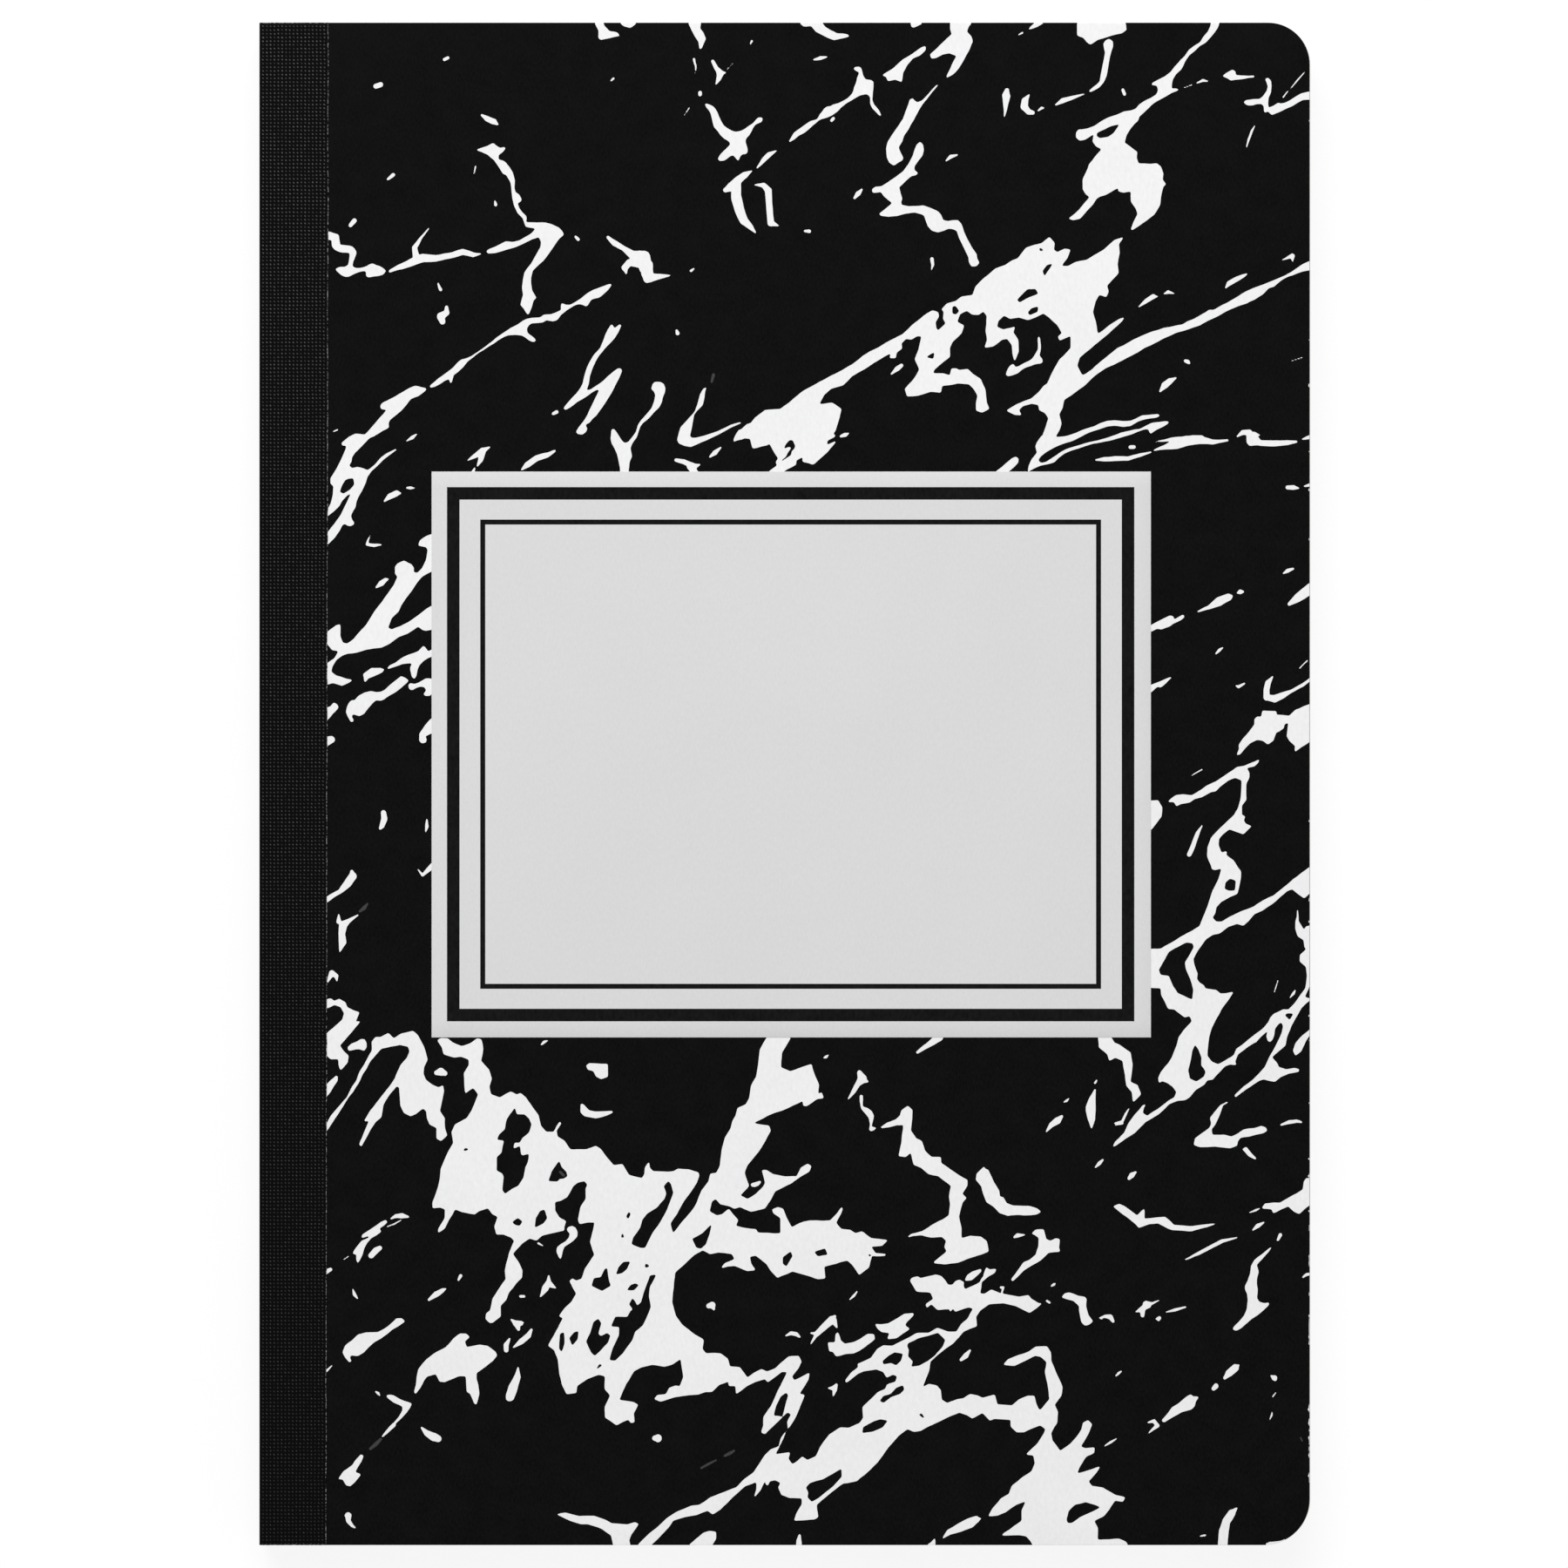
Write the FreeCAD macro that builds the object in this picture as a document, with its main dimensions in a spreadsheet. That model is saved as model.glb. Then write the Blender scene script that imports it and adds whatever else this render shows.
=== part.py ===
"""Composition notebook: sewn leaves, two hinged covers, cloth tape over the spine and a pasted label.

Millimetres. The notebook lies on its back cover. +X runs from the spine to the fore-edge, +Y from the tail
to the head of the page and +Z out of the front cover. The origin is the middle of the underside.
"""

import FreeCAD, Part
import math
import os

import Sketcher

# Every driving size, in millimetres apart from the count of leaves.
SIZES = [
    ("book_height", 254.0, "tail to head"),
    ("book_width", 175.3, "spine to fore-edge"),
    ("head_corner_radius", 7.0, "fore-edge corner at the head"),
    ("tail_corner_radius", 7.7, "fore-edge corner at the tail"),
    ("leaf_count", 100, "leaves between the covers"),
    ("leaf_thickness", 0.09, "one leaf with the air beside it"),
    ("board_thickness", 0.9, "one cover board"),
    ("tape_thickness", 0.2, "cloth tape"),
    ("tape_flange_width", 11.4, "tape on a cover, from the spine's face"),
    ("label_width", 120.0, "label along X"),
    ("label_height", 94.4, "label along Y"),
    ("label_thickness", 0.1, "label paper"),
    ("label_right_of_middle", 1.1, "label's centre past the book's"),
    ("label_above_middle", 4.9, "label's centre past the book's"),
    ("thread_diameter", 0.5, "sewing thread"),
    ("thread_gap", 0.02, "thread clear of the tape"),
    ("needle_hole_gap", 0.05, "thread clear of the leaves"),
    ("stitch_length", 8.0, "one stitch along the spine"),
    ("seam_end_margin", 7.0, "least unsewn length at head and tail"),
]

# Sizes that several pieces share, worked out from the sheet.
LEAVES = "sizes.leaf_count * sizes.leaf_thickness"
COVER = "(sizes.board_thickness + sizes.tape_thickness)"
SPINE_FACE = "-sizes.book_width / 2"
FRONT_HINGE_LEVEL = COVER + " + " + LEAVES
SEAM_PAIRS = "floor((sizes.book_height - 2 * sizes.seam_end_margin) / (2 * sizes.stitch_length))"
OUTER_RUN = "sizes.thread_diameter / 2 + sizes.thread_gap"
CENTRE_FOLD = LEAVES + " / 2"

# Sketcher names an element's ends and centre by these numbers, and its own origin and X axis by these.
START, END, CENTRE = 1, 2, 3
ORIGIN, ORIGIN_POINT = -1, 1
X_AXIS = -1

UP = FreeCAD.Vector(0, 0, 1)
NEAR = 1e-4


def make_sheet(doc):
    """The spreadsheet that holds every driving size under its own alias."""
    sheet = doc.addObject("Spreadsheet::Sheet", "sizes")
    for row, (alias, number, note) in enumerate(SIZES, start=1):
        sheet.set(f"A{row}", note)
        sheet.set(f"B{row}", str(number))
        sheet.setAlias(f"B{row}", alias)
    doc.recompute()
    return sheet


def value(obj, expression):
    """The number that an expression on the sheet gives now."""
    return float(obj.evalExpression(expression))


def origin_feature(body, role):
    """The body's own origin plane or axis of that role."""
    return next(f for f in body.Origin.OriginFeatures if f.Role == role)


def new_body(doc, label):
    body = doc.addObject("PartDesign::Body", label + "_body")
    body.Label = label
    return body


def new_sketch(body, name, plane):
    sketch = body.newObject("Sketcher::SketchObject", name)
    sketch.AttachmentSupport = [(origin_feature(body, plane), "")]
    sketch.MapMode = "FlatFace"
    return sketch


def line(sketch, a, b):
    return sketch.addGeometry(Part.LineSegment(FreeCAD.Vector(*a, 0), FreeCAD.Vector(*b, 0)))


def arc(sketch, centre, radius, from_degrees, to_degrees):
    circle = Part.Circle(FreeCAD.Vector(*centre, 0), UP, radius)
    return sketch.addGeometry(Part.ArcOfCircle(circle, math.radians(from_degrees), math.radians(to_degrees)))


def join(sketch, kind, *pairs):
    """Joins elements end to end: each pair is (element, its end, next element, its end)."""
    for pair in pairs:
        sketch.addConstraint(Sketcher.Constraint(kind, *pair))


def hold(sketch, kind, *elements):
    for element in elements:
        sketch.addConstraint(Sketcher.Constraint(kind, element))


def place(sketch, kind, name, element, point, expression):
    """A named distance from the sketch's origin to a point, bound to the sheet."""
    number = value(sketch, expression)
    index = sketch.addConstraint(Sketcher.Constraint(kind, ORIGIN, ORIGIN_POINT, element, point, number))
    sketch.renameConstraint(index, name)
    sketch.setExpression("Constraints." + name, expression)


def set_radius(sketch, name, element, expression):
    index = sketch.addConstraint(Sketcher.Constraint("Radius", element, value(sketch, expression)))
    sketch.renameConstraint(index, name)
    sketch.setExpression("Constraints." + name, expression)


def corner_edge(shape, along_x, along_y):
    """The name of the straight edge that stands up from the sheet plane at this corner."""
    for number, edge in enumerate(shape.Edges, start=1):
        box = edge.BoundBox
        upright = box.XLength < NEAR and box.YLength < NEAR and box.ZLength > NEAR
        if upright and abs(box.XMin - along_x) < NEAR and abs(box.YMin - along_y) < NEAR:
            return f"Edge{number}"
    raise RuntimeError("no upright edge at the corner")


def pad_across_height(doc, body, section):
    """Carries a cross-section from the tail to the head of the book."""
    pad = body.newObject("PartDesign::Pad", body.Name + "_pad")
    pad.Profile = section
    pad.SideType = "Symmetric"
    pad.setExpression("Length", "sizes.book_height")
    doc.recompute()
    return pad


def trim_fore_edge_corners(doc, body, base, head_side):
    """Rounds the two fore-edge corners. head_side is 1 where the body's own +Y is the head, else -1."""
    corner_x = value(body, "sizes.book_width")
    corner_y = value(body, "sizes.book_height / 2")
    for name, side in (("head", head_side), ("tail", -head_side)):
        fillet = body.newObject("PartDesign::Fillet", f"{body.Name}_{name}_corner")
        fillet.Base = (base, [corner_edge(base.Shape, corner_x, side * corner_y)])
        fillet.setExpression("Radius", f"sizes.{name}_corner_radius")
        doc.recompute()
        base = fillet
    body.Tip = base


def set_on_hinge_line(body, level, turned_over):
    """Puts a body whose own origin is on a hinge line at that line. The back cover's pieces are turned over."""
    if turned_over:
        body.Placement.Rotation = FreeCAD.Rotation(FreeCAD.Vector(1, 0, 0), 180)
    body.setExpression("Placement.Base.x", SPINE_FACE)
    body.setExpression("Placement.Base.z", level)


def make_leaf_block(doc):
    """The leaves before sewing: a plain slab, from the tape to the fore-edge."""
    body = new_body(doc, "unsewn_leaves")
    section = new_sketch(body, "leaves_section", "XZ_Plane")
    left = value(section, "sizes.tape_thickness")
    right = value(section, "sizes.book_width")
    top = value(section, LEAVES)
    bottom_line = line(section, (left, 0), (right, 0))
    right_line = line(section, (right, 0), (right, top))
    top_line = line(section, (right, top), (left, top))
    left_line = line(section, (left, top), (left, 0))
    join(
        section,
        "Coincident",
        (bottom_line, END, right_line, START),
        (right_line, END, top_line, START),
        (top_line, END, left_line, START),
        (left_line, END, bottom_line, START),
    )
    hold(section, "Horizontal", bottom_line, top_line)
    hold(section, "Vertical", right_line, left_line)
    section.addConstraint(Sketcher.Constraint("PointOnObject", bottom_line, START, X_AXIS))
    place(section, "DistanceX", "spine_side", bottom_line, START, "sizes.tape_thickness")
    place(section, "DistanceX", "fore_edge", right_line, START, "sizes.book_width")
    place(section, "DistanceY", "leaves", top_line, START, LEAVES)
    doc.recompute()
    pad = pad_across_height(doc, body, section)
    trim_fore_edge_corners(doc, body, pad, 1)
    body.setExpression("Placement.Base.x", SPINE_FACE)
    body.setExpression("Placement.Base.z", COVER)
    return body


def make_cover(doc, label, level, turned_over):
    """A board from the tape to the fore-edge, its spine edge rolled to a quarter round."""
    body = new_body(doc, label)
    section = new_sketch(body, label + "_section", "XZ_Plane")
    board = value(section, "sizes.board_thickness")
    bend = value(section, COVER)
    right = value(section, "sizes.book_width")
    roll = arc(section, (bend, 0), board, 90, 180)
    outer_line = line(section, (bend, board), (right, board))
    fore_line = line(section, (right, board), (right, 0))
    inner_line = line(section, (right, 0), (bend - board, 0))
    join(section, "Tangent", (roll, START, outer_line, START))
    join(
        section,
        "Coincident",
        (outer_line, END, fore_line, START),
        (fore_line, END, inner_line, START),
        (inner_line, END, roll, END),
    )
    hold(section, "Horizontal", outer_line, inner_line)
    hold(section, "Vertical", fore_line)
    section.addConstraint(Sketcher.Constraint("PointOnObject", roll, CENTRE, X_AXIS))
    section.addConstraint(Sketcher.Constraint("PointOnObject", inner_line, START, X_AXIS))
    set_radius(section, "roll_radius", roll, "sizes.board_thickness")
    place(section, "DistanceX", "roll_centre", roll, CENTRE, COVER)
    place(section, "DistanceX", "fore_edge", fore_line, END, "sizes.book_width")
    doc.recompute()
    pad = pad_across_height(doc, body, section)
    trim_fore_edge_corners(doc, body, pad, -1 if turned_over else 1)
    set_on_hinge_line(body, level, turned_over)
    return body


def make_tape_flange(doc, label, level, turned_over):
    """The tape on one cover: a quarter round over the board's rolled edge, then a flat strip on its face."""
    body = new_body(doc, label)
    section = new_sketch(body, label + "_section", "XZ_Plane")
    board = value(section, "sizes.board_thickness")
    bend = value(section, COVER)
    reach = value(section, "sizes.tape_flange_width")
    outer_roll = arc(section, (bend, 0), bend, 90, 180)
    outer_line = line(section, (bend, bend), (reach, bend))
    cut_line = line(section, (reach, bend), (reach, board))
    glued_line = line(section, (reach, board), (bend, board))
    glued_roll = arc(section, (bend, 0), board, 90, 180)
    foot_line = line(section, (bend - board, 0), (0, 0))
    join(section, "Tangent", (outer_roll, START, outer_line, START), (glued_line, END, glued_roll, START))
    join(
        section,
        "Coincident",
        (outer_line, END, cut_line, START),
        (cut_line, END, glued_line, START),
        (glued_roll, END, foot_line, START),
        (foot_line, END, outer_roll, END),
        (outer_roll, CENTRE, glued_roll, CENTRE),
    )
    hold(section, "Horizontal", outer_line, glued_line, foot_line)
    hold(section, "Vertical", cut_line)
    section.addConstraint(Sketcher.Constraint("PointOnObject", outer_roll, CENTRE, X_AXIS))
    section.addConstraint(Sketcher.Constraint("PointOnObject", foot_line, START, X_AXIS))
    set_radius(section, "outer_radius", outer_roll, COVER)
    set_radius(section, "glued_radius", glued_roll, "sizes.board_thickness")
    place(section, "DistanceX", "roll_centre", outer_roll, CENTRE, COVER)
    place(section, "DistanceX", "cut_edge", cut_line, START, "sizes.tape_flange_width")
    doc.recompute()
    body.Tip = pad_across_height(doc, body, section)
    set_on_hinge_line(body, level, turned_over)
    return body


def stitch_path(doc, body):
    """The thread's line for one pair of stitches, in the leaves' mid-plane.

    Half an outer run under the tape, a leg in to the centre fold, an inner run in the fold, a leg back out
    and the other half of the outer run. X is the depth from the back of the fold and Y runs up the spine.
    """
    sketch = new_sketch(body, body.Label + "_path", "XY_Plane")
    stitch = value(sketch, "sizes.stitch_length")
    outer = value(sketch, OUTER_RUN)
    inner = value(sketch, CENTRE_FOLD)
    levels = (0, stitch / 2, 3 * stitch / 2, 2 * stitch)
    corners = [
        (outer, levels[0]),
        (outer, levels[1]),
        (inner, levels[1]),
        (inner, levels[2]),
        (outer, levels[2]),
        (outer, levels[3]),
    ]
    runs = [line(sketch, a, b) for a, b in zip(corners, corners[1:])]
    join(sketch, "Coincident", *((a, END, b, START) for a, b in zip(runs, runs[1:])))
    hold(sketch, "Vertical", runs[0], runs[2], runs[4])
    hold(sketch, "Horizontal", runs[1], runs[3])
    sketch.addConstraint(Sketcher.Constraint("PointOnObject", runs[0], START, X_AXIS))
    place(sketch, "DistanceX", "first_outer_run", runs[0], START, OUTER_RUN)
    place(sketch, "DistanceX", "inner_run", runs[2], START, CENTRE_FOLD)
    place(sketch, "DistanceX", "last_outer_run", runs[4], START, OUTER_RUN)
    place(sketch, "DistanceY", "leg_in", runs[1], START, "sizes.stitch_length / 2")
    place(sketch, "DistanceY", "leg_out", runs[3], START, "sizes.stitch_length * 3 / 2")
    place(sketch, "DistanceY", "pair_end", runs[4], END, "sizes.stitch_length * 2")
    doc.recompute()
    return sketch


def make_seam(doc, label, section_diameter):
    """A round section carried along the stitches, repeated up the spine: the thread, or its needle holes."""
    body = new_body(doc, label)
    path = stitch_path(doc, body)
    section = new_sketch(body, label + "_section", "XZ_Plane")
    outer = value(section, OUTER_RUN)
    radius = value(section, section_diameter + " / 2")
    circle = section.addGeometry(Part.Circle(FreeCAD.Vector(outer, 0, 0), UP, radius))
    section.addConstraint(Sketcher.Constraint("PointOnObject", circle, CENTRE, X_AXIS))
    place(section, "DistanceX", "run", circle, CENTRE, OUTER_RUN)
    set_radius(section, "radius", circle, section_diameter + " / 2")
    doc.recompute()
    pair = body.newObject("PartDesign::AdditivePipe", label + "_pair")
    pair.Profile = section
    pair.Spine = (path, [f"Edge{number}" for number in range(1, len(path.Shape.Edges) + 1)])
    pair.Transition = "Right corner"
    doc.recompute()
    seam = body.newObject("PartDesign::LinearPattern", label + "_seam")
    seam.Originals = [pair]
    seam.Direction = (origin_feature(body, "Y_Axis"), [""])
    seam.Mode = "Spacing"
    seam.setExpression("Offset", "sizes.stitch_length * 2")
    seam.setExpression("Occurrences", SEAM_PAIRS)
    body.Tip = seam
    body.setExpression("Placement.Base.x", SPINE_FACE + " + sizes.tape_thickness")
    body.setExpression("Placement.Base.y", "-" + SEAM_PAIRS + " * sizes.stitch_length")
    body.setExpression("Placement.Base.z", COVER + " + " + CENTRE_FOLD)
    doc.recompute()
    return body


def make_page_block(doc):
    """The sewn leaves: the slab less the needle holes and the groove that the outer runs lie in."""
    block = doc.addObject("Part::Cut", "page_block_cut")
    block.Base = make_leaf_block(doc)
    block.Tool = make_seam(doc, "needle_holes", "(sizes.thread_diameter + 2 * sizes.needle_hole_gap)")
    block.Label = "page_block"
    return block


def make_box(doc, label, lengths, corner):
    """A plain sheet of paper or cloth: its three lengths and its lowest corner are expressions."""
    box = doc.addObject("Part::Box", label + "_box")
    box.Label = label
    for name, expression in zip(("Length", "Width", "Height"), lengths):
        box.setExpression(name, expression)
    for name, expression in zip(("x", "y", "z"), corner):
        box.setExpression("Placement.Base." + name, expression)
    return box


def make_spine_tape(doc):
    """The tape on the back of the folded leaves, between the two hinge lines."""
    lengths = ("sizes.tape_thickness", "sizes.book_height", LEAVES)
    return make_box(doc, "spine_tape", lengths, (SPINE_FACE, "-sizes.book_height / 2", COVER))


def make_label(doc):
    """The label pasted on the front cover's face."""
    lengths = ("sizes.label_width", "sizes.label_height", "sizes.label_thickness")
    corner = (
        "sizes.label_right_of_middle - sizes.label_width / 2",
        "sizes.label_above_middle - sizes.label_height / 2",
        FRONT_HINGE_LEVEL + " + sizes.board_thickness",
    )
    return make_box(doc, "label", lengths, corner)


def check(doc, pieces):
    """Stops if any object failed to compute or any piece isn't one valid solid."""
    for obj in doc.Objects:
        if "Invalid" in obj.State or "Error" in obj.State:
            raise RuntimeError(f"{obj.Label} failed: {obj.State}")
    for piece in pieces:
        shape = piece.Shape
        if shape.isNull() or not shape.isValid() or len(shape.Solids) != 1:
            raise RuntimeError(f"{piece.Label} isn't one valid solid")


def write(pieces):
    os.makedirs("parts", exist_ok=True)
    for piece in pieces:
        piece.Shape.exportStep(f"parts/{piece.Label}.step")
        box = piece.Shape.BoundBox
        print(
            f"{piece.Label:20s} volume {piece.Shape.Volume:10.1f}  "
            f"x {box.XMin:8.2f} {box.XMax:8.2f}  y {box.YMin:8.2f} {box.YMax:8.2f}  "
            f"z {box.ZMin:6.2f} {box.ZMax:6.2f}"
        )


def main():
    doc = FreeCAD.newDocument("composition_notebook")
    make_sheet(doc)
    pieces = [
        make_page_block(doc),
        make_seam(doc, "binding_thread", "sizes.thread_diameter"),
        make_spine_tape(doc),
        make_cover(doc, "front_cover", FRONT_HINGE_LEVEL, False),
        make_tape_flange(doc, "front_tape_flange", FRONT_HINGE_LEVEL, False),
        make_label(doc),
        make_cover(doc, "back_cover", COVER, True),
        make_tape_flange(doc, "back_tape_flange", COVER, True),
    ]
    doc.recompute()
    check(doc, pieces)
    write(pieces)


main()
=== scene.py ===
"""Dresses the composition notebook: marbled covers, framed label, canvas tape, folded leaves and thread."""

import math

import bpy
import numpy as np
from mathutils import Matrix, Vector
from mathutils.geometry import delaunay_2d_cdt


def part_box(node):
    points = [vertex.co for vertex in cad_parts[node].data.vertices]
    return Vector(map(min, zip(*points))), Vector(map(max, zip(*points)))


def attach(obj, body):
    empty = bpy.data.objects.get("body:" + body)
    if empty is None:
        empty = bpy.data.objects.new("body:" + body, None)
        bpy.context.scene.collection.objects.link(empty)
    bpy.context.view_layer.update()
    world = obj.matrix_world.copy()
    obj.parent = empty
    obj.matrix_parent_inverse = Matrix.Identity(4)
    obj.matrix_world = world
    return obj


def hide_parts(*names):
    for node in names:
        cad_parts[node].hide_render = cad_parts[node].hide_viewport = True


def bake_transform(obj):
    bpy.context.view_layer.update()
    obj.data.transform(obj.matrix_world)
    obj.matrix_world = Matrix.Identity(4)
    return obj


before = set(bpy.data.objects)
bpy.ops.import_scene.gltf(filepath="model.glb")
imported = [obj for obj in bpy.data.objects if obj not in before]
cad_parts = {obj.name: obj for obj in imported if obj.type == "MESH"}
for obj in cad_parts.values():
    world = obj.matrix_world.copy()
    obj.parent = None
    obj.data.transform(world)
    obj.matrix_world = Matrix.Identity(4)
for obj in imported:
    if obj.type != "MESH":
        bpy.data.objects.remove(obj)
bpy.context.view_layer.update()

bl_info = {
    "name": "Composition Notebook",
    "version": (1, 0, 0),
    "blender": (4, 5, 0),
    "location": "3D View > Sidebar > Notebook",
    "description": "Builds the covers, label, tape, leaves and thread of a composition notebook",
    "category": "Object",
}

MM = 0.001
TINY = 1e-9

# How the picture's pixels lie on the front cover: metres in a pixel, the pixel over the model's middle, and
# how far across and down the shapes in the lists below were read from where they are
PIXEL = 0.14531 * MM
PICTURE_MIDDLE = (900.75, 899.85)
READING_SHIFT = (0.0, 0.28)

# The hinge lines at the spine, the levels between them, and the covers' outline
HINGE_X = -87.65 * MM
FRONT_HINGE_Z = 10.1 * MM
BACK_HINGE_Z = 1.1 * MM
BLOCK_MIDDLE_Z = (FRONT_HINGE_Z + BACK_HINGE_Z) / 2
FORE_EDGE_X = 87.65 * MM
HALF_HEIGHT = 127 * MM
HEAD_RADIUS = 7.0 * MM
TAIL_RADIUS = 7.7 * MM

# Where the tape's cut edge lies at the tail, in the middle and at the head
TAPE_EDGE = (-76.50 * MM, -76.32 * MM, -76.10 * MM)

# The marbled paper of the front cover, in pixels of the 1800 by 1800 picture. Every shape is
# a run of plain numbers. A vein is a stroke: across, down and half width, again and again. A blot is a closed
# outline: across and down, again and again. A gap is a blot of the black ground inside the white.
HEAD_LEFT_VEINS = [
    [431, 99, 3, 437, 97, 3],
    [510, 68, 2, 514, 66, 2],
    [701, 93, 1, 704, 90, 1.5],
    [445, 205, 1.5, 451, 200, 2.3],
    [544, 199, 0.8, 546, 191, 1],
    [568, 231, 1, 569, 235, 2],
    [402, 258, 2.5, 407, 253, 3],
    [661, 271, 1.5, 664, 274, 2],
    [503, 325, 1, 506, 332, 2],
    [777, 379, 1.5, 778, 382, 2.5],
    [785, 132, 0.7, 791, 123, 0.9],
    [553, 132, 1.5, 559, 136, 3.2, 567, 139, 3.6, 571, 142, 1.5],
    [376, 270, 5, 385, 272, 4.5, 386, 281, 5],
    [448, 311, 1.5, 458, 306, 3, 472, 301, 4.5, 486, 296, 5, 500, 296, 4, 515, 293, 3.5],
    [515, 293, 3.5, 531, 289, 3.5, 543, 292, 3, 553, 291, 0.6],
    [492, 262, 0.8, 484, 272, 1.5, 476, 284, 3, 478, 294, 4],
    [513, 352, 2, 513, 359, 3.5, 506, 363, 5, 508, 369, 3.5],
    [698, 272, 1.8, 706, 279, 3.5, 716, 285, 3, 726, 292, 5, 738, 296, 9, 742, 306, 9, 744, 318, 6],
    [744, 319, 6, 758, 317, 3, 769, 316, 0.8],
    [736, 300, 8, 722, 301, 4, 717, 307, 4, 719, 314, 0.8],
    [735, 291, 4, 743, 290, 1.5],
    [383, 495, 0.8, 388, 493, 1],
    [467, 506, 0.8, 473, 502, 2.2, 478, 498, 0.8],
    [635, 475, 2, 639, 473, 2.3],
    [537, 528, 0.8, 545, 523, 2.5, 554, 517, 4, 562, 513, 0.8],
    [554, 518, 4, 552, 527, 3, 548, 535, 0.8],
    [599, 539, 1, 606, 533, 3.5, 616, 526, 3.5, 628, 522, 3, 637, 517, 1.5],
    [543, 541, 2, 545, 537, 1],
]

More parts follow.
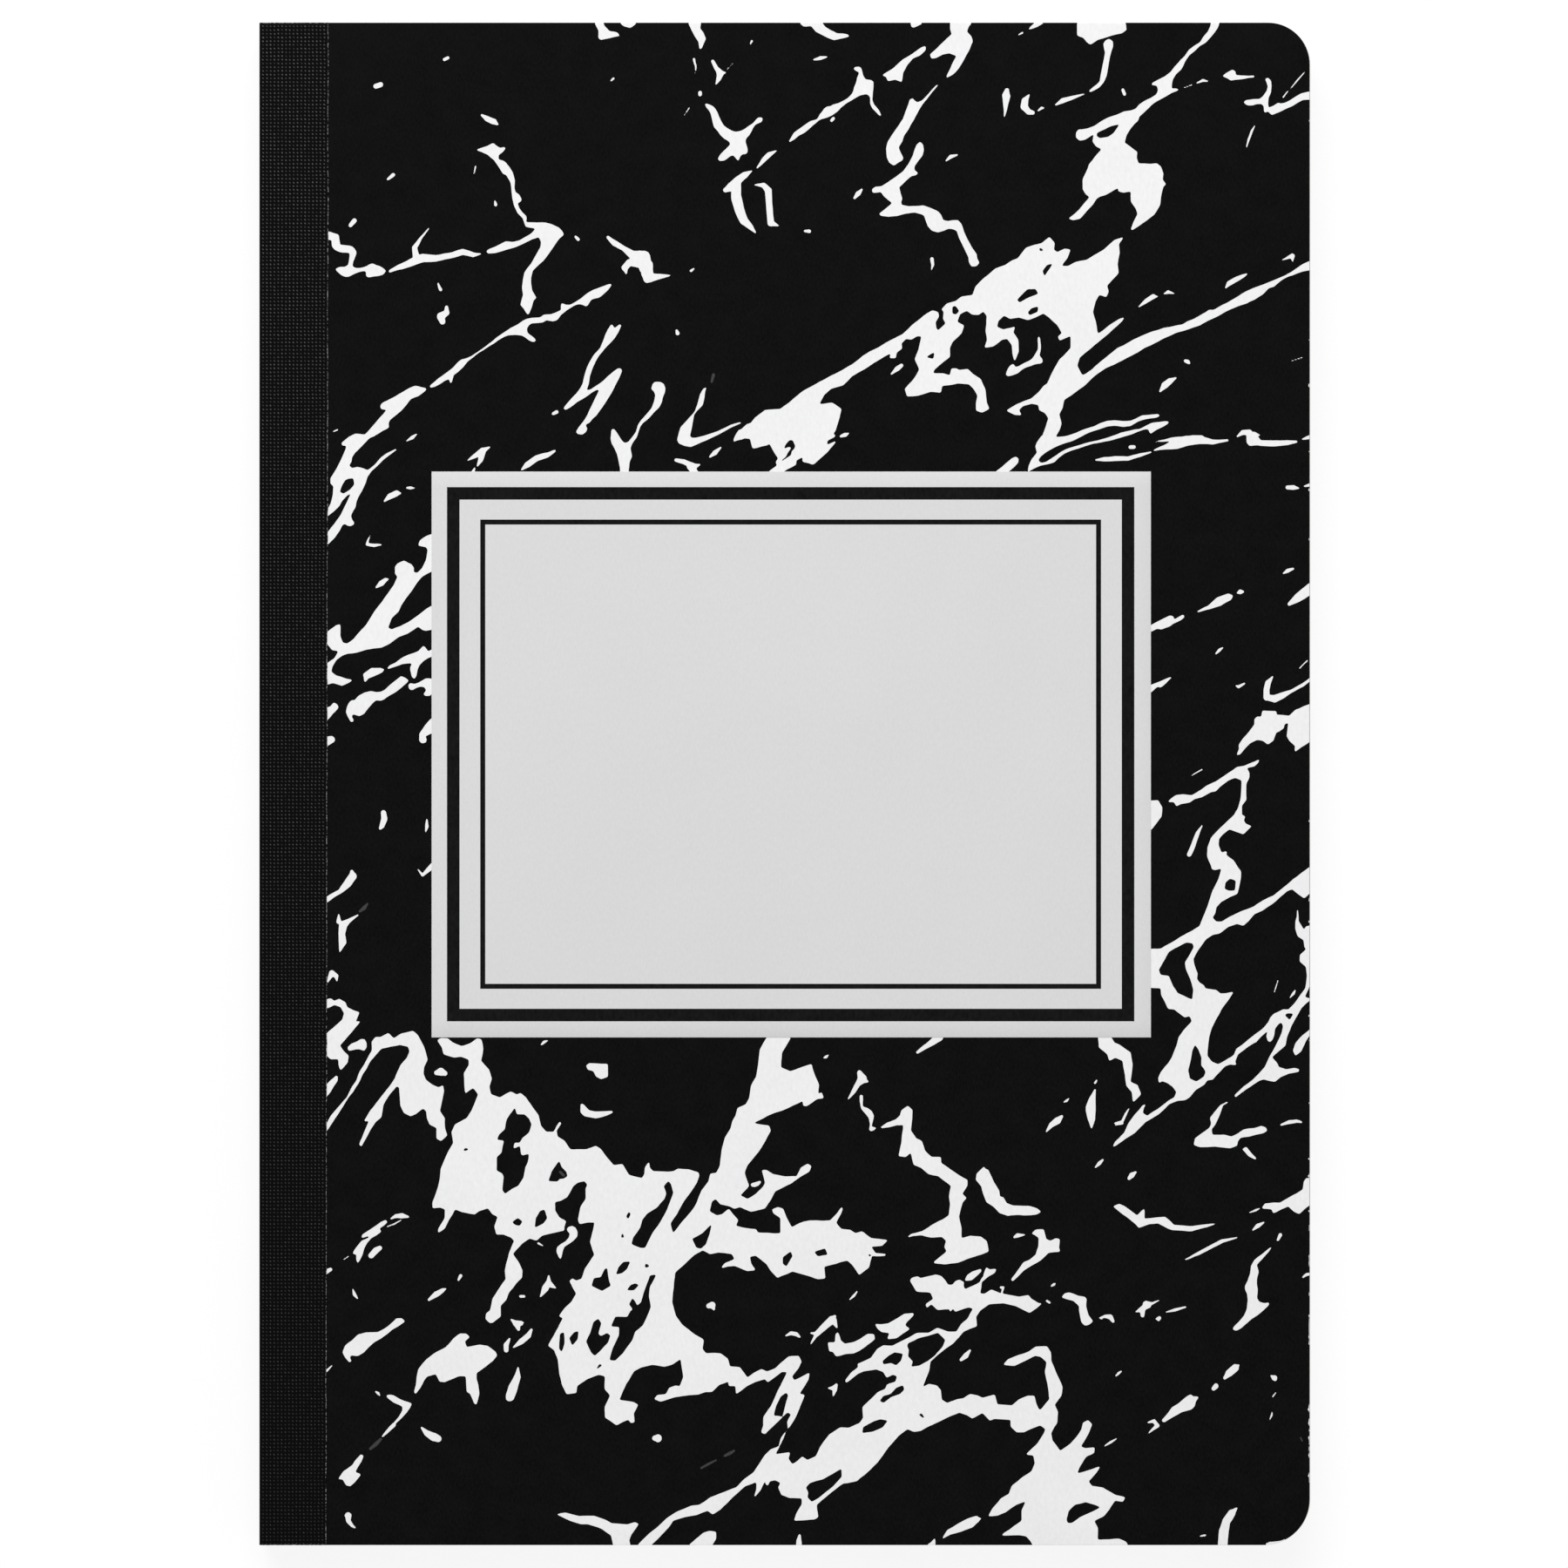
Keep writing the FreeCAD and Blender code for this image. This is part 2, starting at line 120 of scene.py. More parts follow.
HEAD_LEFT_BLOTS = [
    [682, 25, 687, 35, 687, 44, 690, 46, 712, 41, 709, 37, 700, 35, 694, 29, 693, 25],
    [710, 25, 716, 30, 723, 32, 728, 29, 732, 25],
    [789, 25, 797, 40, 802, 48, 803, 57, 806, 56, 811, 44, 808, 37, 804, 32, 805, 25],
    [790, 310, 793, 313, 801, 305, 796, 307],
    # The bent stroke with a fork at its foot, near the head
    [544, 172, 552, 169.5, 560, 167, 566.5, 163, 570, 166.5, 574, 169.5, 580, 168, 581, 170, 577, 175,
     573, 178, 572.5, 182.5, 577, 183.5, 581, 186, 585, 191, 589, 197.5, 591, 206, 590.5, 214, 592, 220,
     596, 222.5, 599, 228, 598, 231, 594.5, 232.5, 596, 238, 600, 243, 604, 247, 605, 250, 604, 254.5,
     612, 254.5, 626, 255, 635, 257, 641, 260, 646, 265, 648, 269, 643, 273, 638, 279, 632, 288, 624,
     299, 617, 306, 612, 311, 610, 318, 610, 325, 611, 333, 615.5, 341.5, 612, 344.5, 610.5, 352, 608,
     358, 606, 362, 603, 358, 600, 353, 597, 350, 598, 345, 600, 338, 599.5, 330, 600.5, 320, 602, 313,
     606, 307, 611, 300, 616, 291, 620, 283, 620.5, 277, 618, 271.5, 611, 274, 602, 279, 592, 283.5, 580,
     287, 568, 290.5, 560, 291, 558, 288, 562, 285, 570, 281.5, 580, 277, 588, 277.5, 596, 275.5, 604,
     271, 610, 267, 614.5, 262, 608, 261, 603.5, 260, 601.5, 255, 600, 250, 594, 244, 590, 236, 588, 227,
     587, 216, 585.5, 208, 581, 200.5, 577.5, 199.5, 573, 192, 567, 184, 560, 178, 552, 174],
    # The tall crossed stroke over the label's corner, and the hooked one beside it
    [702.5, 371, 705, 376.5, 711.5, 371.5, 714, 373, 710, 381, 706, 388, 700, 395, 694, 401, 689, 407,
     684, 415, 680, 424, 677, 432, 676, 440, 673.5, 447.5, 678, 446.5, 684, 442.5, 690, 438.5, 696, 433,
     703, 427, 709, 422.5, 713.5, 422.5, 714, 426, 711, 433, 707, 441, 702, 450, 697, 459, 691, 468, 685,
     476.5, 680, 481, 677, 485, 672, 487.5, 674.5, 492, 673, 496, 669, 499, 663, 498.5, 661, 495.5, 664,
     491, 669, 484, 674, 476, 679, 466, 683, 457, 688, 447.5, 686, 447, 680, 450, 672, 456, 663, 461.5,
     655, 467.5, 649, 470.5, 646.5, 468.5, 650, 464, 656, 457, 662, 450.5, 666, 445, 668.5, 440, 670,
     433, 673, 423, 677, 415, 682, 407, 689, 399, 692.5, 391, 694, 385, 697, 378, 700, 373],
    [749, 440, 752, 437.5, 758, 437.5, 762, 440, 764, 445, 763.5, 450, 761.5, 455, 760, 461, 757, 467,
     751, 473, 745, 480, 739, 485, 735, 490, 733, 496, 731, 502, 726, 509, 724, 514, 725, 520, 725.5,
     524, 722.5, 531, 722, 541, 722, 546, 712, 546, 711.5, 537, 709.5, 528, 708, 521, 705, 514, 702, 509,
     700.5, 503, 701, 494, 703, 491, 706, 493, 710, 499, 714, 505, 717, 508, 721, 507, 726, 501, 730,
     495, 732, 488, 737, 481, 743, 474, 748, 468, 751, 460, 752.5, 453, 751, 449, 747.5, 446],
    # The long thin stroke that climbs from the tape's side, with its two thorns
    [491.8, 444, 494.3, 440.7, 497.9, 438, 502, 434.5, 506.4, 431.5, 510.7, 428.3, 514, 426, 520, 421.5,
     525.7, 415, 529.3, 412.5, 535, 411.3, 541.4, 408.3, 550, 402, 560, 395, 570, 387, 578.6, 380.5,
     585.7, 375.8, 594.5, 371.5, 600, 367.6, 605, 365.3, 610, 364.3, 620, 363.5, 624, 360.6, 633, 360.2,
     638, 358.2, 643.8, 355.5, 643.7, 350, 644.5, 347.2, 650, 349.8, 654.2, 349.8, 657.5, 348.2, 661.7,
     345.5, 666.7, 342, 670.8, 338.5, 675, 335.2, 680.8, 332, 687.5, 329.3, 694.2, 327, 700, 325, 703,
     325, 703.3, 326, 700, 330.5, 697.5, 333.3, 694.2, 336.2, 690.8, 339.1, 687.5, 341.2, 682.5, 342.2,
     678.8, 343.8, 676.7, 346.8, 674.6, 350.9, 672.5, 352, 668.3, 349.8, 665, 349, 661.7, 349.8, 658.3,
     351.5, 654.2, 354, 650, 356.5, 644.5, 361, 642, 365, 639.5, 367.5, 635, 368.8, 627.5, 367.2, 623,
     369.8, 615, 370.3, 610, 370.8, 607, 373, 605, 376, 605.2, 380, 607, 382.5, 610.5, 385, 615, 389.3,
     614, 391.8, 610.5, 392, 606.5, 390, 603, 387, 599, 384.8, 590, 384, 583.6, 384.5, 578.6, 386.5,
     571.4, 391, 562.9, 396.5, 550, 405, 542.9, 410.8, 537, 415.2, 531.4, 421.5, 527, 425.7, 521, 430,
     519.7, 435, 518.6, 439.3, 517, 441, 516, 438, 515.4, 434.8, 510.7, 436.6, 506.4, 439.6, 502, 441.8,
     498, 443.6, 494.3, 444.6],
    # The stroke below it, with a barb
    [490.4, 445.7, 488.6, 448.2, 485.7, 450.7, 480.5, 454.6, 475, 456.5, 471.5, 458, 469.5, 460, 467,
     463.5, 464, 467.5, 461, 471.2, 457, 474.5, 452, 478.5, 447.5, 482, 446, 485, 446, 488, 447.2, 490.2,
     445, 491.8, 440, 494, 435, 497, 429, 500.2, 425, 502, 422, 504.5, 419, 508, 415, 512, 411, 515.5,
     406, 520, 402, 510, 404, 500.5, 411.7, 497.3, 417, 498, 419, 497.5, 425, 491.5, 430, 486, 435,
     480.5, 440, 475, 442, 472.5, 444, 470, 440, 470.2, 437.5, 469.5, 436.5, 466.5, 437.5, 464, 440,
     461.5, 445, 459, 450, 456.5, 460, 450.5, 470, 445, 476, 442.5, 480, 442.7, 483, 443.8, 488.6,
     444.6],
    # The hooked stroke beside the tape
    [389.5, 280.5, 393, 281, 400, 281.2, 404.5, 282.2, 407, 284.5, 409, 287.5, 409.7, 290, 408, 295,
     406.2, 300, 405.2, 304.8, 407, 306.8, 411, 307.5, 416, 306.8, 421, 305, 425, 302.8, 428, 302.2, 432,
     303.8, 436.5, 305, 440, 307.2, 444, 310.5, 440, 315.2, 436, 316.2, 430, 317.2, 425, 318.2, 422,
     318.2, 420.3, 316, 420.5, 312, 418.5, 311, 414, 311.8, 410, 313.2, 405, 315.5, 401, 317.5, 397,
     317.8, 393, 316.5, 390, 314.5, 386, 311, 384.2, 309, 386, 308, 390, 306.2, 396, 306.2, 399.5, 304,
     400.5, 300, 401.2, 295, 401.5, 290.5, 398, 290, 393, 289.8, 389, 289, 384, 286.5, 382, 284, 384,
     280],
]

HEAD_MIDDLE_VEINS = [
    [797, 67, 1.5, 799, 75, 1.2, 798, 84, 0.5],
    [818, 70, 2, 822, 78, 2.5, 827, 84, 4, 825, 90, 3, 822, 96, 1],
    [826, 84, 4, 833, 83, 0.8],
    [835, 79, 0.8, 842, 72, 0.8],
    [804, 106, 2.3, 804, 108, 2.3],
    [869, 192, 0.9, 876, 184, 2.5, 883, 177, 3, 891, 173, 0.8],
    [863, 196, 0.9, 855, 201, 4, 846, 208, 5, 838, 215, 5, 833, 218, 3],
    [846, 208, 5, 845, 225, 6, 849, 240, 6, 854, 253, 5, 862, 261, 3, 867, 267, 1],
    [866, 212, 0.7, 877, 212, 3, 882, 218, 4, 883, 232, 3.8, 884, 246, 4, 885, 256, 4, 894, 259, 0.8],
    [924, 265, 1.5, 929, 265, 2.3],
    [981, 227, 1.5, 985, 222, 3, 989, 217, 1.3],
    [861, 51, 0.7, 863, 47, 1.4],
    [934, 68, 1, 942, 66, 2.3, 949, 65, 1],
    [1086, 184, 1, 1092, 179, 2.5, 1099, 177, 1],
    [1070, 297, 2.2, 1071, 303, 1.8, 1069, 310, 0.5],
    [955, 138, 2, 957, 136, 2],
    [1156, 103, 2.5, 1155, 110, 4.8, 1154, 120, 3, 1153, 133, 0.8],
    [1169, 40, 0.7, 1174, 37, 1.2],
    [776, 528, 2, 785, 530, 3, 797, 535, 3.5, 803, 533, 1],
    [793, 535, 5, 798, 543, 4],
    [815, 524, 1.2, 821, 519, 3, 828, 513, 1],
    [965, 501, 1.5, 970, 499, 2.5, 974, 497, 0.8],
    [1023, 429, 1, 1030, 423, 3, 1035, 419, 2.2],
    [843, 506, 1, 850, 500, 5, 862, 492, 8],
]

HEAD_MIDDLE_BLOTS = [
    [916, 25, 922, 30, 931, 30, 936, 36, 947, 42, 957, 46, 968, 44, 976, 42, 974, 39, 968, 38, 960, 38,
     953, 34, 947, 30, 944, 25],
    [1045, 25, 1046, 31, 1049, 32, 1059, 27, 1059, 25],
    [1090, 25, 1090, 33, 1092, 39, 1083, 47, 1073, 57, 1067, 62, 1069, 67, 1075, 66, 1083, 62, 1090, 61,
     1098, 64, 1093, 74, 1085, 91, 1094, 86, 1101, 79, 1106, 70, 1113, 57, 1117, 47, 1115, 41, 1110, 36,
     1112, 30, 1117, 25],
    [1011, 87, 1017, 88, 1019, 93, 1028, 91, 1036, 94, 1037, 83, 1041, 75, 1048, 67, 1056, 64, 1062, 58,
     1063, 52, 1057, 54, 1046, 62, 1036, 68, 1026, 77],
    [1178, 35, 1190, 31, 1201, 25, 1188, 25],
    # The long mass from the middle of the head down to the left of the label's top edge
    [841, 506, 848, 493, 855, 492, 866, 479, 878, 470, 895, 469, 905, 462, 918, 451, 940, 438, 966, 425,
     978, 418, 990, 408, 1008, 398, 1020, 391, 1036, 383, 1047, 373, 1060, 362, 1070, 356, 1077, 358,
     1078, 363, 1074, 370, 1075, 377, 1077, 379, 1085, 371, 1082, 366, 1083, 358, 1080, 355, 1086, 348,
     1097, 345, 1103, 340, 1116, 338, 1120, 328, 1130, 318, 1143, 308, 1154, 304, 1161, 299, 1168, 296,
     1178, 284, 1188, 280, 1196, 278, 1205, 271, 1211, 278, 1210, 286, 1214, 289, 1222, 285, 1229, 286,
     1225, 296, 1219, 305, 1226, 305, 1235, 300, 1248, 297, 1266, 287, 1280, 275, 1291, 271, 1285, 280,
     1286, 290, 1283, 303, 1284, 313, 1276, 322, 1271, 328, 1273, 335, 1270, 341, 1262, 338, 1258, 345,
     1255, 358, 1258, 368, 1260, 383, 1272, 374, 1284, 366, 1292, 363, 1288, 369, 1275, 381, 1262, 392,
     1250, 402, 1240, 410, 1237, 419, 1242, 430, 1252, 424, 1268, 413, 1284, 400, 1302, 391, 1320, 396,
     1300, 408, 1275, 419, 1260, 428, 1245, 442, 1230, 454, 1222, 459, 1220, 468, 1216, 475, 1219, 485,
     1216, 494, 1212, 501, 1204, 508, 1190, 520, 1188, 512, 1197, 500, 1200, 490, 1203, 480, 1199, 474,
     1193, 471, 1192, 465, 1184, 463, 1174, 466, 1170, 470, 1173, 477, 1165, 476, 1155, 471, 1168, 463,
     1184, 456.5, 1192, 449.5, 1198, 442, 1202, 440, 1206, 431.5, 1211, 421.5, 1217, 411.5, 1229, 399,
     1229, 385, 1216, 391, 1214, 386, 1219, 382, 1213, 372, 1204, 364, 1198, 360, 1190, 364, 1180, 367,
     1170, 364, 1159, 366, 1152, 362, 1146, 368, 1145, 375, 1152, 378, 1166, 374, 1163, 381, 1169, 390,
     1170, 403, 1165, 416, 1162, 405, 1161, 396, 1156, 389, 1150, 390, 1141, 397, 1130, 399, 1133, 390,
     1131, 380, 1133, 362, 1129, 357, 1124, 361, 1116, 361, 1110, 357, 1102, 361, 1099, 369, 1107, 373,
     1104, 382, 1094, 392, 1091, 399, 1091, 409, 1083, 416, 1073, 424, 1071, 428, 1083, 428, 1090, 430,
     1092, 422, 1098, 422, 1101, 424, 1111, 423, 1116, 428, 1126, 434, 1131, 446, 1133, 462, 1136, 469,
     1128, 473, 1120, 471, 1121, 460, 1122, 454, 1117, 446, 1112, 441, 1100, 440, 1081, 443, 1080, 451,
     1068, 450, 1055, 454, 1041, 455, 1038, 446, 1045, 439, 1052, 430, 1055, 424, 1050, 412, 1054, 401,
     1057, 386, 1052, 386, 1046, 390, 1040, 389, 1035, 394, 1036, 400, 1030, 404, 1029, 411, 1021, 411,
     1023, 405, 1010, 413, 995, 422, 978, 432, 968, 442, 954, 446, 946, 453, 941, 463, 955, 462, 966,
     469, 962, 484, 959, 495, 956.5, 498, 960, 501, 950, 506, 949.5, 510.5, 956, 507.5, 962.5, 504,
     958.5, 509, 950, 518.5, 941, 527, 936, 532, 933, 533.5, 929, 532, 921, 530.5, 921.5, 525, 914.5,
     528.5, 914.5, 533, 905, 538, 898, 543, 879, 543, 891.5, 534, 890, 529.5, 893, 526, 888.5, 518,
     883.5, 509.5, 880, 511.5, 864, 515, 861, 504, 852, 503],
    # The tick over the label, the arrow head and the zigzag beside it
    [813, 442, 810, 448, 808.5, 457, 807, 464, 801, 471, 797, 476, 795.5, 484, 794, 492, 792, 500, 794,
     502, 800, 501.5, 810, 499, 825, 494, 838, 488, 850, 483.5, 852, 485, 848, 487, 838, 492, 826, 498,
     812, 504.5, 800, 510, 793, 513, 785, 512, 779, 509, 777, 505, 778.5, 498, 781, 490, 786, 484, 793,
     477, 798, 471, 800.5, 462, 803, 453, 807, 446],
    [1082.5, 91.5, 1080, 95, 1072, 104, 1062, 116, 1055, 126, 1050, 136, 1043, 148, 1038, 156, 1036, 162,
     1032, 169, 1034, 175, 1037.5, 181.5, 1036, 184, 1031, 187, 1026, 190.5, 1021, 187, 1018, 181, 1017,
     170, 1019, 162, 1024, 154, 1031, 144, 1036, 137, 1040, 126, 1044, 114, 1048, 112, 1050, 115, 1053,
     117, 1058, 115, 1065, 108, 1073, 99],
    [1052, 166, 1056, 162.5, 1060, 166, 1061, 172, 1059, 179, 1054, 185, 1050.5, 190, 1050, 194.5,
     1054.5, 198, 1052, 200.5, 1046, 202, 1039, 208, 1032.5, 214.5, 1034, 222, 1036, 228, 1034.5, 231,
     1035, 235, 1043, 236.5, 1052, 236, 1060, 235, 1068, 238, 1076, 241.5, 1080, 245.5, 1083, 252, 1088,
     253.5, 1094, 252.5, 1100, 252, 1103.5, 256, 1106, 263, 1110, 273, 1116, 284, 1121, 291, 1121.5,
     296.5, 1124.5, 301.5, 1121, 305, 1115, 306, 1112, 301, 1111.5, 295, 1107, 286, 1101, 274, 1097.5,
     265, 1093, 263, 1088, 262.5, 1082, 265, 1077, 266.5, 1070, 264.5, 1065, 260, 1062, 252, 1060.5, 247,
     1057, 245.5, 1050, 244, 1040, 245.5, 1030, 248, 1020, 249, 1011, 247.5, 1008.5, 245, 1014, 241,
     1020, 236.5, 1024, 232.5, 1019, 229, 1014, 225, 1011, 220, 1005, 221, 1001, 221, 1000.5, 216.5,
     1005, 213.5, 1012, 213, 1020, 208.5, 1029, 202.5, 1037, 195.5, 1043, 187.5, 1048, 178, 1050, 171],
    [1139, 547, 1144, 540.5, 1150, 536, 1156, 530, 1161, 525.5, 1166, 523.5, 1169.5, 526, 1169, 531,
     1165, 535, 1158, 541, 1150, 547],
    # The bird and the bent fork near the head
    [904.1, 163.5, 907.8, 157.2, 910.6, 152.2, 914.4, 149, 920, 145, 925, 141.2, 930.6, 138, 937.2,
     136.2, 939, 134.4, 940.6, 130.8, 943.9, 127.3, 946.1, 124, 949.4, 122, 953.3, 122, 956.1, 120,
     962.8, 118.1, 968.3, 115.2, 972.8, 112, 977.2, 108, 979.1, 105, 980.4, 99.4, 982.4, 94, 983.5, 88.3,
     985.6, 84, 986.3, 82.6, 982.2, 81, 979.2, 78.6, 981.1, 76.7, 986.1, 76, 988.9, 77.4, 990.1, 81.7,
     990.8, 86, 993.3, 90, 999.4, 91.3, 1002.7, 93.3, 1003, 101.7, 1002.5, 109.4, 1002, 115, 1003.3,
     119.4, 1006.7, 123.4, 1010, 128.3, 1012.2, 132.2, 1011, 133.7, 1006.7, 130, 1001, 124.4, 998.7,
     119.4, 999, 111.7, 997.2, 109.3, 994.4, 108, 987.8, 109.6, 980.6, 113.2, 972.8, 118, 966, 123.2,
     962.2, 127.6, 958.3, 130.5, 955.6, 132.6, 949.4, 134.8, 942.8, 136.3, 939, 138.2, 934, 142.7, 929.4,
     147, 924, 151.6, 916, 156, 911.7, 160, 905.6, 164],
    [808, 117.5, 810.7, 118, 814.3, 119.5, 818, 121.7, 820.7, 124.5, 823.5, 128.7, 825.2, 133, 828, 139,
     831, 143.8, 835.5, 147.2, 840, 149.8, 844.4, 151, 848, 150.5, 852.2, 149.3, 855.6, 147.2, 860,
     143.5, 865, 140.2, 867.2, 137.4, 870, 134.4, 875, 134.2, 875.6, 136.7, 874, 140, 871, 141.3, 867.2,
     143, 865, 146, 863.2, 150.5, 860.5, 155, 857, 159, 856.4, 162.2, 857.2, 166.7, 858.2, 171, 858.2,
     175, 856, 177, 852.2, 177, 850, 179, 848.5, 182.8, 847, 186, 845.6, 183.3, 843.3, 180, 841.7, 178,
     838.3, 178.7, 835.6, 181.2, 832.2, 183.8, 829, 184.6, 824.7, 184.2, 823.6, 181.7, 826, 177.8, 830,
     173.3, 835.6, 168.3, 838, 165.6, 837.3, 163.3, 834.4, 161, 831, 159.3, 826.7, 155, 823, 150, 819.5,
     146, 818.2, 142, 817, 136.5, 815.2, 130, 813, 126, 810, 122.5],
]

HEAD_MIDDLE_GAPS = [
    [900, 515.5, 902.5, 510, 906.5, 505.5, 910, 505.5, 913, 512, 912, 515.5, 909, 518, 908.5, 522, 903,
     525.5, 897, 529.5, 897, 528, 902.5, 524, 905, 519.5, 910, 513, 905, 513],
    [1093, 352, 1096, 351, 1101, 357, 1097, 361, 1093, 360],
    [1063, 410, 1073, 404, 1072, 412],
    [1168, 344, 1180, 332, 1189, 332, 1192, 337, 1180, 342, 1171, 347],
    [1180, 358, 1184, 354, 1192, 352, 1191, 358, 1182, 361],
    [1193, 283, 1199, 287, 1194, 288],
    [1202, 304, 1209, 302, 1203, 310, 1199, 317, 1197, 311],
]

HEAD_RIGHT_VEINS = [
    [1182, 108, 0.8, 1177, 115, 4, 1176, 122, 4.5, 1181, 128, 3.3, 1186, 129, 2.4],
    [1192, 127, 1, 1196, 124, 1.8, 1199, 124, 0.8],
    [1212, 120, 1.1, 1220, 115, 3.2, 1230, 112, 2.4, 1246, 107, 0.6],
    [1289, 103, 1.8, 1291, 108, 2],
    [1358, 101, 0.7, 1368, 97, 0.8],
    [1374, 95, 0.9, 1381, 92, 1.8, 1387, 93, 0.7],
    [1473, 111, 1.1, 1479, 104, 0.7],
    [1482, 101, 0.7, 1490, 91, 1, 1498, 82, 0.8],
    [1441, 143, 0.7, 1437, 150, 1.4, 1433, 160, 1.4, 1431, 169, 0.7],
    [1307, 352, 0.7, 1316, 345, 2.6, 1324, 340, 3, 1329, 340, 0.7],
    [1336, 337, 0.7, 1341, 335, 2.3, 1348, 337, 0.6],
    [1407, 330, 0.9, 1411, 325, 3, 1420, 320, 3, 1427, 316, 2, 1431, 314, 0.9],
    [1472, 298, 0.6, 1480, 295, 2, 1484, 294, 3, 1484, 300, 0.7],
    [1361, 414, 2, 1364, 415, 2.5, 1366, 417, 1],
    [1331, 449, 1.2, 1337, 442, 4, 1343, 437, 3.5, 1350, 433, 0.9],
    [1482, 414, 0.7, 1495, 410, 0.7],
    [1298, 513, 2.3, 1302, 513, 2.3],
    [1258, 528, 1, 1268, 527, 2.5, 1280, 526, 2.8, 1295, 526, 2.5, 1310, 522, 2, 1321, 519, 1],
    [1327, 507, 0.7, 1345, 504, 2, 1357, 504, 3, 1369, 503, 3.5, 1379, 503, 3.5],
    [1325, 517, 1, 1338, 513, 3, 1350, 509, 6, 1362, 506, 6, 1376, 505, 5, 1392, 507, 3, 1400, 506, 2],
    [1400, 506, 2, 1409, 505, 1.4],
    [1420, 501, 0.9, 1427, 496, 3, 1434, 496, 3.5, 1438, 504, 8, 1446, 508, 3.5, 1462, 509, 3.5],
    [1440, 498, 3, 1446, 499, 0.9],
    [1462, 509, 3.5, 1478, 508, 3, 1488, 507, 1.5],
    [1495, 504, 0.8, 1506, 501, 3],
]

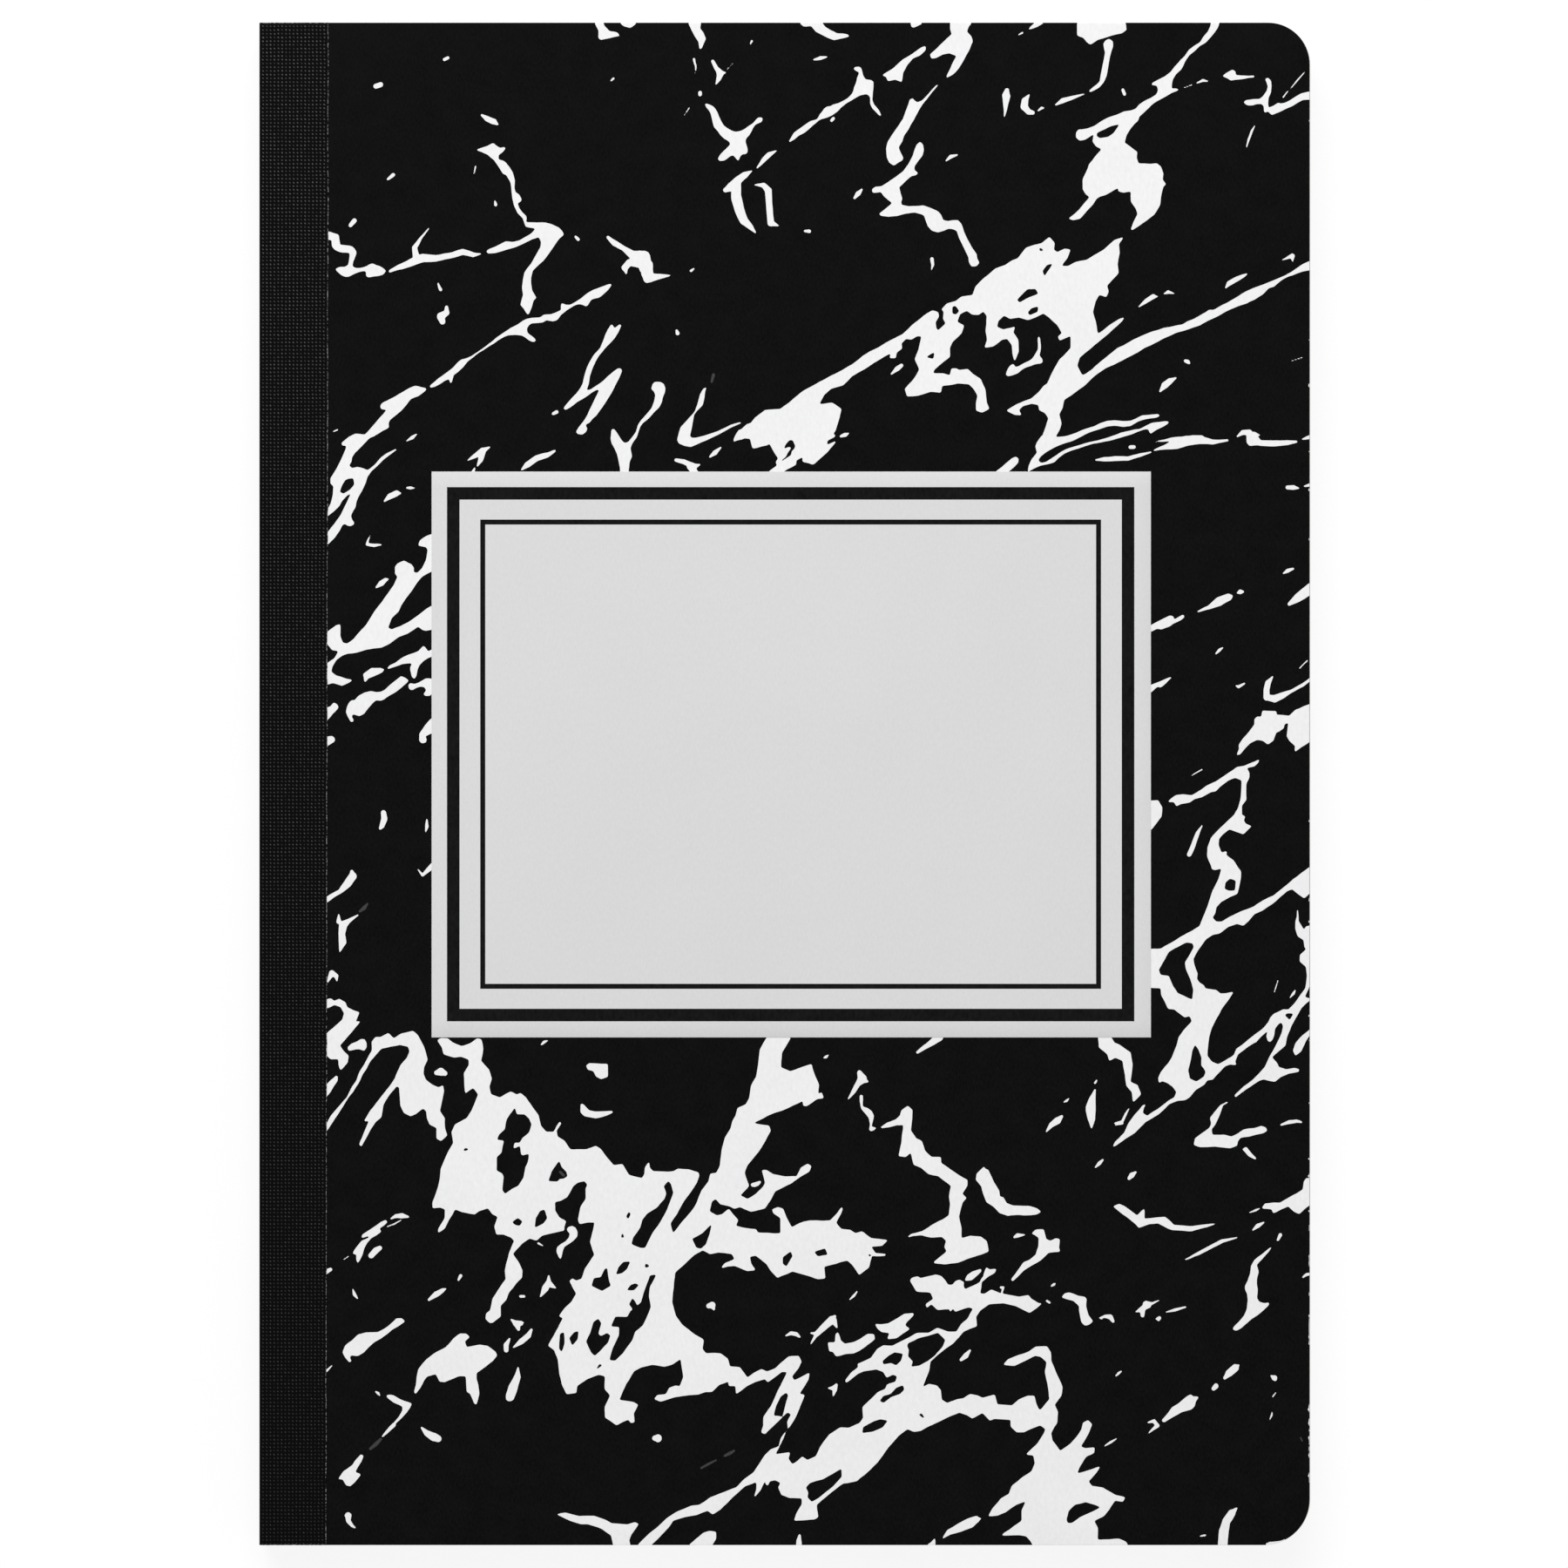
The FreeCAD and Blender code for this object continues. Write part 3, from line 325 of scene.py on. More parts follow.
HEAD_RIGHT_BLOTS = [
    [1236, 25, 1236, 40, 1243, 43, 1248, 49, 1252, 51, 1260, 46, 1275, 41, 1288, 38, 1293, 34, 1292, 25],
    [1255, 155, 1254, 162, 1258, 168, 1264, 171, 1258, 178, 1250, 188, 1246, 198, 1243, 206, 1243, 217,
     1246, 223, 1250, 226, 1245, 232, 1239, 240, 1232, 246, 1226, 251, 1232, 253, 1240, 251, 1247, 243,
     1254, 235, 1259, 228, 1262, 226, 1269, 224, 1277, 219, 1284, 215, 1283, 219, 1290, 221, 1298, 220,
     1298, 231, 1304, 239, 1306, 245, 1301, 254, 1297, 264, 1300, 264, 1314, 254, 1325, 246, 1332, 235,
     1334, 222, 1336, 214, 1339, 211, 1335, 206, 1336, 199, 1333, 191, 1328, 187, 1321, 188, 1307, 187,
     1305, 181, 1306, 174, 1298, 168, 1291, 163, 1293, 156, 1297, 148, 1308, 136, 1300, 128, 1285, 137,
     1268, 146],
    # The long stroke that falls from the head, and the small ones round it
    [1390, 22, 1389.5, 29, 1386, 36, 1380, 43, 1377.5, 48.5, 1371, 52, 1365, 56, 1361, 62, 1355, 69,
     1349, 76, 1344, 82, 1336, 88, 1329, 91.5, 1323, 94.5, 1321, 97.5, 1328, 98.5, 1329, 103, 1327, 108,
     1321, 112, 1313, 116, 1308, 119, 1304, 124, 1298, 126, 1290, 127, 1282, 131, 1272, 134.5, 1263, 139,
     1256, 144, 1248, 147, 1242, 148, 1238, 148, 1235, 152, 1235, 158, 1239, 161.5, 1245, 160, 1250, 157,
     1255, 154, 1262, 152, 1270, 146, 1290, 160, 1296, 150, 1300, 144, 1306, 139, 1308, 134, 1315, 128,
     1322, 121, 1328, 116, 1338, 111, 1345, 107, 1351, 104.5, 1355, 102.5, 1350, 101, 1345, 101.5,
     1345.5, 97, 1347, 91, 1350, 85, 1356, 80, 1359, 75, 1362, 68, 1366, 62.5, 1372, 58, 1377, 53.5,
     1383, 50, 1388, 45, 1394, 38, 1398, 32, 1401, 22],
    [1266.5, 50, 1269, 46, 1273, 44, 1277.5, 47, 1278, 53, 1276, 59, 1274.5, 66, 1272.5, 76, 1270.5, 86,
     1267, 94, 1262, 100, 1256, 103.5, 1250.5, 106, 1250, 103.5, 1254, 100, 1259, 96, 1262, 93, 1263, 86,
     1265, 78, 1267, 69, 1268.5, 60, 1267.5, 56],
    [1402, 87, 1407, 83.5, 1411, 81, 1415, 79, 1418.5, 81.5, 1418.5, 85.5, 1425, 86, 1433, 86, 1440.5,
     85.5, 1440.5, 88.5, 1433, 89, 1425, 90.5, 1418, 91.5, 1412, 92.5, 1409, 90],
    [1427, 117, 1431, 114.5, 1438, 113.5, 1446, 113.5, 1450, 110, 1454, 104, 1455.5, 99, 1454, 94, 1452,
     90, 1456, 88.5, 1459.5, 92.5, 1460, 99, 1459, 106, 1456.5, 112, 1456, 119, 1456.5, 123.5, 1462, 121,
     1468, 117, 1470, 118.5, 1475, 117.5, 1481, 114.5, 1488, 110, 1494, 106.5, 1500, 105, 1510, 104.5,
     1510, 114, 1496, 114.5, 1489, 118, 1480, 123, 1470, 128, 1460, 132, 1456, 128, 1451, 130, 1450.5,
     122, 1448, 119.5, 1443, 119.5, 1438, 121, 1432, 121],
    # The long arm that reaches to the fore-edge, and the two thin ones under it
    [1242, 429.5, 1250, 427, 1256, 420.5, 1265, 413, 1274, 406, 1283, 399, 1290, 396, 1297, 392, 1302,
     389, 1312, 384.5, 1323, 380, 1335, 376, 1347, 374, 1357, 371.5, 1363, 368, 1370, 365.5, 1377, 362,
     1384, 358, 1388, 355, 1394, 355, 1400, 351, 1410, 346, 1420, 340, 1430, 334, 1438, 330, 1450, 326,
     1462, 321, 1475, 316, 1485, 309.5, 1495, 303, 1510, 296, 1510, 307, 1503, 310, 1495, 311.5, 1480,
     317, 1470, 322, 1462, 329, 1457, 330.5, 1450, 337, 1440, 344, 1431, 348.5, 1422, 351, 1412, 355,
     1400, 361.5, 1387, 368, 1378, 373.5, 1371, 375, 1362, 378, 1350, 382, 1335, 389, 1320, 397, 1311,
     401, 1300, 408, 1285, 415, 1270, 422, 1258, 430, 1250, 436.5, 1240, 445, 1230, 440],
    [1208, 502, 1213, 501, 1222, 500, 1235, 496, 1245, 492, 1255, 489, 1262, 485, 1270, 482.5, 1280,
     481.5, 1290, 482.5, 1298, 482, 1305, 479.5, 1312, 476.5, 1322, 475.5, 1329, 474.5, 1332, 477, 1326,
     479.5, 1316, 481, 1306, 484, 1298, 488.5, 1290, 489.5, 1280, 488.5, 1270, 489.5, 1260, 493, 1250,
     496.5, 1240, 501.5, 1230, 506.3, 1218, 510.3, 1208, 515, 1200, 519.3, 1194.5, 523.5, 1192, 527.5,
     1195, 530.5, 1201, 529.5, 1207, 526, 1213, 522, 1218, 518.7, 1223, 516, 1231, 513, 1240, 510.3,
     1250, 507.3, 1260, 505, 1270, 502.5, 1280, 499.2, 1287, 496.4, 1295, 494, 1302, 492.6, 1308, 491.7,
     1312, 490, 1317, 487.5, 1322, 485.2, 1328, 483.8, 1339, 482.8, 1343, 483.7, 1340, 486.5, 1335,
     489.5, 1330, 492, 1325, 495, 1320.3, 498.3, 1319, 496, 1318.3, 493.2, 1316, 492.5, 1312, 493.3,
     1305, 495.8, 1298, 498.5, 1290, 501.2, 1280, 504.7, 1270, 506.7, 1255, 509.5, 1242, 513.5, 1230,
     517.5, 1222, 521, 1215, 526, 1210, 531, 1203, 532.5, 1195, 534, 1187, 537.5, 1181, 541, 1181, 546,
     1178, 546, 1181, 534, 1184, 527, 1190, 519, 1191.5, 516, 1188, 512, 1190, 507, 1196, 500],
    # The bent stroke that stands beside the arm
    [1154.4, 430, 1155.6, 425.6, 1158.3, 420.6, 1161, 418, 1163.3, 417.2, 1164.8, 418.3, 1165.6, 420.6,
     1170, 419.4, 1174.4, 417.2, 1180, 414.4, 1184.4, 411.6, 1186.8, 409, 1189.4, 404.4, 1191.3, 401,
     1191.7, 394.4, 1191.1, 387.8, 1192, 385, 1193.3, 385.3, 1194.5, 388.3, 1195.3, 394.4, 1195, 401,
     1193.9, 408, 1196.7, 411, 1197.5, 415, 1196, 416.8, 1189, 417.7, 1180, 421, 1173.3, 424.5, 1169,
     427.8, 1163.3, 430.3, 1157.8, 431.5],
]

HEAD_RIGHT_GAPS = [
    [1259.5, 152.5, 1266, 149, 1275, 145, 1285, 142.5, 1282, 147, 1278, 152.5, 1272, 157, 1263, 158.5,
     1259, 156],
]
LEFT_SIDE_VEINS = [
    [441, 575, 1, 448, 569, 3.5, 455, 566, 3.5, 459, 566, 1.5],
    [467, 560, 1.2, 471, 560, 2, 476, 560, 0.8],
    [426, 613, 0.5, 422.5, 620, 1.2, 421.5, 624.5, 1.8, 430, 625.5, 1.9, 438, 625, 0.9],
    [432, 674, 1, 438, 669, 3.3, 443, 665, 2.3, 446, 664, 0.9],
    [419, 781, 1.4, 421, 775, 4, 428, 771, 5, 437, 769, 3, 441, 768, 0.8],
    [440, 933, 3.2, 441, 940, 3.6, 438, 948, 2.8, 436, 951, 1.6],
    [490, 940, 1, 490, 948, 2.2, 488, 955, 0.8],
    [480, 998, 0.8, 485, 1005, 1.6, 490, 1000, 2.5, 497, 993, 3.5],
    [374, 1033, 3, 390, 1023, 2.5, 399, 1014, 4.5, 405, 1006, 5, 404, 1000, 2],
    [411, 1050, 0.9, 401, 1057, 2.5, 394, 1062, 4.8, 392, 1072, 3.8, 393, 1081, 4.5, 390, 1092, 0.8],
    [389, 1049, 0.8, 389, 1058, 3],
    [376, 1127, 1, 381, 1117, 3.6, 386, 1120, 2.8, 387, 1126, 0.8],
    [374, 851, 6, 380, 849, 4.5],
]

LEFT_SIDE_BLOTS = [
    # The root of the vein that runs down behind the tape at the left of the label
    [391, 509, 394, 506, 401, 500.5, 408, 497, 418, 498, 422, 495, 430, 489, 444, 489, 430, 500, 422,
     503, 418, 507, 412, 515, 407, 520, 404, 525, 403.5, 530, 400.5, 534.5, 404, 537, 410, 535.5, 417,
     537, 422, 539, 426, 536.5, 431, 532, 437, 525, 443, 520, 449, 517, 455, 514, 457, 515.5, 453, 518,
     446, 523, 440, 528, 433, 535, 426, 541.5, 422, 547, 420, 553, 417, 560, 412, 568, 409, 575, 408,
     582, 404.5, 588, 403, 592, 404, 596, 407, 600, 406, 602.5, 402, 604, 398, 603, 395.5, 601, 393,
     602.5, 390, 609, 384, 617, 377, 624, 370, 629, 370, 614, 377, 609, 384, 600, 391, 590, 396, 580,
     399.5, 572, 403, 565.5, 398, 569, 393, 575, 390, 580, 383, 587, 376, 592.5, 370, 597, 370, 588, 376,
     583, 379, 578, 380.5, 574, 382, 566, 382.5, 558, 379, 555, 379, 549, 382, 544, 386, 538, 389, 532,
     392, 525, 396, 516, 397.5, 511, 393, 511.5],
    [497, 612, 489, 615, 482, 620, 480, 626, 489, 628, 491, 631, 489, 642, 484, 652, 479, 657, 475, 656,
     475, 651, 472, 647, 463, 643, 456, 646, 453, 650, 453, 658, 456, 662, 452, 671, 446, 680, 439, 690,
     430, 701, 418, 720, 406, 733, 399, 738, 394, 737, 391, 730, 391, 716, 386, 717, 380, 721, 374, 726,
     374, 737, 381, 746, 388, 747, 383, 755, 374, 762, 374, 786, 382, 784, 393, 787, 400, 784, 406, 780,
     396, 778, 386, 775, 381, 771, 382, 765, 386, 757, 393, 752, 399, 750, 410, 749, 428, 744, 438, 743,
     447, 739, 458, 731, 468, 727, 480, 719, 485, 723, 489, 724, 497, 723, 497, 694, 490, 698, 480, 706,
     470, 713, 460, 718, 450, 722, 446, 720, 450, 710, 458, 702, 461, 695, 465, 688, 475, 675, 485, 662,
     497, 655],
    [497, 822, 487, 833, 481, 842, 481, 850, 484, 853, 489, 852, 490, 848, 488, 845, 497, 841],
    [374, 1147, 380, 1146, 384, 1149, 390, 1146, 397, 1150, 399, 1156, 405, 1159, 413, 1162, 408, 1173,
     415, 1171, 408, 1180, 399, 1190, 390.5, 1200, 396, 1207.5, 401, 1212, 399, 1220, 390, 1229, 388, 1222,
     388, 1216, 379, 1216, 374, 1211, 374, 1187, 385, 1177, 393, 1170, 395, 1163, 391, 1156, 384, 1154,
     374, 1158],
    # The strokes between the tape and the label's left edge
    [460, 775.5, 465, 777.5, 469.5, 781, 467, 784, 461, 789, 455, 794, 448, 798, 441, 803, 437, 804.5,
     432, 804, 428, 807, 423, 813, 418, 819, 413, 821.5, 408, 820.5, 405, 820, 404, 822.5, 406.5, 826.5,
     405, 829, 402.5, 828.5, 399, 822, 397, 817, 398, 811, 400, 806, 403, 803, 407, 803, 411, 798, 418,
     794.5, 425, 793, 432, 794, 437, 793.5, 441, 791.5, 445, 788, 451, 783, 456, 779],
    [444, 767, 448, 763, 454, 760, 461, 755, 468, 751.5, 475, 749, 480, 746.5, 484, 742, 486, 740.5, 488,
     743, 491.5, 747.5, 500, 743, 500, 753, 491, 755.5, 486, 758.5, 481.5, 763, 479.5, 768, 478, 775,
     475.5, 780, 472.5, 777, 470.5, 769, 470.5, 765, 473, 761, 469, 761, 462, 762, 455, 764.5, 450,
     766.5, 446, 768],
    [468.5, 786, 471, 784, 475, 785, 480, 783.5, 484, 781, 489, 778.5, 494, 778.5, 500, 781, 500, 792,
     494, 798.5, 489, 799, 485.5, 797, 489, 792, 486.5, 789, 482, 788.5, 477, 790, 473, 792.5, 470,
     791.5, 468.5, 789],
    [370, 813, 379, 811, 381, 808, 383, 806, 387, 808, 389, 811.5, 386, 815.5, 381, 820, 378, 824, 375,
     827, 370, 830],
    [398.5, 1202, 403, 1197.5, 409, 1195.5, 414, 1192.5, 418.5, 1192.5, 421, 1197, 421, 1202, 418,
     1206.5, 413, 1204.5, 408, 1204.5, 404, 1205.5, 400, 1206.5],
    [370, 1249, 376, 1243, 381, 1238, 385, 1234, 387.5, 1234.5, 387.5, 1240, 383, 1247, 379.5, 1253, 376,
     1258, 370, 1265],
]

LEFT_SIDE_GAPS = [
    [400, 549.5, 405, 549, 406, 556, 401, 562, 394, 566.5, 390, 564.5, 392.5, 557, 396, 551],
    [496, 616, 497, 618, 495, 618],
]

RIGHT_SIDE_VEINS = [
    [1478, 559, 2.4, 1485, 559, 2.9, 1491, 560, 0.8],
    [1497, 558, 1, 1506, 556, 2.4],
    [1473, 658, 0.9, 1478, 655, 2.5, 1484, 653, 1.4],
    [1480, 693, 2, 1490, 686, 5, 1506, 675, 6.5],
    [1421, 680, 1.4, 1424, 679, 2.9, 1427, 679, 1.8],
    [1375, 702, 1, 1388, 697, 2.5, 1400, 690, 5.3, 1410, 685, 4.3, 1413, 684, 2.2],
    [1396, 750, 1.1, 1400, 746, 1.9, 1404, 743, 0.7],
    [1492, 767, 0.9, 1501, 758, 0.9],
    [1419, 787, 0.9, 1422, 788, 2, 1429, 784, 1.1],
    [1461, 776, 0.8, 1456, 783, 3.3, 1454, 792, 3.3, 1454, 800, 4],
    [1454, 800, 3.5, 1463, 802, 4.3, 1472, 798, 3.8, 1482, 793, 2, 1495, 786, 2, 1505, 779, 1.5],
    [1368, 890, 0.8, 1380, 883, 0.9],
    [1380, 947, 0.8, 1375, 956, 2.3, 1370, 969, 2.8, 1365, 981, 2.8],
    [1463, 1139, 0.8, 1467, 1125, 0.8],
    [1481, 1145, 0.8, 1485, 1140, 1.8, 1487, 1136, 0.8],
    [1489.5, 1045, 0.8, 1490, 1058, 1.5],
]

RIGHT_SIDE_BLOTS = [
    [1319, 718, 1333, 711, 1343, 706, 1347, 707, 1348, 711, 1358, 705, 1360, 708, 1356, 712, 1347, 716,
     1343, 719, 1333, 723, 1328, 722, 1319, 726],
    [1319, 787, 1335, 780, 1351, 774, 1343, 780, 1333, 789, 1329, 788, 1319, 797],
    [1449, 815, 1466, 816, 1466, 820, 1480, 821, 1487, 814, 1495, 811, 1506, 807, 1506, 850, 1495, 857,
     1486, 864, 1487, 856, 1480, 850, 1477, 845, 1479, 829, 1475, 831, 1474, 836, 1468, 840, 1465, 841,
     1462, 850, 1455, 854, 1449, 850, 1443, 849, 1435, 853, 1428, 860, 1424, 866, 1419, 868, 1422, 860,
     1421, 855, 1427, 847, 1434, 840, 1440, 831, 1440, 825, 1443, 822, 1448, 822],
    # The long figure from the middle of the fore-edge down to the label's lower corner
    [1447, 870, 1440, 874, 1428, 879, 1420, 880, 1410, 887, 1395, 897, 1385, 901, 1378, 906, 1368, 912,
     1358, 911, 1350, 912, 1345, 916, 1340, 921, 1348, 921, 1351, 926, 1356, 923, 1366, 921, 1372, 917,
     1380, 915, 1390, 909, 1396, 908, 1402, 902, 1410, 896, 1418, 893, 1425, 896, 1425, 905, 1424, 917,
     1421, 928, 1417, 935, 1408, 943, 1400, 951, 1390, 962, 1386, 972, 1386, 983, 1390, 993, 1391, 998,
     1395, 999, 1402, 997, 1398, 1010, 1392, 1022, 1386, 1040, 1380, 1055, 1377, 1063, 1368, 1069, 1355,
     1075, 1342, 1083, 1333, 1088, 1319, 1089, 1319, 1134, 1332, 1134, 1333, 1142, 1337, 1150, 1341,
     1158, 1348, 1159, 1360, 1168, 1366, 1166, 1368, 1172, 1358, 1182, 1353, 1190, 1350, 1201, 1345,
     1214, 1341, 1220, 1332, 1230, 1329, 1237, 1330, 1244, 1334, 1241, 1340, 1243, 1346, 1247, 1350,
     1253, 1348, 1260, 1340, 1264, 1328, 1273, 1317, 1280, 1312, 1277, 1313, 1272, 1317, 1265, 1311,
     1269, 1302, 1280, 1295, 1289, 1290, 1300, 1280, 1311, 1276, 1318, 1282, 1315, 1292, 1307, 1303,
     1300, 1315, 1288, 1330, 1279, 1342, 1268, 1352, 1264, 1360, 1263, 1366, 1259, 1373, 1251, 1382,
     1245, 1386, 1240, 1392, 1239, 1399, 1231, 1406, 1224, 1412, 1222, 1420, 1223, 1418, 1218, 1421,
     1210, 1432, 1202, 1440, 1197, 1446, 1191, 1450, 1187, 1455.5, 1183, 1463, 1172, 1470, 1163, 1462,
     1164, 1455, 1175, 1448, 1182, 1437, 1190, 1424, 1200, 1419, 1203, 1416, 1210, 1406, 1217, 1398,
     1221, 1391, 1218, 1386, 1212, 1387, 1200, 1388, 1190, 1391, 1180, 1396, 1170, 1402, 1158, 1411,
     1147, 1417, 1138, 1407, 1140, 1401, 1140, 1396, 1136, 1390, 1135, 1384, 1134, 1382, 1130, 1377,
     1127, 1374, 1123, 1375, 1117, 1371, 1107, 1370, 1100, 1376, 1090, 1385, 1078, 1392, 1073, 1400,
     1071, 1410, 1064, 1420, 1061, 1427, 1063, 1433, 1058, 1440, 1049.5, 1450, 1045, 1460, 1037.8, 1470,
     1029.3, 1477.5, 1022.5, 1483, 1020.5, 1490, 1026, 1497, 1031, 1506, 1023, 1506, 993, 1495, 1001,
     1480, 1013, 1462, 1027, 1450, 1033, 1440, 1040, 1425, 1046, 1412, 1052, 1402, 1057, 1396, 1057,
     1392, 1053, 1395, 1048, 1396, 1041, 1402, 1035, 1412, 1030, 1421, 1026, 1423, 1018, 1425, 1008,
     1425, 1000, 1420, 993, 1416, 987, 1408, 981, 1409, 976, 1402, 978, 1399, 970, 1400, 963, 1405, 957,
     1411, 952, 1420, 955, 1427, 958, 1437, 948, 1430, 945, 1428, 941, 1430, 936, 1426, 935, 1426, 925,
     1431, 918, 1431, 900, 1434, 893, 1434, 887, 1431, 882, 1440, 880, 1444, 876],
    [1319, 918, 1330, 918, 1335, 926, 1334, 937, 1328, 945, 1319, 955],
    [1490, 1046, 1491, 1056, 1497, 1067, 1499, 1063, 1506, 1061, 1506, 1146, 1499, 1152, 1494, 1157,
     1488, 1168, 1483, 1178, 1478, 1190, 1476, 1200, 1468, 1206, 1460.5, 1213.5, 1466, 1219.5, 1468,
     1225, 1476, 1227, 1486, 1225, 1492, 1227, 1491, 1230, 1480, 1232, 1470, 1237, 1464, 1242, 1457,
     1241, 1451, 1239, 1445, 1241, 1433, 1249, 1418, 1260, 1417, 1257, 1428, 1247, 1438, 1239, 1445,
     1232, 1452, 1225, 1457, 1213, 1462, 1204, 1466, 1196, 1471, 1186, 1473, 1178, 1470, 1172, 1475,
     1160, 1480, 1158, 1487, 1150, 1498, 1134, 1500, 1120, 1499, 1110, 1492, 1104, 1492, 1096, 1499,
     1089, 1497, 1088, 1496, 1079, 1490, 1075, 1487, 1066, 1487, 1058],
    [1437, 1190, 1447, 1183, 1452, 1178, 1456, 1173, 1458, 1168, 1462, 1163.5, 1468, 1160.5, 1473, 1158,
     1479, 1158, 1484, 1153, 1488, 1162, 1478, 1180, 1473, 1180, 1472, 1175, 1470, 1174, 1467, 1176.5,
     1464, 1181, 1463, 1188, 1461, 1193, 1458, 1196, 1455, 1194.5, 1453.5, 1189, 1455.5, 1183, 1447,
     1191, 1441, 1197.5],
    [1508, 1178, 1495, 1188, 1487, 1197, 1484.5, 1206, 1487, 1212, 1494, 1206.5, 1496.5, 1201, 1499,
     1195, 1503, 1189, 1508, 1182],
]

RIGHT_SIDE_GAPS = [
    [1406, 1020, 1407, 1013, 1412, 1009, 1419, 1011, 1418, 1022, 1411, 1022],
    [1330, 1113, 1334, 1106, 1342, 1093, 1350, 1088, 1362, 1082, 1369, 1083, 1370, 1087, 1365, 1096,
     1360, 1104, 1361, 1112, 1366, 1124, 1370, 1136, 1369, 1147, 1358, 1142, 1352, 1140, 1347, 1132,
     1342, 1120, 1337, 1119, 1332, 1118],
    [1498, 1144, 1501.5, 1136, 1505, 1126, 1510, 1126, 1510, 1147],
    [1475, 1165, 1478, 1163, 1485, 1163, 1480.5, 1170.5],
    [1372, 1199, 1369, 1206, 1367, 1218, 1364, 1228, 1366, 1238, 1373, 1241, 1382, 1235, 1384, 1230,
     1382, 1226, 1379, 1223, 1379, 1214, 1376, 1206],
    [1321, 942, 1323, 941, 1323, 943],
]
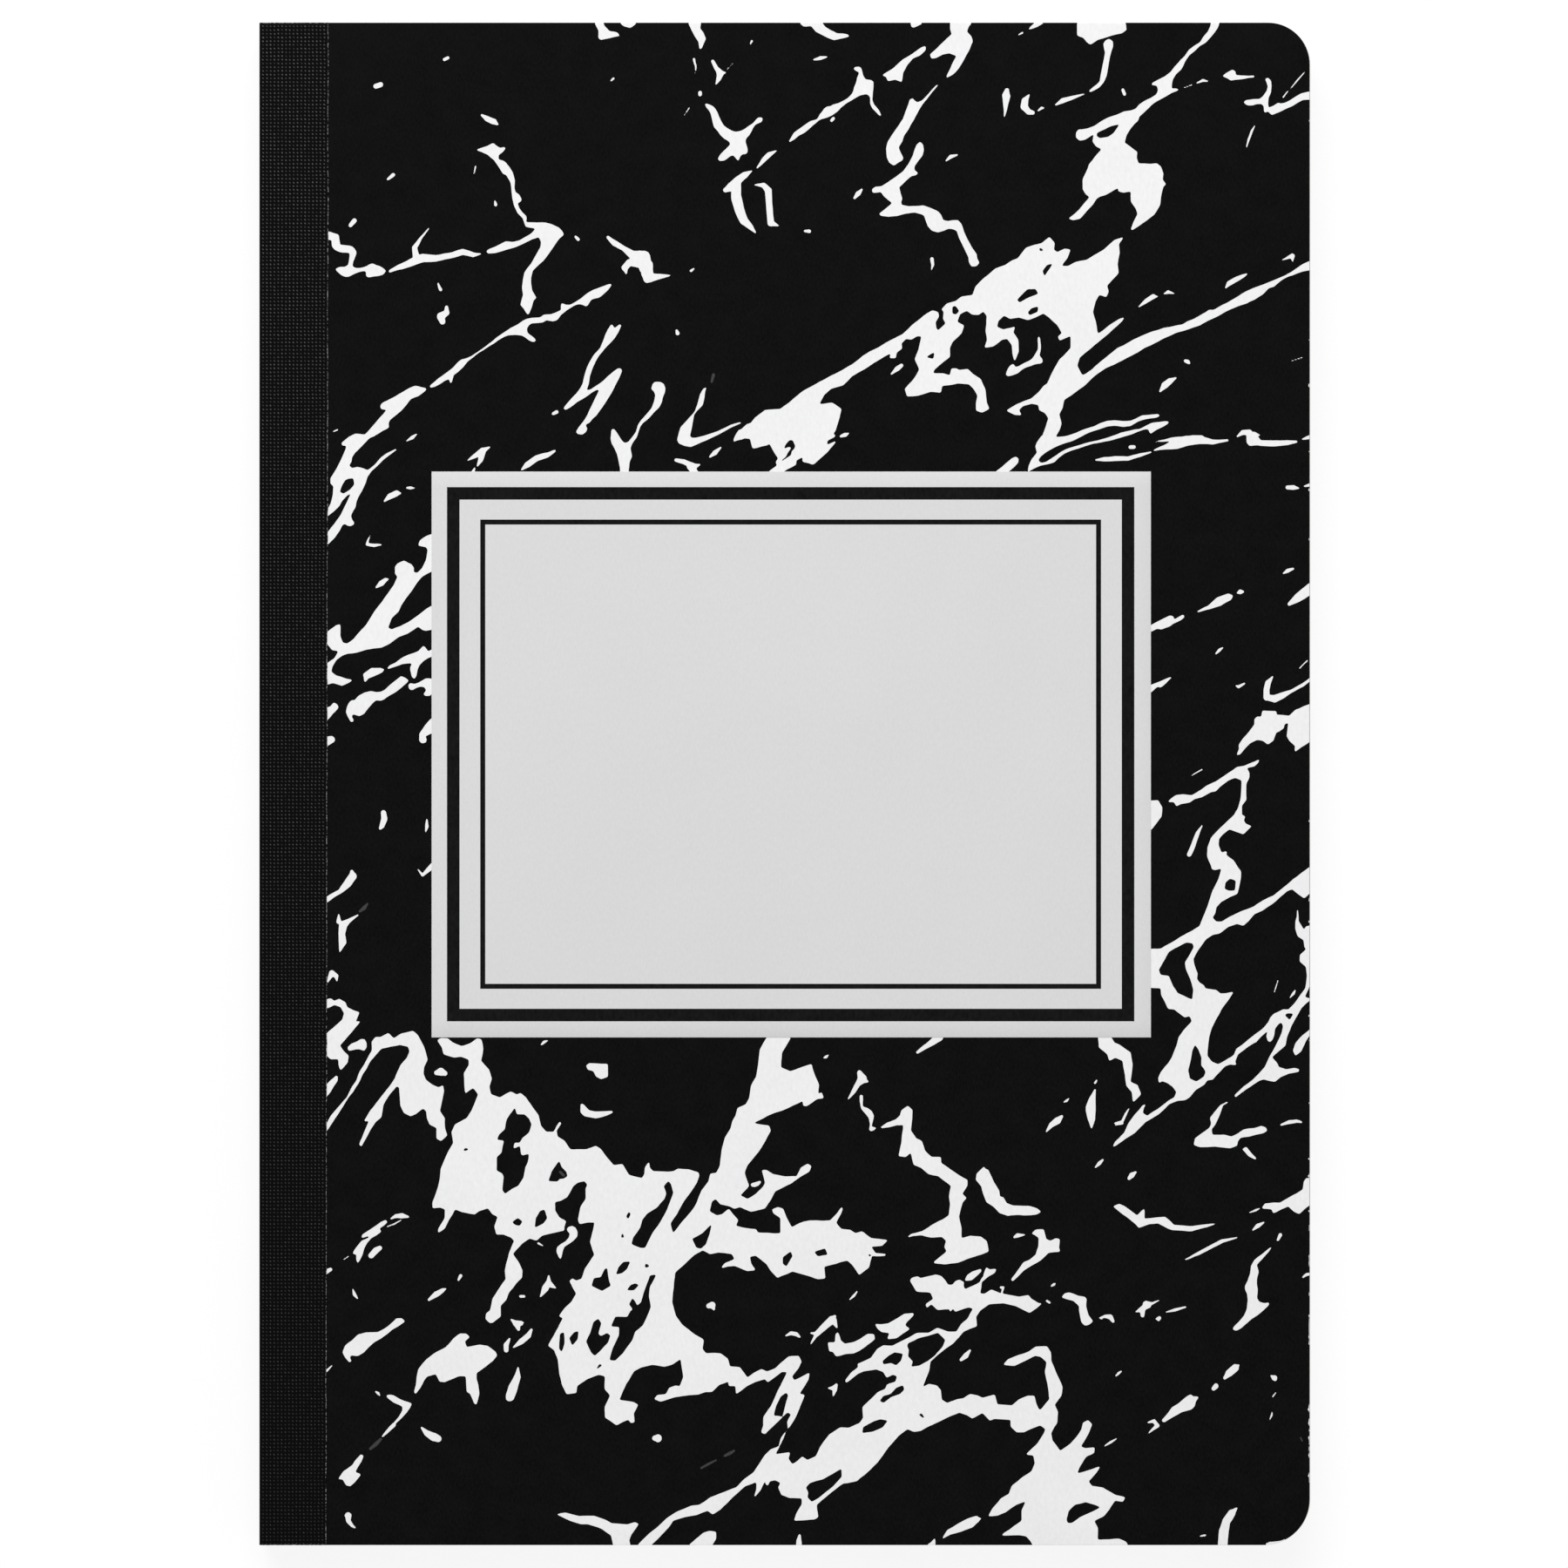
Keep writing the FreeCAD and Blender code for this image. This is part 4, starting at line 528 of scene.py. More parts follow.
TAIL_VEINS = [
    # Between the tape and the tall mass under the label
    [449, 1399, 1, 455, 1396, 2.4, 462, 1395.5, 3.2, 469, 1396.5, 1.3],
    [461, 1400.5, 0.8, 453, 1405, 1, 444, 1408.5, 0.8],
    [426, 1441, 3.5, 431, 1435, 3.8, 436, 1432, 2.5],
    [394, 1446, 0.7, 400, 1442, 0.8],
    [374, 1460, 3, 379, 1457, 2.4],
    [622, 1199, 1, 625, 1196, 1.8, 629, 1194, 0.8],
    [501, 1231, 3, 506, 1230, 4.8, 511, 1232, 3],
    [618, 1427, 1.4, 623, 1430, 0.8],
    [526, 1469, 1.3, 529, 1464, 2.1],
    [492, 1492, 1.5, 500, 1486, 3.4, 508, 1481, 2.5, 512, 1479, 0.7],
    [597, 1488, 1.8, 601, 1488, 1.8],
    [630, 1464, 1, 630, 1471, 3, 626, 1478, 4, 620, 1488, 0.8],
    [630, 1473, 4, 638, 1478, 0.8],
    [405, 1480, 0.8, 407, 1486, 2.2, 411, 1491, 0.8],
    [595, 1570, 1, 594, 1580, 4, 589, 1592, 5.5, 585, 1603, 5.5],
    [586, 1514, 0.7, 592, 1519, 3.5, 598, 1519, 3, 601, 1518, 0.8],
    [594, 1521, 4, 595, 1526, 2],
    [610, 1526, 1.6, 606, 1533, 3.2, 598, 1540, 3.5, 589, 1547, 0.9],
    [585, 1537, 1.2, 581, 1544, 3, 581, 1550, 2.8],
    [374, 1574, 1.5, 381, 1567, 0.8],
    [431, 1597, 1, 434, 1599, 1.8, 436, 1602, 0.6],
    [452, 1636, 2.5, 444, 1644, 2, 439, 1649, 0.9],
    [484, 1639, 1.2, 490, 1645, 3.5, 498, 1649, 5, 503, 1651, 4],
    [397, 1740, 1.5, 400, 1740, 3.8, 400, 1746, 2.8, 404, 1751, 2, 408, 1754, 0.8],
    [945, 1214, 0.8, 948, 1213, 2, 951, 1211, 0.7],
    [987, 1231, 3, 990, 1238, 5.5, 985, 1244, 3.2, 980, 1253, 2.6, 974, 1262, 0.8],
    [991, 1239, 4, 996, 1241, 1.5],
    [1012, 1294, 1, 1020, 1291, 3, 1030, 1288, 3.4, 1038, 1282, 4.5],
    [1053, 1208, 1.8, 1061, 1202, 2.8, 1070, 1196, 3.8, 1078, 1190, 5],
    [1201, 1299, 0.8, 1207, 1291, 3.2, 1214, 1286, 4.2, 1219, 1281, 1.8],
    [1221, 1265, 0.7, 1225, 1263, 1.6, 1228, 1260, 0.7],
    [1257, 1251, 1.2, 1254, 1262, 4, 1252, 1273, 6, 1253, 1284, 4.3, 1253, 1294, 1],
    [1257, 1243, 1.5, 1259, 1240, 1],
    [1279, 1289, 1, 1288, 1287, 1.6, 1292, 1279, 1.6, 1296, 1272, 0.7],
    [1288, 1289, 1.6, 1280, 1291, 1],
    [1257, 1340, 0.8, 1262, 1335, 2.2, 1266, 1331, 1.2],
    [1296, 1353, 2, 1299, 1349, 3.2, 1304, 1345, 1],
    [1164, 1420, 1.3, 1168, 1418, 2.6, 1176, 1417, 0.8],
    [1149, 1478, 1.5, 1152, 1478, 1.5, 1150, 1486, 1],
    [1207, 1476, 1, 1210, 1474, 1.6, 1212, 1473, 0.7],
    [1202, 1493, 1.5, 1205, 1495, 1.5],
    [1265, 1514, 1, 1262, 1513, 0.7, 1269, 1511, 2, 1275, 1512, 3, 1278, 1517, 1.8],
    [1328, 1514, 1.4, 1331, 1513, 2.3, 1330, 1516, 1.2],
    [1339, 1506, 0.8, 1349, 1503, 1.9, 1361, 1500, 1.1],
    [1316, 1494, 1.2, 1318, 1498, 4, 1309, 1504, 2.5, 1304, 1506, 0.8],
    [1316, 1497, 4, 1323, 1496, 1.5, 1331, 1492, 0.7],
    [1312, 1503, 3.5, 1312, 1510, 2.3],
    [1281, 1579, 1, 1284, 1576, 1.7, 1287, 1574, 1],
    [1268, 1660, 0.7, 1275, 1655, 1.6, 1282, 1651, 0.8],
    [1318, 1633, 1, 1325, 1631, 2.2, 1329, 1636, 2.5, 1323, 1641, 1.5, 1318, 1646, 0.6],
    [1393, 1594, 2.5, 1396, 1591, 3],
    [1406, 1582, 2, 1411, 1576, 4.5, 1418, 1570, 4.3, 1422, 1567, 1.2],
    [1459, 1579, 0.8, 1463, 1582, 3.3, 1464, 1584, 1.8],
    [1461, 1603, 1, 1465, 1598, 0.8],
    [1461, 1619, 0.6, 1460, 1624, 1.3, 1457, 1630, 0.7],
    [1427, 1319, 1, 1430, 1319, 2.8, 1435, 1325, 2.6, 1441, 1330, 1.3],
    [1471, 1291, 1.3, 1480, 1288, 2.3, 1488, 1287, 2, 1494, 1288, 1.2],
    [1434, 1392, 0.7, 1442, 1389, 1.4, 1446, 1387, 0.7],
    [1438, 1412, 0.9, 1444, 1407, 2.6, 1451, 1403, 0.9],
    [1467, 1423, 1.4, 1470, 1417, 2.2],
    [1361, 1445.5, 0.9, 1375, 1439, 2, 1390, 1431.5, 2.2, 1404, 1424.5, 2.1, 1420, 1420.5, 0.8],
    [1496, 1466, 1.2, 1500, 1463, 1.8, 1506, 1462, 1.6],
    [1378, 1763, 0.9, 1384, 1762, 1.3],
    [1420, 1731, 1, 1414, 1737, 4.5, 1408, 1746, 4.5, 1405, 1757, 5.5, 1403, 1778, 6],
    [814, 1499, 3, 818, 1498, 4, 820, 1503, 1.5],
    [975, 1492, 0.7, 980, 1487, 1.7, 984, 1482, 0.9],
    [902, 1533, 1, 908, 1530, 2.3, 914, 1531, 2.5, 918, 1534, 1.4],
    [931, 1530, 1, 938, 1531, 2.5, 931, 1543, 0.8],
    [938, 1531, 3.5, 948, 1521, 4, 955, 1515, 5, 958, 1511, 2],
    [957, 1516, 4, 961, 1524, 0.8],
    [951, 1593, 1, 956, 1593, 2.6, 960, 1589, 1.6, 958, 1595, 2.8, 956, 1602, 0.8],
    [752, 1651, 3.5, 755, 1651, 5],
    [918, 1762, 1.5, 917, 1768, 3, 917, 1778, 4],
    [1103, 1561, 1.8, 1109, 1556, 3.3, 1114, 1550, 1.2],
    [1083, 1765, 0.9, 1090, 1758, 3.5, 1102, 1753, 5, 1114, 1748, 5.5, 1121, 1744, 4, 1126, 1743, 1],
    [1060, 1778, 1, 1070, 1774, 4, 1073, 1767, 1],
]

TAIL_BLOTS = [
    # Left of the label's lower corner
    [427, 1199, 430, 1194, 440, 1188, 446, 1185, 452, 1191, 460, 1186, 474, 1183, 480, 1188, 487, 1202,
     490, 1212, 491, 1216, 487, 1224, 486, 1232, 489, 1239, 496, 1245, 503, 1248, 509, 1245, 510, 1252,
     507, 1264, 505, 1275, 511, 1283, 511, 1295, 514, 1303, 506, 1310, 501, 1307, 501, 1295, 493, 1291,
     490, 1284, 489, 1275, 486, 1272, 478, 1278, 471, 1281, 463, 1277, 459, 1269, 458, 1248, 455, 1247,
     447, 1257, 440, 1268, 438, 1282, 431, 1288, 423, 1301, 415, 1316, 412, 1314, 417, 1300, 423, 1286,
     416, 1288, 424, 1275, 440, 1255, 453, 1238, 460, 1222, 467, 1214, 470, 1206, 468, 1201, 459, 1199,
     446, 1202, 438, 1204, 433, 1210, 428, 1216, 422, 1215, 427, 1207],
    # The tall mass under the label's left part, joined to the wide one on its right
    [501, 1194, 506, 1191, 514, 1191, 520, 1196, 530, 1200, 540, 1197, 548, 1192, 553, 1193, 555, 1204,
     552, 1217, 559, 1224, 562, 1227, 565, 1238, 562, 1247, 564, 1256, 574, 1260, 580, 1256, 586, 1253,
     593, 1256, 598, 1254, 604, 1259, 611, 1270, 618, 1280, 621, 1292, 627, 1299, 635, 1299, 639, 1292,
     643, 1286, 645, 1289, 639, 1298, 640, 1304, 648, 1309, 655, 1319, 673, 1319, 684, 1315, 690, 1319,
     697, 1329, 704, 1337, 715, 1336, 722, 1348, 737, 1352, 740, 1347, 740, 1340, 745, 1332, 746, 1340,
     750, 1344, 765, 1345, 773, 1344, 778, 1341, 790, 1342, 802, 1346, 803, 1350, 800, 1358, 788, 1375,
     778, 1392, 770, 1404, 773, 1415, 783, 1402, 797, 1386, 800, 1380, 805, 1366, 813, 1356, 815, 1347,
     822, 1346, 826, 1338, 828, 1320, 832, 1305, 838, 1295, 840, 1287, 844, 1281, 846, 1272, 856, 1267,
     860, 1260, 862, 1246, 868, 1236, 870, 1222, 872, 1205, 880, 1190, 909, 1190, 898, 1208, 897, 1225,
     907, 1229, 932, 1221, 936, 1235, 940, 1245, 939, 1256, 943, 1253, 946, 1261, 938, 1262, 926, 1270,
     922, 1270, 921, 1264, 900, 1274, 880, 1282, 865, 1289, 883, 1292, 885, 1298, 878, 1311, 870, 1324,
     858, 1337, 855, 1346, 860, 1361, 850, 1372, 858, 1376, 868, 1370, 876, 1362, 878, 1358, 874, 1343,
     880, 1343, 888, 1348, 900, 1350, 914, 1350, 919, 1340, 927, 1335, 932, 1338, 929, 1345, 918, 1351,
     908, 1359, 890, 1367, 884, 1379, 878, 1387, 862, 1391, 850, 1386, 843, 1388, 838, 1385, 827, 1382,
     822, 1376, 818, 1379, 815, 1390, 823, 1395, 829, 1394, 837, 1387, 841, 1393, 848, 1400, 845, 1407,
     868, 1411, 870, 1415, 896, 1415, 896, 1398, 888, 1393, 886, 1388, 893, 1385, 899, 1387, 903, 1397,
     909, 1408, 918, 1403, 930, 1400, 953, 1401, 960, 1394, 967, 1384, 968, 1388, 960, 1404, 966, 1410,
     976, 1411, 982, 1415, 990, 1413, 1000, 1421, 1020, 1423, 1013, 1430, 1000, 1431, 1005, 1438, 1018,
     1439, 1016, 1442, 1001, 1442, 998, 1455, 986, 1464, 978, 1452, 972, 1447, 946, 1454, 948, 1467, 939,
     1468, 910, 1460, 892, 1467, 885, 1459, 880, 1451, 868, 1441, 861, 1442, 863, 1450, 868, 1458, 858,
     1459, 843, 1453, 835, 1454, 826, 1457, 832, 1450, 843, 1445, 840, 1440, 825, 1438, 815, 1440, 806,
     1435, 797, 1441, 787, 1450, 775, 1461, 773, 1480, 772, 1496, 776, 1510, 783, 1520, 795, 1530, 808,
     1538, 807, 1548, 811, 1553, 828, 1553, 836, 1559, 838, 1568, 850, 1569, 854, 1575, 858, 1581, 866,
     1575, 874, 1571, 880, 1574, 889, 1570, 905, 1557, 917, 1556, 921, 1563, 917, 1571, 909, 1580, 911,
     1584, 930, 1575, 928, 1583, 918, 1600, 924, 1601, 918, 1617, 911, 1632, 902, 1645, 891, 1669, 907,
     1666, 905, 1674, 909, 1680, 915, 1677, 921, 1672, 927, 1676, 936, 1671, 941, 1661, 952, 1646, 964,
     1638, 975, 1638, 987, 1633, 991, 1627, 990, 1615, 999, 1606, 1008, 1597, 1016, 1594, 1018, 1589,
     1028, 1586, 1030, 1580, 1026, 1578, 1018, 1582, 1014, 1575, 1006, 1572, 992, 1574, 985, 1577, 970,
     1588, 970, 1583, 978, 1574, 985, 1569, 984, 1565, 1000, 1558, 1007, 1548, 1014, 1544, 1025, 1544,
     1040, 1536, 1052, 1530, 1066, 1530, 1076, 1524, 1088, 1528, 1098, 1528, 1103, 1520, 1110, 1514,
     1117, 1502, 1112, 1501, 1096, 1506, 1094, 1502, 1089, 1509, 1090, 1503, 1076, 1503, 1069, 1497,
     1063, 1502, 1062, 1497, 1071, 1491, 1068, 1484, 1052, 1483, 1044, 1470, 1046, 1467, 1054, 1465,
     1057, 1467, 1074, 1463, 1081, 1465, 1084, 1468, 1088, 1474, 1093, 1474, 1096, 1470, 1101, 1468,
     1107, 1471, 1107, 1478, 1124, 1472, 1129, 1462, 1132, 1454, 1136, 1457, 1145, 1456, 1142, 1461,
     1134, 1466, 1127, 1472, 1125, 1485, 1130, 1485, 1138, 1480, 1148, 1484, 1158, 1486, 1170, 1488,
     1181, 1486, 1184, 1490, 1193, 1496, 1199, 1495, 1190, 1502, 1182, 1507, 1176, 1504, 1166, 1499,
     1152, 1496, 1135, 1497, 1126, 1504, 1121, 1511, 1122, 1522, 1106, 1529, 1095, 1541, 1075, 1557,
     1068, 1563, 1067, 1572, 1062, 1586, 1059, 1592, 1066, 1588, 1075, 1590, 1080, 1595, 1081, 1606,
     1087, 1610, 1099, 1606, 1106, 1605, 1114, 1600, 1122, 1601, 1128, 1604, 1142, 1600, 1145, 1612,
     1162, 1613, 1170, 1606, 1180, 1602, 1188, 1602, 1190, 1612, 1193, 1619, 1205, 1606, 1202, 1588,
     1199, 1574, 1201, 1563, 1194, 1557, 1188, 1556, 1178, 1562, 1164, 1568, 1151, 1567, 1157, 1560,
     1170, 1555, 1181, 1551, 1189, 1545, 1202, 1545, 1206, 1552, 1207, 1562, 1213, 1577, 1220, 1592,
     1219, 1602, 1211, 1612, 1215, 1621, 1214, 1633, 1207, 1645, 1208, 1653, 1217, 1665, 1229, 1657,
     1235, 1650, 1241, 1641, 1243, 1633, 1249, 1630, 1254, 1635, 1250, 1645, 1241, 1660, 1246, 1662,
     1257, 1661, 1256, 1668, 1248, 1672, 1240, 1683, 1237, 1691, 1249, 1687, 1264, 1682, 1258, 1691,
     1250, 1700, 1254, 1705, 1266, 1707, 1280, 1715, 1292, 1718, 1289, 1724, 1280, 1722, 1273, 1733,
     1267, 1740, 1256, 1746, 1260, 1754, 1260, 1767, 1285, 1766, 1293, 1769, 1299, 1778, 1188, 1778,
     1183, 1769, 1178, 1763, 1170, 1762, 1162, 1762, 1148, 1763, 1160, 1754, 1173, 1745, 1173, 1733,
     1178, 1723, 1168, 1727, 1155, 1736, 1146, 1740, 1134, 1741, 1139, 1732, 1148, 1720, 1158, 1715,
     1161, 1706, 1172, 1696, 1184, 1689, 1188, 1680, 1186, 1671, 1177, 1670, 1189, 1658, 1198, 1645,
     1200, 1640, 1194, 1636, 1185, 1640, 1176, 1644, 1167, 1644, 1160, 1637, 1160, 1630, 1141, 1629,
     1136, 1631, 1128, 1622, 1116, 1628, 1110, 1624, 1101, 1621, 1084, 1629, 1067, 1637, 1057, 1643,
     1049, 1644, 1042, 1641, 1032, 1648, 1020, 1661, 1008, 1679, 998, 1688, 984, 1700, 968, 1703, 958,
     1710, 938, 1727, 938, 1733, 939, 1741, 935, 1744, 911, 1746, 914, 1737, 920, 1727, 920, 1720, 906,
     1720, 897, 1716, 893, 1707, 896, 1702, 890, 1699, 884, 1700, 882, 1705, 879, 1704, 878, 1699, 873,
     1710, 864, 1722, 868, 1709, 868, 1701, 856, 1706, 842, 1718, 827, 1733, 818, 1738, 812, 1734, 800,
     1739, 786, 1742, 773, 1746, 768, 1753, 743, 1778, 728, 1778, 745, 1760, 765, 1743, 778, 1735, 793,
     1728, 802, 1727, 815, 1719, 830, 1713, 845, 1707, 854, 1698, 865, 1690, 872, 1679, 878, 1670, 885,
     1663, 893, 1660, 896, 1650, 904, 1639, 903, 1632, 908, 1623, 904, 1621, 897, 1628, 888, 1637, 878,
     1646, 873, 1644, 876, 1636, 876, 1626, 884, 1615, 891, 1599, 899, 1583, 903, 1575, 897, 1575, 881,
     1587, 878, 1583, 868, 1586, 858, 1591, 845, 1601, 844, 1591, 836, 1591, 836, 1586, 826, 1590, 817,
     1598, 810, 1598, 802, 1601, 790, 1601, 775, 1604, 758, 1609, 750, 1606, 754, 1601, 764, 1600, 768,
     1593, 776, 1590, 780, 1591, 784, 1581, 781, 1560, 772, 1566, 762, 1569, 748, 1567, 736, 1569, 728,
     1574, 719, 1588, 713, 1604, 711, 1607, 728, 1609, 733, 1612, 728, 1622, 729, 1633, 724, 1634, 721,
     1630, 708, 1636, 694, 1627, 694, 1615, 700, 1602, 694, 1595, 694, 1580, 687, 1578, 674, 1583, 663,
     1591, 662, 1599, 650, 1600, 645, 1590, 642, 1578, 640, 1560, 636, 1550, 629, 1545, 636, 1532, 646,
     1513, 641, 1511, 648, 1501, 656, 1494, 661, 1485, 653, 1470, 657, 1467, 661, 1470, 667, 1468, 671,
     1456, 682, 1440, 677, 1425, 681, 1410, 682, 1403, 675, 1403, 665, 1405, 663, 1400, 666, 1385, 672,
     1376, 672, 1364, 674, 1360, 671, 1356, 663, 1358, 658, 1362, 651, 1374, 644, 1378, 637, 1380, 637,
     1389, 642, 1397, 650, 1401, 648, 1408, 648, 1413, 632, 1416, 623, 1418, 616, 1424, 608, 1422, 599,
     1428, 589, 1439, 595, 1448, 600, 1458, 600, 1466, 592, 1474, 584, 1484, 581, 1492, 575, 1499, 575,
     1511, 566, 1519, 562, 1519, 557, 1514, 558, 1507, 562, 1504, 565, 1490, 575, 1475, 580, 1468, 579,
     1458, 583, 1444, 584, 1438, 590, 1424, 586, 1420, 578, 1417, 569, 1417, 567, 1408, 571, 1397, 565,
     1394, 560, 1387, 550, 1390, 545, 1394, 530, 1391, 523, 1388, 518, 1397, 511, 1410, 502, 1416, 503,
     1410, 511, 1398, 511, 1388, 505, 1386, 496, 1387, 496, 1380, 502, 1364, 505, 1352, 506, 1341, 514,
     1322, 520, 1312, 519, 1304, 518, 1299, 522, 1290, 535, 1283, 541, 1274, 548, 1256, 543, 1249, 534,
     1256, 533, 1243, 532, 1231, 538, 1222, 538, 1216, 530, 1213, 522, 1214, 509, 1210, 507, 1202],
    [672, 1223, 676, 1220, 690, 1221, 698, 1221, 698, 1236, 690, 1239, 684, 1236, 681, 1230, 674, 1228],
    [1035, 1274, 1042, 1269, 1048, 1274, 1048, 1283, 1046, 1297, 1052, 1306, 1058, 1309, 1062, 1320,
     1070, 1328, 1081, 1328, 1081, 1335, 1092, 1343, 1101, 1349, 1111, 1354, 1111, 1361, 1105, 1370,
     1110, 1375, 1105, 1380, 1101, 1396, 1104, 1410, 1104, 1421, 1114, 1418, 1126, 1419, 1133, 1424,
     1135, 1437, 1128, 1440, 1110, 1445, 1100, 1449, 1085, 1451, 1070, 1450, 1082, 1440, 1087, 1436,
     1084, 1431, 1086, 1424, 1081, 1420, 1070, 1421, 1058, 1418, 1048, 1419, 1037, 1423, 1046, 1416,
     1059, 1413, 1070, 1406, 1082, 1400, 1089, 1395, 1090, 1383, 1089, 1373, 1092, 1361, 1083, 1355,
     1077, 1350, 1066, 1348, 1058, 1341, 1049, 1337, 1046, 1323, 1040, 1328, 1031, 1327, 1035, 1311,
     1037, 1291, 1030, 1292],
    [1130, 1338, 1131, 1341, 1135, 1342, 1141, 1357, 1147, 1367, 1148, 1373, 1152, 1374, 1156, 1381,
     1163, 1384, 1182, 1384, 1190, 1387, 1196, 1391, 1190, 1394, 1183, 1395, 1161, 1395, 1157, 1396,
     1147, 1392, 1140, 1385, 1132, 1380, 1129, 1372, 1127, 1362, 1120, 1354, 1121, 1347, 1126, 1342],
    [1183, 1416, 1189, 1411, 1198, 1411, 1201, 1422, 1206, 1424, 1212, 1421, 1217, 1422, 1216, 1432,
     1218, 1437, 1204, 1438, 1194, 1447, 1176, 1458, 1162, 1471, 1160, 1468, 1169, 1457, 1175, 1449,
     1182, 1446, 1189, 1440, 1192, 1430, 1192, 1421, 1188, 1418],
    [1107, 1470, 1110, 1463, 1116, 1459, 1127, 1456, 1126, 1462, 1117, 1469],
    [1260, 1190, 1261, 1202, 1271, 1210, 1273, 1218, 1280, 1214, 1288, 1218, 1291, 1234, 1293, 1246,
     1299, 1253, 1300, 1266, 1310, 1256, 1306, 1245, 1298, 1241, 1300, 1222, 1298, 1208, 1291, 1203,
     1286, 1199, 1280, 1197, 1276, 1190],
    [1413, 1264, 1404, 1269, 1400, 1281, 1395, 1291, 1391, 1296, 1392, 1302, 1405, 1302, 1413, 1304,
     1420, 1301, 1428, 1296, 1440, 1295, 1448, 1292, 1453, 1294, 1455, 1298, 1450, 1301, 1432, 1305,
     1424, 1306, 1421, 1310, 1420, 1315, 1412, 1318, 1395, 1316, 1378, 1317, 1370, 1314, 1372, 1306,
     1380, 1300, 1388, 1294, 1390, 1290, 1389, 1283, 1394, 1276, 1401, 1268, 1408, 1264],
    [1277, 1384, 1285, 1381, 1291, 1384, 1300, 1391, 1305, 1395, 1314, 1386, 1314, 1399, 1325, 1397,
     1338, 1396, 1342, 1400, 1348, 1406, 1370, 1407, 1385, 1405, 1398, 1404, 1396, 1406, 1380, 1410,
     1368, 1413, 1345, 1412, 1340, 1410, 1330, 1404, 1320, 1405, 1307, 1410, 1303, 1405, 1290, 1395],
    [1506, 1356, 1500, 1351, 1496, 1356, 1495, 1365, 1488, 1370, 1479, 1375, 1470, 1380, 1462, 1380,
     1452, 1381, 1448, 1387, 1460, 1388, 1462, 1393, 1470, 1389, 1479, 1385, 1485, 1391, 1491, 1394,
     1498, 1388, 1506, 1382],
    [1218, 1489, 1222, 1484, 1227, 1483, 1238, 1487, 1246, 1488, 1248, 1491, 1247, 1499, 1250, 1510,
     1255, 1517, 1250, 1521, 1245, 1522, 1241, 1518, 1239, 1505, 1239, 1499, 1232, 1493],
    [1333, 1630, 1341, 1621, 1345, 1615, 1352, 1611, 1362, 1603, 1367, 1600, 1370, 1603, 1377, 1603,
     1373, 1609, 1372, 1614, 1368, 1618, 1357, 1621, 1346, 1627, 1336, 1633],
    [1003, 1519, 1010, 1520, 1020, 1519, 1029, 1514, 1038, 1508, 1049, 1507, 1049, 1510, 1041, 1518,
     1039, 1522, 1045, 1525, 1036, 1531, 1029, 1536, 1018, 1537, 1021, 1530, 1012, 1529, 1007, 1525],
    [950, 1540, 958, 1540, 959, 1531, 962, 1528, 965, 1538, 970, 1542, 980, 1540, 987, 1537, 996, 1531,
     1004, 1531, 1005, 1537, 1000, 1541, 987, 1550, 980, 1553, 970, 1554, 960, 1557, 956, 1551, 952,
     1551],
    # The two long figures right of the tape
    [455, 1513, 462, 1513, 466, 1517, 458, 1522, 450, 1526, 438, 1536, 430, 1541, 424, 1546, 418, 1553,
     411, 1557, 403, 1556, 402, 1559, 404, 1562, 401, 1564, 396, 1558, 393, 1552, 396, 1544, 401, 1540,
     405, 1537, 411, 1531, 420, 1529, 434, 1529, 446, 1521],
    [475, 1598, 477, 1590, 478, 1580, 480, 1572, 489, 1560, 498, 1553, 511, 1546, 520, 1536, 528, 1530,
     535, 1530, 540, 1534, 534, 1539, 536, 1546, 551, 1543, 560, 1545, 569, 1552, 571, 1556, 566, 1562,
     547, 1576, 547, 1583, 549, 1590, 550, 1600, 547, 1613, 544, 1611, 539, 1600, 535, 1598, 534, 1580,
     527, 1580, 511, 1587, 504, 1586, 500, 1577, 490, 1580, 487, 1584, 482, 1594, 477, 1601],
    [418, 1670, 415, 1678, 410, 1686, 408, 1690, 415, 1692, 408, 1701, 402, 1706, 397, 1705, 393, 1698,
     387, 1698, 394, 1689, 404, 1682, 408, 1676, 414, 1669],
    # The foot of the cover
    [636, 1738, 649, 1736, 665, 1740, 682, 1740, 694, 1744, 702, 1748, 720, 1750, 729, 1747, 734, 1749,
     725, 1762, 723, 1768, 726, 1778, 705, 1778, 701, 1762, 691, 1755, 675, 1750, 667, 1750, 655, 1746,
     644, 1741],
    [785, 1778, 795, 1769, 807, 1759, 815, 1757, 822, 1758, 822, 1766, 815, 1778],
    # The thin stroke that runs down to the tape beside the tall mass
    [431, 1190, 426.5, 1196, 427.5, 1205, 423, 1212.5, 419, 1220.5, 413, 1230, 408.5, 1240, 404, 1247,
     398.5, 1258, 390, 1268, 384, 1275, 379.5, 1281, 376, 1287, 370, 1298, 370, 1304, 377, 1296, 380,
     1291, 386, 1282, 393, 1271, 400, 1260, 406, 1252, 412, 1242, 417, 1233, 421, 1227, 425, 1219, 428,
     1215, 433, 1208, 437, 1204, 446, 1200, 446, 1190],
    # Small figures to the left, below the label and to the right
    [443.5, 1400, 445.5, 1403, 441, 1407, 436, 1410, 438, 1413.5, 433, 1417.5, 427, 1421, 422, 1426, 418,
     1433, 416, 1441, 413, 1447, 410.5, 1451, 409, 1445, 409, 1440, 404.5, 1440, 405, 1437, 409, 1431,
     415, 1424, 424, 1420, 423, 1418.5, 419, 1420, 414, 1421.5, 416, 1417, 422, 1413, 430, 1408, 437,
     1403],
    [442.5, 1602, 446, 1601, 452, 1601.5, 460, 1606, 468, 1609, 473, 1611, 471, 1616, 467, 1622, 462,
